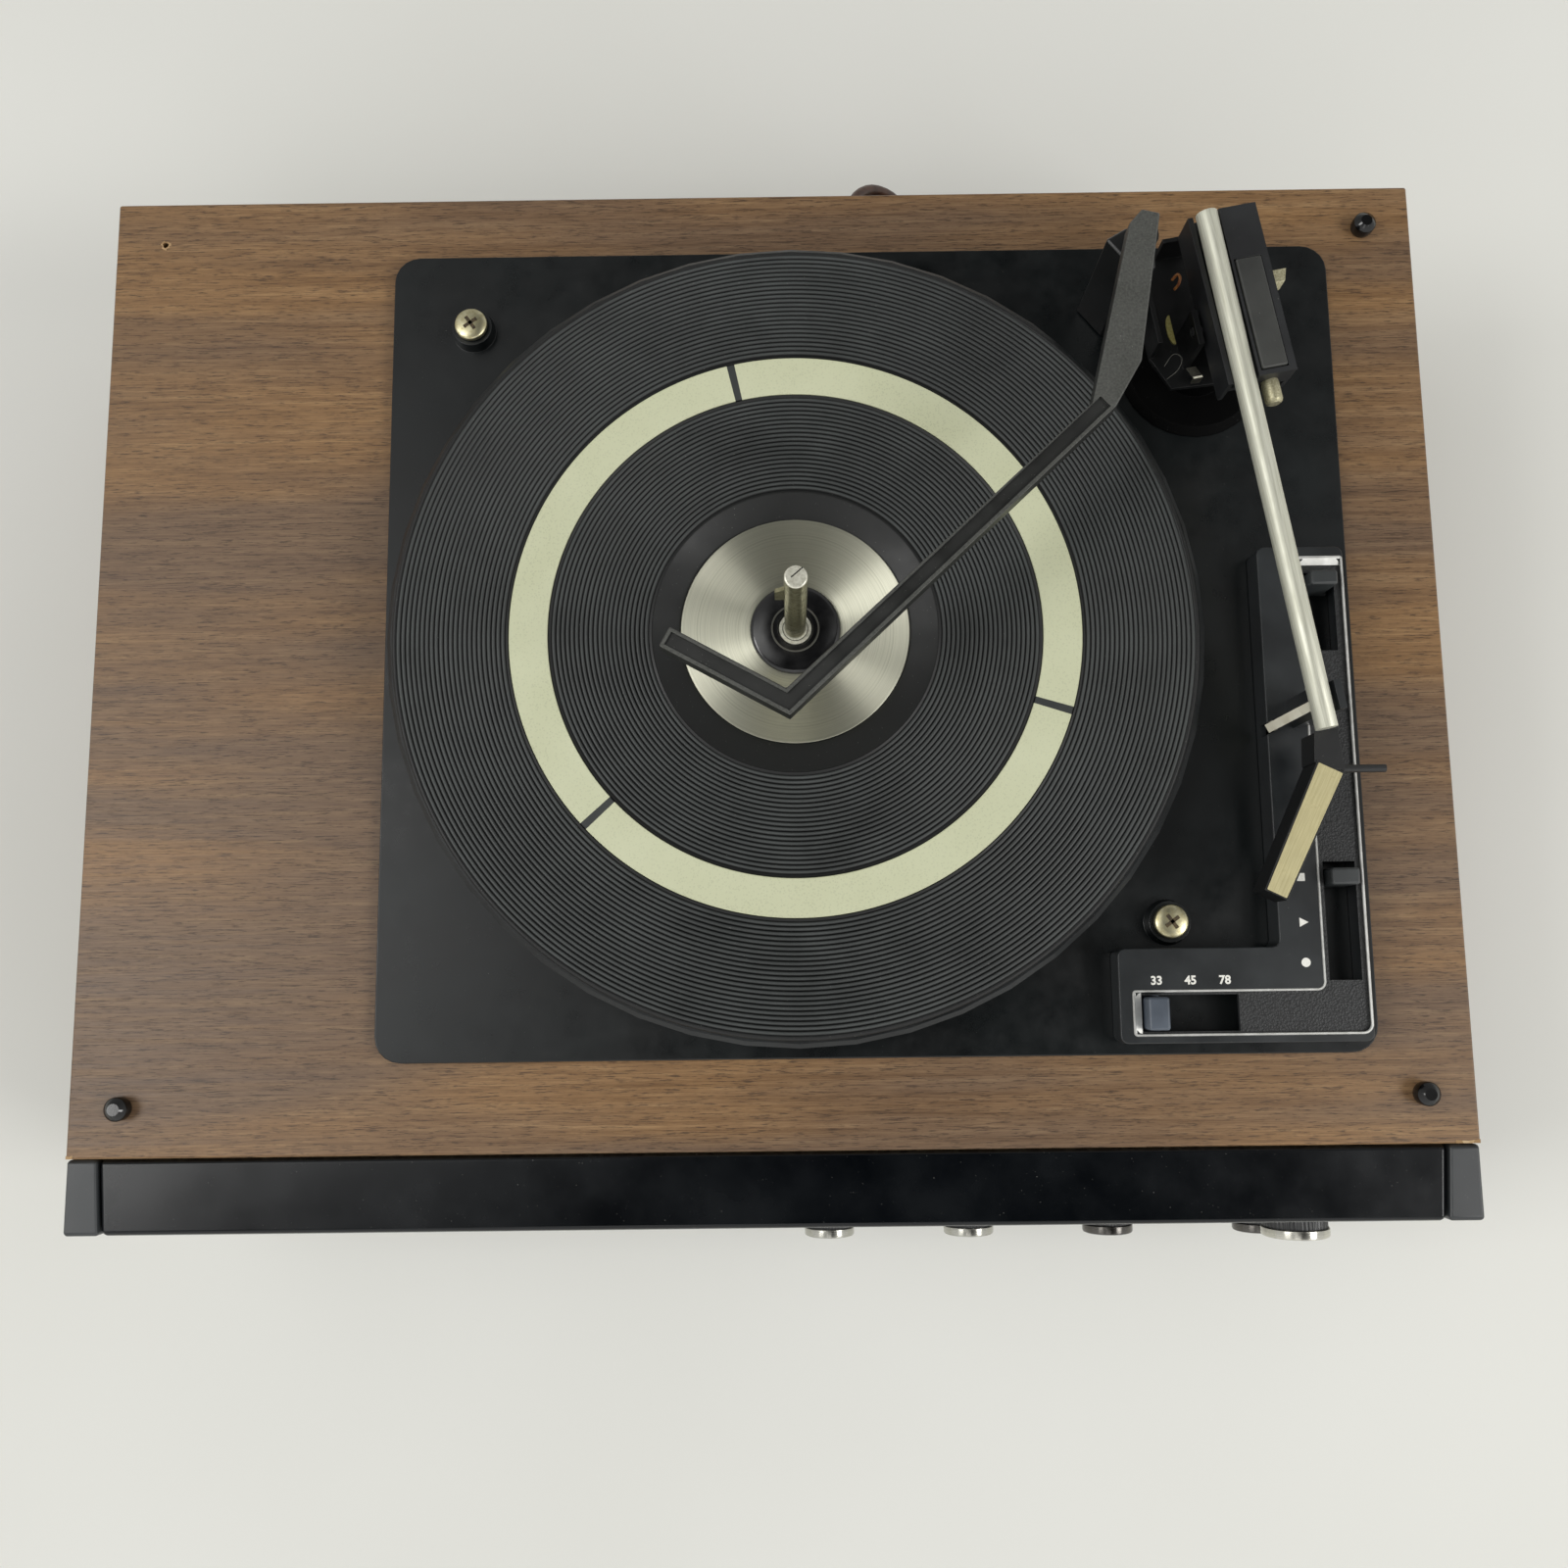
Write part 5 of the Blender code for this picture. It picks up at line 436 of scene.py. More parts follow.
# Plug: moulded on, in the same brown vinyl, with two brass blades.
brass, tree, shader = finish("stamped_brass", "#b8a164", 0.32, 1.0)
wear = grain(tree, 2.2, 3)
paint(tree, shader, wear, (0.35, 0.24), (0.7, 0.42), into="Roughness")
paint(tree, shader, wear, (0.3, "#a8905a"), (0.7, "#c7b37a"))
plug = eased("mains_plug", 0.0008, [lead_vinyl, brass])
BLADE_L = 0.0159
second_look(plug, per_face(plug, "center")[:, 0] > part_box("mains_plug")[1][0] - BLADE_L)

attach(lead, "base")
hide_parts("mains_lead", "mains_hank")

# Strain relief: a ribbed bush in the lead's own vinyl, pressed into the back panel.
dress(lead_vinyl, "strain_relief")


# Cabinet
# Particle board in walnut-print vinyl, mitre-folded from one sheet so that the grain runs across the top
# and turns down the sides. The board's raw edge shows only at the back and round the cut-out for the
# changer.
def walnut_print():
    """Printed vinyl film, embossed: fine brown fibres in golden and smoky zones, short dark pores."""
    made, tree, shader = finish("walnut_print_vinyl", "#6a543b", 0.46, Specular_IOR_Level=0.5)
    zones = ramp(tree, grain(tree, 28, 2, (8, 1, 8), offset=(2, 3, 1)), (0.40, 0.0), (0.62, 1.0))
    streaks = grain(tree, 2.4, 5, (40, 1, 40), 0.68, offset=(3, 1, 7))
    fibres = grain(tree, 0.42, 4, (36, 1, 36), 0.7, offset=(1, 5, 2))
    whole = add(tree, "Math", {0: streaks, 1: 0.42, 2: times(tree, fibres, 0.58)}, operation="MULTIPLY_ADD")
    golden = ramp(tree, whole, (0.36, "#694c2e"), (0.46, "#7e5e3b"), (0.54, "#8b6a45"), (0.64, "#9e7e56"))
    smoky = ramp(tree, whole, (0.36, "#57412e"), (0.46, "#68513c"), (0.54, "#735b44"), (0.64, "#836b50"))
    wood = blend(tree, zones, smoky, golden)
    pores = ramp(tree, grain(tree, 0.42, 3, (13, 1, 13), 0.65, offset=(9, 2, 4)), (0.54, 0.0), (0.64, 0.72))
    paint(tree, shader, blend(tree, pores, wood, "#2e1f13"))
    paint(tree, shader, streaks, (0.35, 0.40), (0.65, 0.50), into="Roughness")
    fine = add(tree, "Bump", {"Height": fibres, "Distance": 0.012 / 1000, "Strength": 0.6})
    relief(tree, shader, pores, -0.02, 0.7, fine.outputs["Normal"])
    return made


def chip_board():
    """Pressed chips in resin, sawn: pale flakes of 1 to 3 mm, dull and rough."""
    made, tree, shader = finish("sawn_chip_board", "#a98a62", 0.85)
    flakes = add(tree, "TexVoronoi", {"Vector": here(tree), "Scale": 480.0})
    tone = ramp(tree, flakes.outputs["Color"], (0.1, "#8b6c46"), (0.5, "#b1926a"), (0.9, "#cbb48e"))
    paint(tree, shader, tone)
    relief(tree, shader, flakes.outputs["Distance"], 0.25)
    return made


walnut = walnut_print()
raw_board = chip_board()
cabinet = eased("cabinet_shell", 0.0006, [walnut, raw_board])
centre = per_face(cabinet, "center")
normal = per_face(cabinet, "normal")
shell_low, shell_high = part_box("cabinet_shell")
on_top = (normal[:, 2] > 0.5) & (centre[:, 2] > shell_high[2] - 0.0005)
on_side = (np.abs(normal[:, 0]) > 0.5) & (np.abs(centre[:, 0]) > shell_high[0] - 0.0005)
second_look(cabinet, ~(on_top | on_side))


def ring(at, radii, heights, columns=64):
    """A closed ring of points for each (radius, height): centre plus radius times (cos, sin)."""
    sweep = full_turn(columns)
    radii = np.asarray(radii, float)[:, None]
    heights = np.asarray(heights, float)[:, None] + 0 * sweep
    return np.stack((at[0] + radii * np.cos(sweep), at[1] + radii * np.sin(sweep), heights), axis=-1)


def capped(grid):
    """A tube's grid with its two ends drawn in to their middles."""
    first = np.broadcast_to(grid[0].mean(axis=0), grid[0].shape)
    last = np.broadcast_to(grid[-1].mean(axis=0), grid[-1].shape)
    return np.concatenate((first[None], grid, last[None]))


def at_height(plan, z):
    """Plan points at a height."""
    return np.column_stack((plan, np.full(len(plan), z)))


# Torn film round the empty bumper hole at the rear left, where the fourth bumper was pulled out.
BUMPER_X = 0.2172
BUMPER_REAR = 0.1745
HOLE = (-BUMPER_X, BUMPER_REAR)
TOP_Z = 0.128
sweep = full_turn(64)
ragged = 1 + 0.16 * np.sin(3 * sweep + 0.7) + 0.10 * np.sin(7 * sweep) + 0.08 * np.sin(13 * sweep + 2)
tears = (("hole_edge", walnut, (0.0010, 0.0010, 0.0027, 0.0028), (-0.0006, 0.00003, 0.00005, -0.0001)),
         ("torn_chips", raw_board, (0.0010, 0.0011, 0.0015, 0.0017), (0.00002, 0.0002, 0.0001, 0.00002)))
for name, material, radii, levels in tears:
    torn = ring(HOLE, radii, TOP_Z + np.array(levels))
    share = np.array([0.6, 0.6, 1, 1])[:, None] * (ragged - 1) * (material == raw_board)
    torn[..., :2] = np.array(HOLE) + (torn[..., :2] - HOLE) * (1 + share)[..., None]
    surface(name, torn, "base", material, wrap_rows=True)

# Chips at the two front corners, where the film is knocked off the board's edge.
for name, x0, x1 in (("chip_left", -0.2349, -0.2327), ("chip_right", 0.2268, 0.2349)):
    plan = np.array([(x0, -0.1494), (x1, -0.1494), (x1, -0.1481), ((x0 + x1) / 2, -0.1486), (x0, -0.1483)])
    rows = [at_height(plan, z) for z in (TOP_Z - 0.0001, TOP_Z + 0.00005)]
    surface(name, capped(np.stack(rows)), "base", raw_board)


# Bumpers: glossy black buttons with a flat top and a wide chamfer that catches the light, in drilled holes.
def moulded_rubber(name, dark, light, roughness):
    """Moulded rubber: a fine skin, greyed in patches by handling and dust."""
    made, tree, shader = finish(name, dark, roughness, IOR=1.52)
    patches = grain(tree, 9, 4, roughness=0.6)
    paint(tree, shader, patches, (0.35, dark), (0.70, light))
    relief(tree, shader, grain(tree, 0.35, 2), 0.006, 0.6)
    return made


bumper_rubber = moulded_rubber("bumper_rubber", "#030303", "#0a0a0b", 0.10)
for corner, spot in (("front_left", (-BUMPER_X, -0.133)), ("front_right", (BUMPER_X, -0.133)),
                     ("rear_right", (BUMPER_X, BUMPER_REAR))):
    low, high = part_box("cover_bumper_" + corner)
    wide = (high[0] - low[0]) / 2
    top = high[2]
    radii = [0, wide * 0.50, wide * 0.56, wide * 0.92, wide, wide, wide * 0.95, 0.0018, 0.0018, 0]
    levels = [top, top, top - 0.0002, top - 0.0013, top - 0.0018, TOP_Z + 0.0010, TOP_Z + 0.0003,
              TOP_Z + 0.0003, low[2], low[2]]
    button = surface("bumper_" + corner, ring(spot, radii, levels, 40), "base", bumper_rubber)
    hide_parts("cover_bumper_" + corner)


# Bottom board and feet
# Tempered hardboard, smooth side out, on four moulded black feet. It closes the cabinet from below.
def hard_board():
    """Tempered hardboard: dark brown felted fibres, smooth, with a slight sheen where it was pressed."""
    made, tree, shader = finish("tempered_hardboard", "#4b3421", 0.6)
    fibres = grain(tree, 1.4, 5, roughness=0.7)
    slow = grain(tree, 40, 3)
    half = times(tree, fibres, slow)
    paint(tree, shader, half, (0.14, "#3a2819"), (0.38, "#604730"))
    relief(tree, shader, fibres, 0.05, 0.5)
    return made


hardboard = hard_board()
foot_rubber = moulded_rubber("foot_rubber", "#161617", "#2b2b2c", 0.65)
floor_board = eased("bottom_board", 0.0005, [hardboard, foot_rubber])
second_look(floor_board, per_face(floor_board, "center")[:, 2] < shell_low[2] - 0.0003)


# Back panel
# Hardboard set into the back, with a row of cooling slots and a phono-jack plate. Six screws hold it on.
def plated(name, base, light, roughness, size_mm=2.5):
    """Plated steel: bright, with slow clouds of tarnish that dull it in places."""
    made, tree, shader = finish(name, base, roughness, 1.0)
    clouds = grain(tree, size_mm, 4, roughness=0.6)
    paint(tree, shader, clouds, (0.3, base), (0.7, light))
    paint(tree, shader, clouds, (0.3, roughness + 0.1), (0.7, max(roughness - 0.06, 0.08)), into="Roughness")
    return made


nickel = plated("nickel_plate", "#a39d8a", "#cfc9b6", 0.26)
zinc = plated("zinc_plate", "#8d8f8c", "#b4b5ae", 0.38, 5)
dress(hardboard, "back_panel")
JACK_X = np.repeat(-0.160 + (np.arange(4) - 1.5) * 0.020, 2)
JACK_Z = np.tile([0.075, 0.061], 4)


def about_y(spots, profile, columns=32):
    """A profile of (radius, y) swept round an axis along Y at each (x, z) spot."""
    turn = full_turn(columns)
    radius, level = np.asarray(profile, float).T
    spots = np.atleast_2d(spots)
    x = spots[:, 0, None, None] + radius[:, None] * np.cos(turn)
    z = spots[:, 1, None, None] + radius[:, None] * np.sin(turn)
    return np.stack((x, level[:, None] + 0 * x, z), axis=-1)


jack_spots = np.column_stack((JACK_X, JACK_Z))
shell_y = 0.1872
surface("jack_shells", about_y(jack_spots, [(0.0034, 0.1845), (0.0034, shell_y), (0.0043, shell_y),
                                            (0.0044, 0.1868), (0.0044, 0.1815), (0.0034, 0.1815)]), "base",
        nickel, wrap_rows=True)
jack_red = mottled("red_jack_insert", "#8c1f1b", 0.45, 2, 2, (0.3, "#7d1815"), (0.7, "#9c2a24"))
jack_white = mottled("white_jack_insert", "#d5d1c4", 0.45, 2, 2, (0.3, "#c6c1b2"), (0.7, "#e0ddd2"))
insert = [(0.0017, 0.1868), (0.0030, 0.1870), (0.00335, 0.1866), (0.00335, 0.1850), (0.0017, 0.1850)]
surface("jack_inserts_white", about_y(jack_spots[0::2], insert), "base", jack_white,
        wrap_rows=True)
surface("jack_inserts_red", about_y(jack_spots[1::2], insert), "base", jack_red,
        wrap_rows=True)


def screw_grid(radius, height, columns=48, cross=0.62, depth=0.0011, wide=0.22, turned=0.0):
    """A domed head, with a crossed recess if cross is above 0: a circle's cap, less depth in either bar."""
    share = np.array([0, 0.08, 0.16, 0.2, 0.24, 0.3, 0.38, 0.46, 0.54, 0.60, 0.64, 0.7, 0.8, 0.9, 0.97, 1, 1])
    turn = full_turn(columns)
    u = share[:, None] * np.cos(turn)
    v = share[:, None] * np.sin(turn)
    dome = height * (0.45 + 0.55 * np.sqrt(np.clip(1 - share ** 2, 0, 1)))[:, None] + 0 * u
    narrow = wide * (1 - 0.25 * share[:, None])
    along = np.abs(share[:, None] * np.cos(turn - turned))
    over = np.abs(share[:, None] * np.sin(turn - turned))
    bar = ((along < narrow) & (over < cross)) | ((over < narrow) & (along < cross))
    dome = dome - np.where(bar, depth * (1 - 0.55 * share[:, None]), 0)
    dome[-1] = 0
    return radius * u, radius * v, dome


def at_spots(grid, spots):
    """A copy of the grid at each spot."""
    return grid[None] + np.array(spots)[:, None, None, :]


panel_low, panel_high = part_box("back_panel")
EDGE_IN = 0.007
PANEL_Y = 0.1825
screw_spots = [(x, PANEL_Y, z) for x in (panel_low[0] + EDGE_IN, 0.0, panel_high[0] - EDGE_IN)
               for z in (panel_low[2] + EDGE_IN, panel_high[2] - EDGE_IN)]
u, v, up = screw_grid(0.0032, 0.0013)
surface("back_screws", at_spots(np.stack((u, up, v), axis=-1), screw_spots), "base", nickel)


# Fascia
# One black styrene moulding the width of the set, with a fine satin grain on its ledge, and two end caps
# that close it. It hooks under the walnut top and is greyed by dust and handling along the front.
def satin_styrene(name, dark, light, roughness, grit_mm=0.35, depth_mm=0.012, **sockets):
    """Black polystyrene, moulded in a spark-finished tool: even fine grain, a soft haze, some dust."""
    made, tree, shader = finish(name, dark, roughness, IOR=1.58, **sockets)
    slow = grain(tree, 26, 4, roughness=0.55)
    base = ramp(tree, slow, (0.35, dark), (0.70, light))
    dust = ramp(tree, grain(tree, 0.55, 1, offset=(4, 7, 1)), (0.77, 0.0), (0.84, 0.45))
    paint(tree, shader, blend(tree, dust, base, "#a8a79f"))
    paint(tree, shader, slow, (0.3, roughness - 0.05), (0.7, roughness + 0.08), into="Roughness")
    relief(tree, shader, grain(tree, grit_mm, 2), depth_mm, 0.8)
    return made


fascia_styrene = satin_styrene("satin_black_styrene", "#020407", "#070b0f", 0.22, 0.35, 0.004,
                               Specular_IOR_Level=0.3)
cap_styrene = satin_styrene("cap_black_styrene", "#232628", "#343739", 0.42)
eased("fascia_frame", 0.0009, fascia_styrene)
eased("end_cap_left", 0.0011, cap_styrene, segments=3)
eased("end_cap_right", 0.0011, cap_styrene, segments=3)


# Control panel
# Sheet aluminium behind the fascia, brushed along its length and anodised black, printed with pale legends.
panel_black, tree, shader = finish("black_anodised_aluminium", "#191b1d", 0.34, 0.6)
brush = grain(tree, 0.18, 3, (160, 1, 1))
paint(tree, shader, brush, (0.35, "#141618"), (0.68, "#2a2c2f"))
paint(tree, shader, brush, (0.3, 0.28), (0.7, 0.42), into="Roughness")
relief(tree, shader, brush, 0.006, 0.6)
dress(panel_black, "control_panel")

ink = mottled("pale_screen_ink", "#ebeae2", 0.55, 0.5, 2, (0.3, "#e0dfd5"), (0.6, "#f2f1ea"))


def lettering(name, items, right, up, body, material=None, thick=0.00004):
    """Numbers and marks as one thin mesh: each is (text, place, height), laid out along right and up."""
    right, up = np.array(right, float), np.array(up, float)
    out = np.cross(right, up)
    stock = bpy.data.meshes.new(name)
    corners, starts, base = [], [], 0
    for text, spot, height in items:
        curve = bpy.data.curves.new(name, "FONT")
        curve.body = text
        curve.align_x = "CENTER"
        curve.align_y = "CENTER"
        curve.size = height / 0.7
        curve.resolution_u = 3
        curve.extrude = thick / 2
        curve.offset = 0.045 * height
        holder = bpy.data.objects.new(name, curve)
        scene.collection.objects.link(holder)
        flat = bpy.data.meshes.new_from_object(holder.evaluated_get(bpy.context.evaluated_depsgraph_get()))
        bpy.data.objects.remove(holder)
        points = np.zeros(len(flat.vertices) * 3)
        flat.vertices.foreach_get("co", points)
        points = points.reshape(-1, 3)
        lift = (points[:, 2:] + thick / 2) * out
        corners.append(np.array(spot) + points[:, :1] * right + points[:, 1:2] * up + lift)
        starts += [[base + index for index in polygon.vertices] for polygon in flat.polygons]
        base += len(points)
    stock.from_pydata(np.vstack(corners), [], starts)
    return settle(name, stock, body, material or ink, merge=1e-7)


KNOB_X = np.array([0.0207, 0.0742, 0.1277, 0.1855])
KNOB_Z = 0.046
TUNE_Z = 0.088
PANEL_FACE = -0.1717
LEGEND_Y = PANEL_FACE - 0.00002
LEGEND_R = 0.0138
legend = [("I", (x, LEGEND_Y, KNOB_Z + 0.0150), 0.0018) for x in KNOB_X[:3]]
for k in range(11):
    turn = math.radians(240 - 30 * k)
    spot = (KNOB_X[3] + LEGEND_R * math.cos(turn), LEGEND_Y, KNOB_Z + LEGEND_R * math.sin(turn))
    legend.append((str(k), spot, 0.0021))
lettering("volume_numbers", legend, (1, 0, 0), (0, 0, 1), "base")


def bars(name, ends, wide, thick, body, material, up=(0, 0, 1)):
    """Thin printed or inlaid bars: each runs between two points, wide across and thick outwards."""
    ends = np.asarray(ends, float)
    along = unit(ends[:, 1] - ends[:, 0])
    out = np.broadcast_to(np.asarray(up, float), along.shape)
    side = np.cross(out, along)[:, None]
    rise = out[:, None]
    half = wide / 2
    section = np.array([(-half, 0), (-half, thick), (half, thick), (half, 0)])
    rows = []
    for end, grow in ((0, 0), (0, 1), (1, 1), (1, 0)):
        part = section * grow
        lift = 0 if grow else thick / 2
        rows.append(ends[:, end][:, None] + part[:, :1] * side + part[:, 1:] * rise + lift * rise)
    return surface(name, np.stack(rows, axis=1), body, material)


ticks = []
for x in KNOB_X[:3]:
    turn = np.radians(np.arange(-120, 121, 24) + 90)
    spot = np.stack((np.cos(turn), 0 * turn, np.sin(turn)), axis=1)
    near = np.array([x, PANEL_FACE, KNOB_Z]) + 0.0115 * spot
    ticks.append(np.stack((near, near + 0.0018 * spot), axis=1))
bars("knob_ticks", np.vstack(ticks), 0.0004, 0.00005, "base", ink, up=(0, -1, 0))


# Dial
# A clear acrylic strip in front of a black printed plate with two scales, and a white needle on a cord.
acrylic, tree, shader = finish("clear_acrylic", "#d9dcda", 0.06, IOR=1.49, Transmission_Weight=1.0)
paint(tree, shader, grain(tree, 12, 3), (0.3, 0.04), (0.75, 0.10), into="Roughness")
dress(acrylic, "dial_window")
dial_black = mottled("dial_plate_ink", "#0f1214", 0.5, 5, 3, (0.3, "#0d1011"), (0.7, "#171b1d"))
dress(dial_black, "dial_scale")
DIAL_Y = -0.1657
LINES_Z = (0.0905, 0.0865, 0.0825)
LINE_REACH = 1.06
POINTER_X = -0.020
POINTER_RUN = 0.075
fm_x = POINTER_X + POINTER_RUN * np.linspace(-0.92, 0.92, 6)
am_x = POINTER_X + POINTER_RUN * np.array([-0.95, -0.70, -0.40, -0.15, 0.15, 0.40, 0.68, 0.95])
scales = (("88 92 96 100 104 108", fm_x, 0.0960), ("54 60 70 80 100 120 140 160", am_x, 0.0768))
dial_items = []
for numbers, places, z in scales:
    dial_items += [(text, (x, DIAL_Y, z), 0.0032) for text, x in zip(numbers.split(), places)]
lettering("dial_numbers", dial_items, (1, 0, 0), (0, 0, 1), "base")
line_ends = POINTER_X - POINTER_RUN * LINE_REACH, POINTER_X + POINTER_RUN * LINE_REACH
lines = [[(x, DIAL_Y, z) for x in line_ends] for z in LINES_Z]
fm_ticks = POINTER_X + POINTER_RUN * np.linspace(-0.92, 0.92, 21)
am_ticks = POINTER_X + POINTER_RUN * np.linspace(-0.95, 0.95, 27)
low_ends = np.stack((fm_ticks, np.full(21, DIAL_Y), np.full(21, LINES_Z[0])), axis=1)
high_ends = low_ends + np.outer(np.where(np.arange(21) % 4 == 0, 0.0024, 0.0014), (0, 0, 1))
am_ends = np.stack((am_ticks, np.full(27, DIAL_Y), np.full(27, LINES_Z[2])), axis=1)
fm_bars = np.stack((low_ends, high_ends), axis=1)
am_bars = np.stack((am_ends - (0, 0, 0.0016), am_ends), axis=1)
bars("dial_lines", np.vstack([lines, fm_bars, am_bars]), 0.00035, 0.00005, "base", ink,
     up=(0, -1, 0))

# Needle, cord drum and the tuning capacitor behind the dial.
white_nylon, tree, shader = finish("moulded_white_nylon", "#d6d2c0", 0.45, IOR=1.53,
                                   mottle=(7, 4, (0.35, "#c9c4b0"), (0.65, "#e0dccb")))
relief(tree, shader, grain(tree, 0.5, 2), 0.01, 0.5)
dress(white_nylon, "dial_pointer", "dial_drum")
dress(zinc, "tuning_capacitor")


# Knobs
# A black styrene body, finely fluted for the fingers, carries a turned aluminium cap a little wider than
# itself, with a spun face and a polished edge. The caps are pale, but dark on the tone and volume knobs.
def spun(name, dark, light, roughness, at, axis="Z", fine=0.28, metal=1.0):
    """Aluminium turned or spun on a lathe: fine circles, which stretch every highlight across them."""
    made, tree, shader = finish(name, dark, roughness, metal, Anisotropic=0.95)
    place = here(tree)
    moved = add(tree, "VectorMath", {0: place, 1: at}, operation="SUBTRACT")
    flat = {"Z": (1, 1, 0), "Y": (1, 0, 1)}[axis]
    planar = add(tree, "VectorMath", {0: moved, 1: flat}, operation="MULTIPLY")
    reach = add(tree, "VectorMath", {0: planar}, operation="LENGTH").outputs["Value"]
    level = add(tree, "SeparateXYZ", {0: moved}).outputs[axis]
    rings_at = add(tree, "CombineXYZ", {0: reach, 1: level})
    fine_scale = add(tree, "Mapping", {"Vector": rings_at, "Scale": (1000 / fine, 1000 / fine, 1)})
    circles = add(tree, "TexNoise", {"Vector": fine_scale, "Scale": 1.0, "Detail": 3.0, "Roughness": 0.7})
    paint(tree, shader, circles, (0.32, dark), (0.68, light))
    paint(tree, shader, circles, (0.3, roughness + 0.08), (0.7, roughness - 0.04), into="Roughness")
    tree.links.new(planar.outputs[0], shader.inputs["Tangent"])
    relief(tree, shader, circles, 0.006, 0.5)
    return made


knob_skirt = satin_styrene("knob_black_styrene", "#1c1d1e", "#2b2c2d", 0.4, 0.3, 0.008)
SHAFT_TAIL_Y = -0.1587
KNOB_BACK_Y = -0.1755
KNOB_R = 0.0095
KNOB_FRONT = -0.1905
TUNE_R = 0.0118
TUNE_FRONT = -0.1853
CAP_T = 0.0033
FLUTES = 48
FLUTE_DEPTH = 0.0003
pale = ("#a8a79f", "#d2d1c8")
dark = ("#4b4a49", "#77746f")
lower_row = zip(("function", "balance", "tone", "volume"), KNOB_X, (pale, pale, dark, dark))
knobs = [(body, x, KNOB_Z, KNOB_R, KNOB_FRONT, look) for body, x, look in lower_row]
knobs.append(("tuning", KNOB_X[3], TUNE_Z, TUNE_R, TUNE_FRONT, ("#b2b0a6", "#dcdad0")))
for body, x, z, radius, front, look in knobs:
    rim = front + CAP_T
    body_r = 0.95 * radius
    turn = full_turn(240)
    profile = np.array([(0, rim - 0.0004), (body_r - 0.0003, rim - 0.0004), (body_r, rim + 0.0001),
                        (body_r, KNOB_BACK_Y - 0.0006), (body_r - 0.0004, KNOB_BACK_Y), (0.003, KNOB_BACK_Y),
                        (0.003, SHAFT_TAIL_Y), (0, SHAFT_TAIL_Y)])
    flute = np.array([0, 0, 1, 1, 0.5, 0, 0, 0])[:, None]
    reach = profile[:, :1] - FLUTE_DEPTH * flute * (0.5 - 0.5 * np.cos(FLUTES * turn)) ** 2
    skirt_grid = np.stack((x + reach * np.cos(turn), profile[:, 1:] + 0 * reach, z + reach * np.sin(turn)),
                          axis=-1)
    skirt = surface(body + "_knob_skirt", skirt_grid, body, knob_skirt, wrap_rows=True)
    spun_cap = spun(body + "_cap_aluminium", *look, 0.24, (x, front, z), axis="Y")
    cap_profile = [(0, front + 0.00025), (radius * 0.80, front + 0.00025), (radius * 0.84, front),
                   (radius - 0.0008, front), (radius - 0.0002, front + 0.0003), (radius, front + 0.0008),
                   (radius, rim - 0.0003), (radius - 0.0003, rim), (body_r - 0.0002, rim), (0, rim)]
    surface(body + "_knob_cap", about_y((x, z), cap_profile, 96)[0], body, spun_cap,
            sharp=30)
    line = [(x, front + 0.00025, z + radius * share) for share in (0.40, 0.76)]
    bars(body + "_knob_line", [line], 0.0008, 0.00012, body, dial_black, up=(0, -1, 0))
    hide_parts(body + "_knob")


# Works inside the cabinet
# A plated steel tray carries the amplifier's phenolic board and the mains transformer. Nothing of it shows
# from above, but all of it is there when the board underneath is taken off.
phenolic, tree, shader = finish("phenolic_paper_board", "#8a5a26", 0.45, IOR=1.6,
                                mottle=(6, 4, (0.35, "#7a4e20"), (0.65, "#9b6a31")))
relief(tree, shader, grain(tree, 0.6, 3), 0.02, 0.5)
dress(zinc, "chassis_tray")
dress(phenolic, "main_board")
dress(zinc, "power_transformer")


# Unit plate
# Pressed steel with a rolled edge, baked black enamel: smooth, semi-gloss, greyed by dust. Two shouldered
# collars pressed into it take the transit screws; springs under them float the whole deck.
def black_enamel(name, dark, light, roughness):
    """Baked enamel on pressed steel: a flowed, slightly rippled semi-gloss skin, with dust and fine rubs."""
    made, tree, shader = finish(name, dark, roughness, IOR=1.5)
    slow = grain(tree, 34, 4, roughness=0.6)
    base = ramp(tree, slow, (0.35, dark), (0.70, light))
    dust = ramp(tree, grain(tree, 0.5, 1, offset=(2, 5, 3)), (0.77, 0.0), (0.84, 0.5))
    paint(tree, shader, blend(tree, dust, base, "#9a9a94"))
    rubs = grain(tree, 14, 4, roughness=0.65, offset=(8, 1, 5))
    paint(tree, shader, rubs, (0.3, roughness - 0.06), (0.7, roughness + 0.10), into="Roughness")
    relief(tree, shader, grain(tree, 2.4, 3), 0.012, 0.5)
    return made


plate_enamel = black_enamel("black_baked_enamel", "#080b0c", "#0f1415", 0.30)
eased("unit_plate", 0.0005, plate_enamel)
SCREWS = [(-0.103, 0.1375), (0.1335, -0.0755)]
SEAT_Z = 0.1373
CROSS_Z = 0.13958
CROSS_ARM = 0.0027
CROSS_TURN = 0.62
u, v, up = screw_grid(0.0057, 0.0024, 96, cross=0.0)
bright_screw = plated("worn_passivated_steel", "#b5ac84", "#e0dab8", 0.34, 1.6)
heads = at_spots(np.stack((u, v, up), axis=-1), [(x, y, SEAT_Z) for x, y in SCREWS])
surface("transit_screws", heads, "base", bright_screw, sharp=40)
cross_shade = mottled("shaded_cross_recess", "#33291a", 0.6, 0.7, 2, (0.35, "#231b10"), (0.7, "#5a4a2c"))
crosses = []
for x, y in SCREWS:
    for turn in (CROSS_TURN, CROSS_TURN + math.pi / 2):
        arm = CROSS_ARM * np.array([math.cos(turn), math.sin(turn), 0])
        crosses.append(((x, y, CROSS_Z) - arm, (x, y, CROSS_Z) + arm))
bars("transit_crosses", crosses, 0.0012, 0.00018, "base", cross_shade)


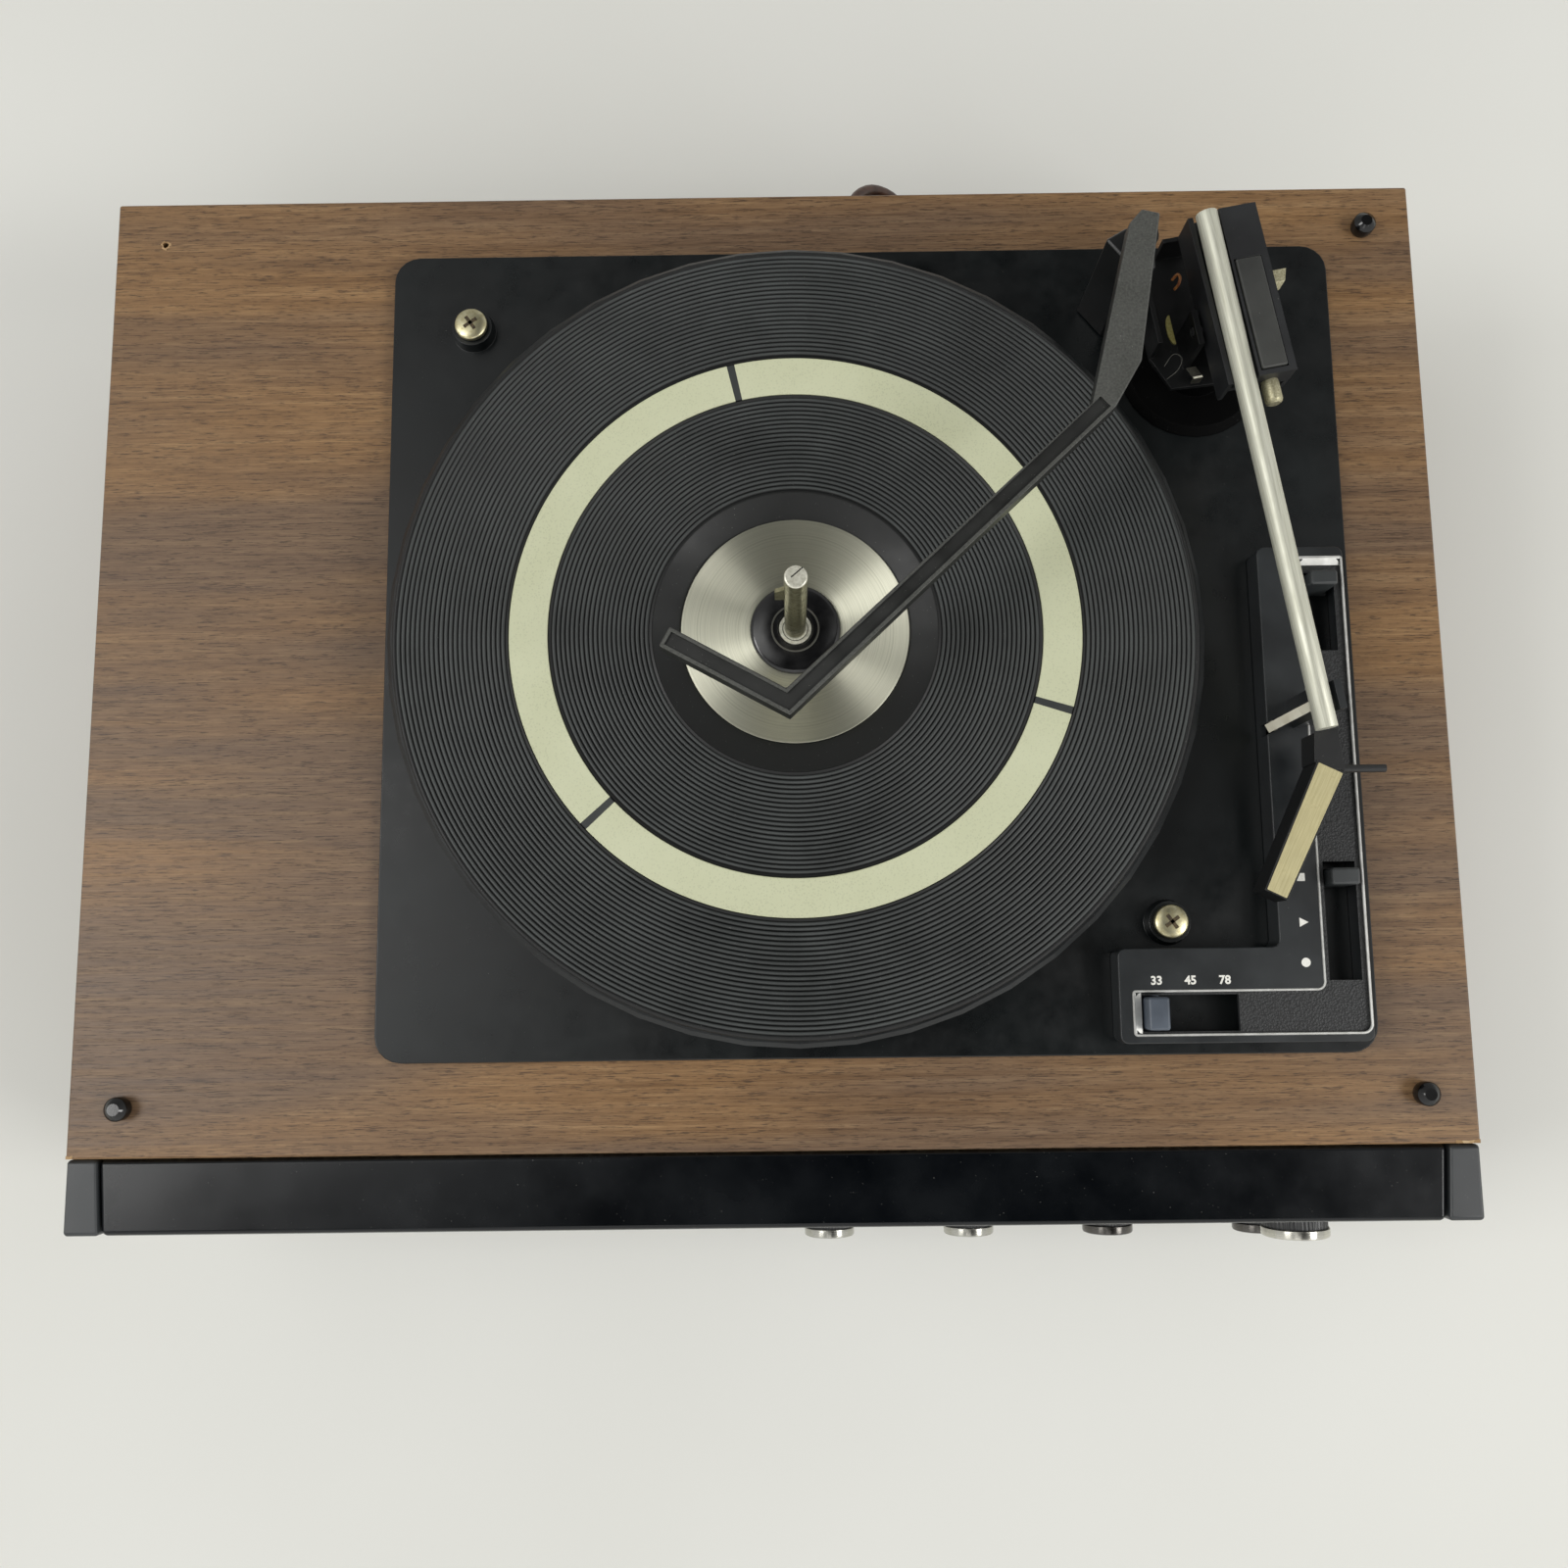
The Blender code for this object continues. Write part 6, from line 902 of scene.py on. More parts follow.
def coil(at, radius, wire, low, high, turns, steps=26, sides=8):
    """A round wire on a helix: its centre turns at a steady climb, its section stays upright."""
    run = np.linspace(0, 1, int(turns * steps) + 1)
    sweep = 2 * math.pi * turns * run
    about = full_turn(sides)
    out = radius + wire * np.cos(about)
    x = at[0] + out * np.cos(sweep)[:, None]
    y = at[1] + out * np.sin(sweep)[:, None]
    z = (low + wire + (high - low - 2 * wire) * run)[:, None] + wire * np.sin(about)
    return np.stack((x, y, z), axis=-1)


for where in ("rear_left", "front_right", "front_left", "rear_right"):
    low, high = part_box("suspension_spring_" + where)
    middle = [(a + b) / 2 for a, b in zip(low, high)]
    wire = 0.0007
    grid = capped(coil(middle, (high[0] - low[0]) / 2 - wire, wire, low[2], high[2], 4))
    spring = surface("spring_" + where, grid, "base", zinc)
    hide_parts("suspension_spring_" + where)

# Motor, stepped pulley, idler and cycle gear: under the platter, seen only with it lifted off.
grey_rubber = moulded_rubber("idler_rubber", "#202020", "#343434", 0.6)
dress(zinc, "motor")
dress(brass, "motor_pulley")
dress(zinc, "idler_bracket")
dress(grey_rubber, "idler_wheel")
dress(white_nylon, "cycle_gear")


# Platter
# Drawn steel dish with a turned-down rim, enamelled black. Its mat hides all but a thin edge.
platter_enamel = black_enamel("platter_black_enamel", "#141617", "#222526", 0.34)
SPINDLE = (0.010, 0.0219)
dress(platter_enamel, "platter")

# Mat: one rubber moulding with fine concentric ribs in two bands, a recess for the cream ring between them
# and a smooth band round the label. The ribs' tops are rubbed to a lighter grey.
MAT_R = 0.1345
MAT_TOP = 0.1515
MAT_UNDER = 0.1490
BORE_R = 0.0062
RIB_PITCH = 0.001575
RING_IN = 0.0824
RING_OUT = 0.0953


def ribbed(start, end, per_rib=8, deep=0.0006):
    """Radius against height over a band of ribs: each rib is a half sine to the power 0.55."""
    count = max(int(round((end - start) / RIB_PITCH)), 1)
    share = np.linspace(0, count, count * per_rib + 1)
    wave = np.abs(np.sin(math.pi * share)) ** 0.55
    return np.stack((start + (end - start) * share / count, MAT_TOP - deep * (1 - wave)), axis=1)


smooth_edge = np.array([(MAT_R - 0.0012, MAT_TOP - 0.0003), (MAT_R - 0.0004, MAT_TOP - 0.0006),
                        (MAT_R, MAT_TOP - 0.0013), (MAT_R, 0.1491), (MAT_R - 0.0002, MAT_UNDER),
                        (BORE_R, MAT_UNDER)])
mat_profile = np.vstack(([(BORE_R, MAT_TOP - 0.0008), (0.0474, MAT_TOP - 0.0008), (0.0478, MAT_TOP - 0.0002)],
                         ribbed(0.0487, RING_IN - 0.0012), [(RING_IN - 0.0004, MAT_TOP - 0.0002)],
                         [(RING_IN - 0.0001, MAT_TOP - 0.0007), (RING_OUT + 0.0001, MAT_TOP - 0.0007)],
                         [(RING_OUT + 0.0004, MAT_TOP - 0.0002)], ribbed(RING_OUT + 0.0012, MAT_R - 0.0016),
                         smooth_edge))
mat_rubber, tree, shader = finish("ribbed_mat_rubber", "#25282a", 0.5, IOR=1.52)
height = add(tree, "SeparateXYZ", {0: here(tree)}).outputs["Z"]
crest = add(tree, "MapRange", {"Value": height, "From Min": MAT_TOP - 0.00022, "From Max": MAT_TOP,
                               "To Min": 0.0, "To Max": 1.0})
worn = grain(tree, 20, 4, roughness=0.6)
amount = times(tree, crest, ramp(tree, worn, (0.3, 0.55), (0.7, 1.0)))
ribs_tone = blend(tree, amount, linear("#0a0c0c"), "#454948")
lint = ramp(tree, grain(tree, 0.5, 1, offset=(3, 3, 9)), (0.76, 0.0), (0.83, 0.5))
paint(tree, shader, blend(tree, lint, ribs_tone, "#a5a69f"))
paint(tree, shader, worn, (0.3, 0.45), (0.7, 0.6), into="Roughness")
relief(tree, shader, grain(tree, 0.3, 2), 0.012, 0.6)
mat = surface("ribbed_mat", ring(SPINDLE, mat_profile[:, 0], mat_profile[:, 1], 176), "turntable", mat_rubber,
              wrap_rows=True, sharp=70)
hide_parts("platter_mat")

# Ring: three arcs of cream styrene let into the mat, printed with a fine dot grid that reads as a warm
# speckle, and parted by black bars.
ring_ink, tree, shader = finish("cream_styrene_ring", "#c0c2a6", 0.5)
place = here(tree)
from_hub = add(tree, "VectorMath", {0: place, 1: (*SPINDLE, 0)}, operation="SUBTRACT")
split_hub = add(tree, "SeparateXYZ", {0: from_hub})
turn_share = add(tree, "Math", {0: split_hub.outputs["Y"], 1: split_hub.outputs["X"]}, operation="ARCTAN2")
flat_from_hub = add(tree, "VectorMath", {0: from_hub, 1: (1, 1, 0)}, operation="MULTIPLY")
reach = add(tree, "VectorMath", {0: flat_from_hub}, operation="LENGTH").outputs["Value"]
polar = add(tree, "CombineXYZ", {0: times(tree, turn_share, 89.0), 1: times(tree, reach, 1000.0)})
flecks = add(tree, "TexVoronoi", {"Vector": polar, "Scale": 1.15})
speckle = ramp(tree, flecks.outputs["Distance"], (0.10, "#a4a787"), (0.42, "#bfc2a0"))
slow = grain(tree, 28, 3)
paint(tree, shader, blend(tree, slow, speckle, "#d2d5b7"))
relief(tree, shader, flecks.outputs["Distance"], 0.02, 0.5)
BAR_TURNS = [102.7, 222.7, 342.7]
ring_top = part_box("mat_ring")[1][2]


def arc_plates(first, last, high, edge=0.0002, steps=90):
    """Flat arcs in the ring's recess, one for each bar: a rectangle with its upper corners eased is swept
    about the spindle from one angle to the other, both counted from the bar's middle."""
    low = MAT_TOP - 0.0008
    section = np.array([(RING_IN, low), (RING_IN, high - edge), (RING_IN + edge, high),
                        (RING_OUT - edge, high), (RING_OUT, high - edge), (RING_OUT, low)])
    arcs = []
    for turn in BAR_TURNS:
        sweep = np.radians(np.linspace(turn + first, turn + last, steps))[:, None]
        x = SPINDLE[0] + section[:, 0] * np.cos(sweep)
        y = SPINDLE[1] + section[:, 0] * np.sin(sweep)
        arcs.append(capped(np.stack((x, y, section[:, 1] + 0 * x), axis=-1)))
    return np.stack(arcs)


bar_half = math.degrees(0.00125 / 0.089)
arcs = arc_plates(bar_half, 120 - bar_half, ring_top)
cream_ring = surface("cream_ring_arcs", arcs, "turntable", ring_ink)
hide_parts("mat_ring")
dividers = arc_plates(-bar_half, bar_half, ring_top - 0.0001, steps=4)
surface("ring_dividers", dividers, "turntable", mat_rubber)

# Label disc: a spun aluminium dish, lacquered, with bright wedges wherever its circles face the light, and
# bare where the real one is printed.
disc_metal = spun("spun_aluminium_disc", "#c6c6b1", "#ebead7", 0.36, (*SPINDLE, 0), fine=0.35, metal=0.95)
disc_low, disc_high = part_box("label_disc")
top = disc_high[2]
disc_radii = [0.0070, 0.0366, 0.0372, 0.0378, 0.0380, 0.0380, 0.0070]
disc_levels = [top - 0.0001, top - 0.0001, top, top, top - 0.0003, disc_low[2], disc_low[2]]
disc = surface("spun_label_disc", ring(SPINDLE, disc_radii, disc_levels, 160), "turntable", disc_metal,
               wrap_rows=True, sharp=25)
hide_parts("label_disc")

# Hub cap: a glossy black styrene disc. The thin grey ring on it is a painted highlight, standing for the
# light caught in a groove of the cap.
gloss_styrene, tree, shader = finish("gloss_black_styrene", "#0d0d0e", 0.16, IOR=1.58,
                                     mottle=(6, 3, (0.3, "#0b0b0c"), (0.7, "#19191a")))
paint(tree, shader, grain(tree, 4, 4, offset=(1, 2, 3)), (0.3, 0.12), (0.7, 0.26), into="Roughness")
cap_low, cap_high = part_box("hub_cap")
top = cap_high[2]
cap_radii = [0.0058, 0.0060, 0.0072, 0.0073, 0.0082, 0.0136, 0.0146, 0.0150, 0.0150, 0.0058]
cap_levels = [top - 0.0004, top - 0.0002, top - 0.0002, top - 0.0003, top - 0.0003, top - 0.0006,
              top - 0.0010, top - 0.0016, cap_low[2], cap_low[2]]
hub_cap = surface("gloss_hub_cap", ring(SPINDLE, cap_radii, cap_levels, 72), "turntable", gloss_styrene,
                  wrap_rows=True)
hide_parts("hub_cap")
# Painted highlight: a grey ring raised a fraction over the cap where its groove catches the light.
groove_highlight_levels = top - np.array([4, 1, 0, 0, 1, 4]) * 0.0001
groove_highlight_ring = ring(SPINDLE, [0.0074, 0.0074, 0.0075, 0.0079, 0.0080, 0.0080], groove_highlight_levels, 64)
groove_highlight_grey = finish("painted_groove_highlight", "#5c5b55", 0.36, 0.4)[0]
surface("hub_groove_highlight", groove_highlight_ring, "turntable", groove_highlight_grey, wrap_rows=True)

# Spindle: a stained steel stem with the pusher inside, standing in a sleeve. Its slanted top and the sleeve's
# rim are a paler steel, which is painted highlight where they face the light. A dark bar across the top is
# painted shade for the slot in it, and a dark ring round the sleeve is painted shade for the gap to the hub
# cap.
# Painted highlight: a paler, half-metallic steel for the faces that catch the light.
highlit_steel = mottled("steel_painted_highlight", "#d8d6c6", 0.32, 0.8, 3, (0.3, "#c4c2b1"), (0.7, "#e9e8da"),
                   metallic=0.45)
stained = plated("stained_steel", "#77745a", "#aba787", 0.32, 2.0)
spindle = eased("spindle", 0.00015, [stained, highlit_steel])
centre = per_face(spindle, "center")
off_axis = np.hypot(centre[:, 0] - SPINDLE[0], centre[:, 1] - SPINDLE[1])
# The top 3 mm and the wide sleeve faces take the painted highlight.
highlit_faces = (centre[:, 2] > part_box("spindle")[1][2] - 0.0030) | (off_axis > 0.0037)
second_look(spindle, highlit_faces)
# Painted shade: a thin dark bar on the top stands for the shade inside the slot.
SLOT_Z = 0.21417
slot_shade_line = [(SPINDLE[0] + x, SPINDLE[1] + y, SLOT_Z) for x, y in ((-0.0014, -0.0002), (0.0020, 0.0027))]
bars("spindle_slot_shade", [slot_shade_line], 0.0004, 0.00003, "base", dial_black)
dress(stained, "spindle_pusher")
SLEEVE_TOP = 0.1538
# Painted shade: a dark inked ring stands for the shade in the gap between the sleeve and the hub cap.
for name, inner, outer, rise, look in (("sleeve_gap_shade", 0.0036, 0.0042, 0.00004, dial_black),
                                       ("sleeve_ring", 0.0042, 0.0054, 0.00012, highlit_steel)):
    level = SLEEVE_TOP + np.array([-2, 1, 1, -2]) * rise
    surface(name, ring(SPINDLE, [inner, inner + 0.0001, outer - 0.0001, outer], level, 48), "base", look,
            wrap_rows=True)


# Record balance arm
# A moulded black arm on a nickel post: a broad root, a long narrow leg and a hooked tip, channelled along
# the top. Its uppermost faces are painted a paler grey in patches, partly rubbed wear and partly painted
# highlight. The pedestal under it is part of the deck.
def rubbed_styrene(name, dark, light, rim_level, rim="#63645f", roughness=0.42):
    """Black styrene with a coarse satin grain, whose uppermost faces are painted a paler grey: rubbed wear
    and painted highlight.
    """
    made, tree, shader = finish(name, dark, roughness, IOR=1.58)
    slow = grain(tree, 12, 4, roughness=0.6)
    base = ramp(tree, slow, (0.35, dark), (0.70, light))
    level = add(tree, "SeparateXYZ", {0: here(tree)}).outputs["Z"]
    # Painted highlight with wear: faces within half a millimetre of the top are blended towards the rim grey.
    limits = {"From Min": rim_level - 0.0005, "From Max": rim_level - 0.0001}
    high = add(tree, "MapRange", {"Value": level, **limits})
    rubbed_and_highlit = times(tree, high, ramp(tree, grain(tree, 0.7, 3), (0.3, 0.30), (0.7, 0.66)))
    worn = blend(tree, rubbed_and_highlit, base, rim)
    dust = ramp(tree, grain(tree, 0.5, 1, offset=(6, 2, 8)), (0.74, 0.0), (0.81, 0.6))
    paint(tree, shader, blend(tree, dust, worn, "#b4b3aa"))
    paint(tree, shader, slow, (0.3, roughness - 0.05), (0.7, roughness + 0.08), into="Roughness")
    relief(tree, shader, grain(tree, 0.45, 2), 0.02, 0.8)
    return made


arm_styrene = rubbed_styrene("balance_arm_styrene", "#131412", "#1f201e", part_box("overarm")[1][2])
pedestal_styrene = satin_styrene("pedestal_styrene", "#090a0b", "#131516", 0.4)
eased("overarm_pedestal", 0.0005, pedestal_styrene)
dress(nickel, "overarm_post")
eased("overarm", 0.0005, arm_styrene, body="balance_arm")


# Tonearm
# A satin aluminium tube on a black moulded block, gimballed in a pressed steel turret. The block holds the
# balance weight under a grained lid, and a plated screw at its front sets the tracking force.
PIVOT = np.array([0.152, 0.1205, 0.0])
AHEAD = np.array([0.1754, -0.9845, 0.0])
RIGHT = np.array([0.9845, 0.1754, 0.0])
ARM_TURN = math.radians(-79.9)


def on_arm(points):
    """Arm-frame points (ahead, right, height) as world points: pivot + ahead * s + right * t, with z kept."""
    points = np.asarray(points, float)
    flat = PIVOT + points[..., :1] * AHEAD + points[..., 1:2] * RIGHT
    return flat + points[..., 2:] * np.array((0, 0, 1.0))


def tube(path, radius, columns=24, side=(0, 0, 1)):
    """A round section carried along a path. Its axes are cross products of its direction and side."""
    path = np.asarray(path, float)
    radius = np.broadcast_to(np.asarray(radius, float), len(path))[:, None, None]
    along = unit(np.gradient(path, axis=0))
    first = unit(np.cross(along, side))
    second = np.cross(along, first)
    turn = full_turn(columns)[:, None]
    return path[:, None] + radius * (first[:, None] * np.cos(turn) + second[:, None] * np.sin(turn))


turret_steel = black_enamel("turret_black_steel", "#090a0b", "#131414", 0.34)
block_styrene = satin_styrene("block_black_styrene", "#121315", "#202224", 0.44, 0.4, 0.02)
base_styrene = satin_styrene("arm_base_styrene", "#010101", "#040404", 0.6, Specular_IOR_Level=0.05)
eased("arm_base", 0.0002, base_styrene)
eased("arm_turret", 0.00025, turret_steel, body="turret")
eased("arm_block", 0.0005, block_styrene, body="tonearm")
lid_styrene = satin_styrene("lid_grained_styrene", "#2a2b29", "#3d3e3b", 0.5, 0.7, 0.05)
eased("counterweight", 0.0007, lid_styrene, body="tonearm")

# Tube: drawn aluminium, satin anodised, with a faint pull along its length and a rolled lip at its rear
# end.
tube_metal, tree, shader = finish("satin_anodised_aluminium", "#c6c5b6", 0.48, 0.55)
pull = grain(tree, 0.5, 3, (60, 1, 1), turn=ARM_TURN)
paint(tree, shader, pull, (0.3, "#bfbfae"), (0.7, "#dcdccd"))
paint(tree, shader, grain(tree, 9, 4), (0.3, 0.42), (0.7, 0.54), into="Roughness")
relief(tree, shader, pull, 0.006, 0.5)
TUBE_Z = 0.1754
tube_s = np.array([-0.0300, -0.0330, -0.03345, -0.0335, -0.0334, -0.0330, -0.0320, 0.0, 0.05, 0.10, 0.1393,
                   0.1395, 0.1395])
tube_r = np.array([0.0029, 0.0029, 0.0030, 0.00325, 0.0035, 0.00355, 0.0035, 0.0035, 0.0035, 0.0035, 0.0035,
                   0.0034, 0.0005])
tube_line = on_arm(np.stack((tube_s, 0 * tube_s, TUBE_Z - 0.0044 * tube_s / 0.1395), axis=1))
turn = full_turn(40)[:, None]
tube_round = RIGHT * np.cos(turn) + np.array((0, 0, 1)) * np.sin(turn)
tube_grid = capped(tube_line[:, None] + tube_r[:, None, None] * tube_round)
arm_tube = surface("drawn_arm_tube", tube_grid, "tonearm", tube_metal)
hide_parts("tonearm_tube")

# Force screw: a thick plated stud with a rounded end.
turn = full_turn(48)
stud_s = np.array([0.0225, 0.0225, 0.0250, 0.0254, 0.0310, 0.0318, 0.0323, 0.0323])
stud_r = np.array([0.0, 0.0028, 0.0028, 0.0029, 0.0029, 0.0026, 0.0019, 0.0])
stud = stud_r[:, None] + 0 * turn
stud_grid = np.stack((stud_s[:, None] + 0 * stud, 0.0092 + stud * np.cos(turn),
                      0.17055 + stud * np.sin(turn)), axis=-1)
stud_steel = mottled("dulled_stud_steel", "#a9a382", 0.45, 0.5, 3, (0.3, "#979172"), (0.7, "#c6c1a3"),
                     metallic=0.6)
surface("force_screw", on_arm(stud_grid), "tonearm", stud_steel)

# Small works that show in the open turret: a brass bearing plate, a tinned bracket and the cartridge's thin
# leads.
plate_brass = plated("bright_brass_plate", "#b5ab63", "#d8d08c", 0.36, 1.0)
plate_turn = np.radians(np.linspace(0, 360, 48, endpoint=False))
half_disc = np.stack((0.0052 * np.cos(plate_turn), 0.0052 * np.maximum(np.sin(plate_turn), -0.15)), axis=1)
brass_rows = []
for z, scale in ((0.1590, 0.0), (0.1590, 1.0), (0.1597, 1.0), (0.1597, 0.0)):
    s = -0.0035 + scale * half_disc[:, 0]
    t = -0.0138 - 0.34 * scale * half_disc[:, 1]
    brass_rows.append(np.stack((s, t, np.full(len(s), z)), axis=1))
surface("bearing_plate", on_arm(brass_rows), "turret", plate_brass)


def strip(path, wide, thick, across):
    """A flat strip: a rectangle, wide along one fixed direction, carried along a path."""
    path = np.asarray(path, float)
    across = np.asarray(across, float)
    along = unit(np.gradient(path, axis=0))
    out = unit(np.cross(along, across))
    section = np.array([(-wide / 2, 0), (wide / 2, 0), (wide / 2, thick), (-wide / 2, thick)])
    return capped(path[:, None] + section[:, 0, None] * across + section[:, 1, None] * out[:, None])


tinned = plated("tinned_steel", "#9c9a8c", "#cfccbb", 0.3, 1.2)
bracket = on_arm([(0.0120, -0.0060, 0.1480), (0.0120, -0.0062, 0.1525), (0.0115, -0.0066, 0.1530),
                  (0.0080, -0.0080, 0.1530)])
surface("turret_bracket", strip(bracket, 0.0032, 0.0006, RIGHT), "turret", tinned)
wire_red = mottled("orange_lead_pvc", "#93552a", 0.5, 1, 2, (0.3, "#7c3c1e"), (0.7, "#a8733c"))
wire_white = mottled("grey_lead_enamel", "#66655e", 0.5, 1, 2, (0.3, "#55544d"), (0.7, "#7b7a72"))


def lead_wire(name, points, radius, material):
    """A thin lead through a few points: a cubic through each, from the slopes between its neighbours."""
    points = on_arm(points)
    slope = np.gradient(points, axis=0)
    share = np.linspace(0, 1, 9)[:-1, None]
    a, b, u, v = points[:-1, None], points[1:, None], slope[:-1, None], slope[1:, None]
    curve = ((2 * share ** 3 - 3 * share ** 2 + 1) * a + (share ** 3 - 2 * share ** 2 + share) * u
             + (3 * share ** 2 - 2 * share ** 3) * b + (share ** 3 - share ** 2) * v)
    line = np.vstack((curve.reshape(-1, 3), points[-1:]))
    return surface(name, capped(tube(line, radius, 8, side=(0.3, 0.5, 0.81))), "turret", material)


lead_wire("lead_red", [(-0.0232, -0.0078, 0.1545), (-0.0236, -0.0066, 0.1570), (-0.0222, -0.0060, 0.1572),
                       (-0.0208, -0.0064, 0.1555), (-0.0204, -0.0072, 0.1530)], 0.0005, wire_red)
lead_wire("lead_white", [(0.0040, -0.0150, 0.1480), (0.0020, -0.0125, 0.1520), (0.0045, -0.0105, 0.1535),
                         (0.0075, -0.0120, 0.1515), (0.0085, -0.0150, 0.1475)], 0.00008, wire_white)

# Tab: a bent steel lug that sticks out on the right of the block.
lug_path = on_arm([(-0.0062, 0.0155, 0.1655), (-0.0066, 0.0180, 0.1692), (-0.0084, 0.0196, 0.1714),
                   (-0.0122, 0.0206, 0.1719)])
surface("side_lug", strip(lug_path, 0.0052, 0.0006, RIGHT), "tonearm", stud_steel)

# Headshell: a black moulding with a brushed, gold-anodised name strip on top, left bare, and a finger lift.
SHELL = np.array([0.1785, -0.0284, 0.0])
SHELL_AHEAD = np.array([-0.4399, -0.8980, 0.0])
SHELL_RIGHT = np.array([0.8980, -0.4399, 0.0])
SHELL_TOP = 0.1675
SHELL_TURN = math.atan2(SHELL_AHEAD[1], SHELL_AHEAD[0])
shell_styrene = satin_styrene("shell_black_styrene", "#0b0c0d", "#151616", 0.38)
eased("headshell", 0.0004, shell_styrene, body="tonearm")
gold, tree, shader = finish("gold_anodised_strip", "#cdc292", 0.42, 0.6)
brush = grain(tree, 0.22, 4, (50, 1, 1), 0.65, turn=SHELL_TURN)
stains = grain(tree, 5, 4, roughness=0.65)
brushed = ramp(tree, brush, (0.3, "#c0b586"), (0.7, "#ddd4a8"))
marks = ramp(tree, stains, (0.58, 0.0), (0.74, 0.5))
paint(tree, shader, blend(tree, marks, brushed, "#a1976c"))
paint(tree, shader, stains, (0.3, 0.36), (0.7, 0.50), into="Roughness")
relief(tree, shader, brush, 0.006, 0.5)


def inset(outline, reach):
    """A closed outline moved inwards: each corner shifts along the sum of its edges' normals."""
    outline = np.asarray(outline, float)
    ahead = unit(np.roll(outline, -1, axis=0) - outline)
    normal = np.stack((-ahead[:, 1], ahead[:, 0]), axis=1)
    both = normal + np.roll(normal, 1, axis=0)
    return outline + reach * both * 2 / (both ** 2).sum(axis=1, keepdims=True)


def rounded(corners, radius, steps=6):
    """Each corner replaced by an arc: points swing between the tangent points about its centre."""
    corners = np.asarray(corners, float)
    back = unit(np.roll(corners, 1, axis=0) - corners)
    ahead = unit(np.roll(corners, -1, axis=0) - corners)
    half = np.arccos(np.clip((back * ahead).sum(axis=1, keepdims=True), -1, 1)) / 2
    centre = corners + unit(back + ahead) * radius / np.sin(half)
    start = corners + back * radius / np.tan(half) - centre
    stop = corners + ahead * radius / np.tan(half) - centre
    sweep = (math.pi - 2 * half)[:, :, None]
    share = np.linspace(0, 1, steps + 1)[None, :, None]
    near = np.sin((1 - share) * sweep) * start[:, None]
    far = np.sin(share * sweep) * stop[:, None]
    return (centre[:, None] + (near + far) / np.sin(sweep)).reshape(-1, 2)


def slab(outline, layers):
    """A thin flat piece: the outline, inset by each layer's amount at its height, and closed at both ends."""
    return capped(np.stack([at_height(inset(outline, reach), z) for reach, z in layers]))


strip_corners = np.array([(0.0006, 0.0041), (0.0006, -0.0041), (0.0445, -0.0033), (0.0445, 0.0033)])
strip_outline = SHELL[:2] + strip_corners @ np.array([SHELL_AHEAD[:2], SHELL_RIGHT[:2]])
strip_layers = [(0.0, SHELL_TOP - 0.0002), (0.0, SHELL_TOP + 0.00015), (0.00012, SHELL_TOP + 0.00025)]
surface("gold_strip", slab(rounded(strip_outline, 0.0003, 3), strip_layers), "tonearm", gold)

# Cartridge and stylus, clipped up inside the shell.
cartridge_grey, tree, shader = finish("cartridge_grey_styrene", "#3b3d3f", 0.42, IOR=1.58,
                                      mottle=(3, 3, (0.3, "#333537"), (0.7, "#46484a")))
relief(tree, shader, grain(tree, 0.4, 2), 0.01, 0.6)
eased("cartridge", 0.0004, cartridge_grey, body="tonearm")
stylus_red = mottled("stylus_holder_nylon", "#8e2a1e", 0.45, 1.5, 3, (0.3, "#7f2419"), (0.7, "#a0382a"))
dress(stylus_red, "stylus")


# Console
# A black styrene moulding at the right, smooth on top, with a leather-grained channel edged by a bright
# foil line. Slots in it take the speed, start and cue levers. Plain numbers and marks stand by them.
CONSOLE_Z = 0.143
NOTCH_DEPTH = 0.0056
HEEL_ROOM = 0.0006
CHANNEL_DEPTH = 0.001
console_top = satin_styrene("console_black_styrene", "#15181a", "#24282a", 0.34)
channel_leather, tree, shader = finish("leather_grained_styrene", "#1b1c1c", 0.5, IOR=1.58)
cells = add(tree, "TexVoronoi", {"Vector": here(tree), "Scale": 1500.0}, feature="F1")
paint(tree, shader, cells.outputs["Distance"], (0.15, "#242627"), (0.7, "#0f1011"))
relief(tree, shader, cells.outputs["Distance"], 0.12, 0.8)
console = eased("console", 0.0006, [console_top, channel_leather], outer_only=True)
# The floor of the rest latch's notch lies 0.6 mm deeper here than in the CAD, where the latch's heel passes
# 0.4 mm into it at the end of its fold. That fault of the solids doesn't show here.
corners = np.zeros(len(console.data.vertices) * 3)
console.data.vertices.foreach_get("co", corners)
corners = corners.reshape(-1, 3)
notch_floor = np.abs(corners[:, 2] - (CONSOLE_Z - NOTCH_DEPTH)) < 0.0001
corners[notch_floor, 2] -= HEEL_ROOM
console.data.vertices.foreach_set("co", corners.ravel())
centre = per_face(console, "center")
CHANNEL_X = SPINDLE[0] + 0.108
channel_level = np.abs(centre[:, 2] - (CONSOLE_Z - CHANNEL_DEPTH)) < 0.0002
channel_floor = channel_level & (centre[:, 0] > CHANNEL_X)
second_look(console, channel_floor)

foil, tree, shader = finish("bright_foil_trim", "#dcdcd8", 0.36, 0.6)
foil_wear = grain(tree, 3, 3)
paint(tree, shader, foil_wear, (0.3, "#cfcfca"), (0.7, "#ecece8"))
channel = np.array(SPINDLE) + [(0.1090, -0.1340), (0.1856, -0.1340), (0.1856, 0.0250), (0.1716, 0.0250),
                               (0.1716, -0.1204), (0.1090, -0.1204)]
edge = rounded(channel, np.array([[0.0006], [0.0028], [0.0004], [0.0006], [0.0028], [0.0005]]), 8)
trim_section = [(0.0001, 0.1424), (0.0001, 0.1431), (-0.0001, 0.1433), (-0.0005, 0.1433), (-0.0007, 0.1430),
                (-0.0007, 0.1424)]
trim_rows = [at_height(inset(edge, reach), z) for reach, z in trim_section]
surface("channel_trim", trim_rows, "base", foil, wrap_rows=True)


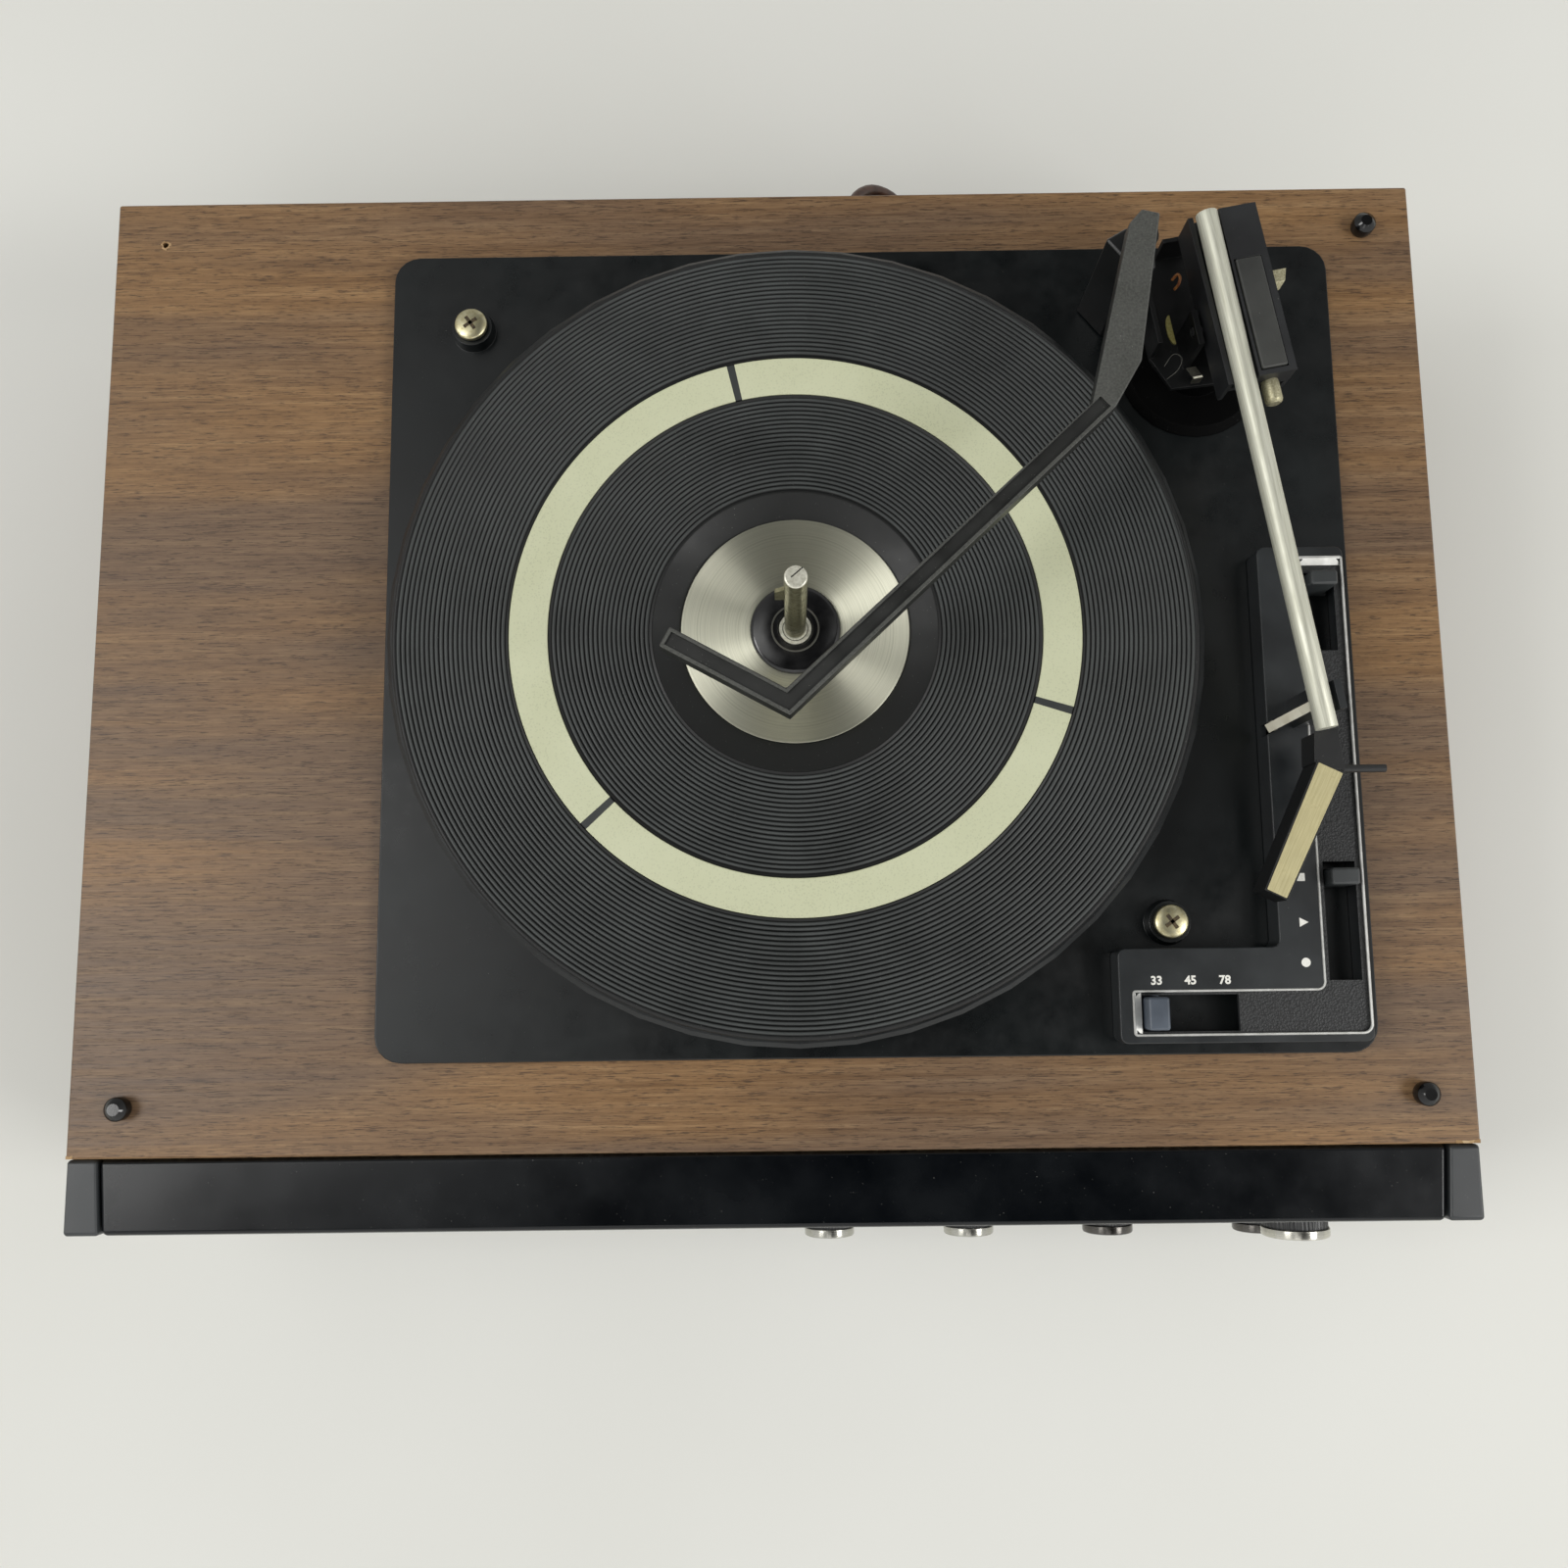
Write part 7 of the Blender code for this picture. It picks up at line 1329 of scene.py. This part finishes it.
def wedge(low, high, z_low, z_high, rise):
    """A sloped band: a box whose top climbs along one direction, for the channel's two bright ends."""
    x0, y0 = low
    x1, y1 = high
    tops = {"+y": (z_low, z_low, z_high, z_high), "-x": (z_high, z_low, z_low, z_high)}[rise]
    plan = [(x0, y0), (x1, y0), (x1, y1), (x0, y1)]
    floor = CONSOLE_Z - 0.0014
    under = [(x, y, floor) for x, y in plan]
    over = [(x, y, z) for (x, y), z in zip(plan, tops)]
    return capped(np.array([under, over]))


for name, low, high, rise in (("channel_band_top", (0.1717, 0.0226), (0.1855, 0.0249), "+y"),
                              ("channel_band_left", (0.1091, -0.1339), (0.1113, -0.1205), "-x")):
    low, high = ((SPINDLE[0] + x, SPINDLE[1] + y) for x, y in (low, high))
    surface(name, wedge(low, high, 0.1422, 0.1431, rise), "base", foil)

mark_z = CONSOLE_Z - 0.00001
speeds = (("33", 0.1264), ("45", 0.1375), ("78", 0.1487))
speed_items = [(text, (x, -0.0949, mark_z), 0.0027) for text, x in speeds]
lettering("speed_numbers", speed_items, (1, 0, 0), (0, 1, 0), "base")
MARK_X = 0.1755
square = np.array([(-1, -1), (1, -1), (1, 1), (-1, 1)]) * 0.0013
triangle = np.array([(-0.0013, -0.0015), (0.0016, 0), (-0.0013, 0.0015)])
turn = full_turn(32)
dot = 0.0015 * np.column_stack((np.cos(turn), np.sin(turn)))
mark_layers = [(0, mark_z), (0, mark_z + 0.00004)]
for name, outline, y in (("square", square, -0.0616), ("triangle", triangle, -0.0764), ("dot", dot, -0.0895)):
    surface("mark_" + name, slab(outline + (MARK_X, y), mark_layers), "base", ink)

# Levers: moulded tabs that stand up out of their slots on steel strips.
speed_blue = satin_styrene("grey_blue_styrene", "#3b424c", "#5c6571", 0.4, 0.4, 0.01)
lever_grey = satin_styrene("lever_dark_grey_styrene", "#26292a", "#3d4142", 0.42, 0.4, 0.01)
eased("speed_lever", 0.0004, speed_blue, body="speed")
eased("start_lever", 0.0004, lever_grey, body="start")
eased("cue_lever", 0.0004, lever_grey, body="cue")
dress(white_nylon, "rest_latch")


# The box of everything visible, the floor left out.
low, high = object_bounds()
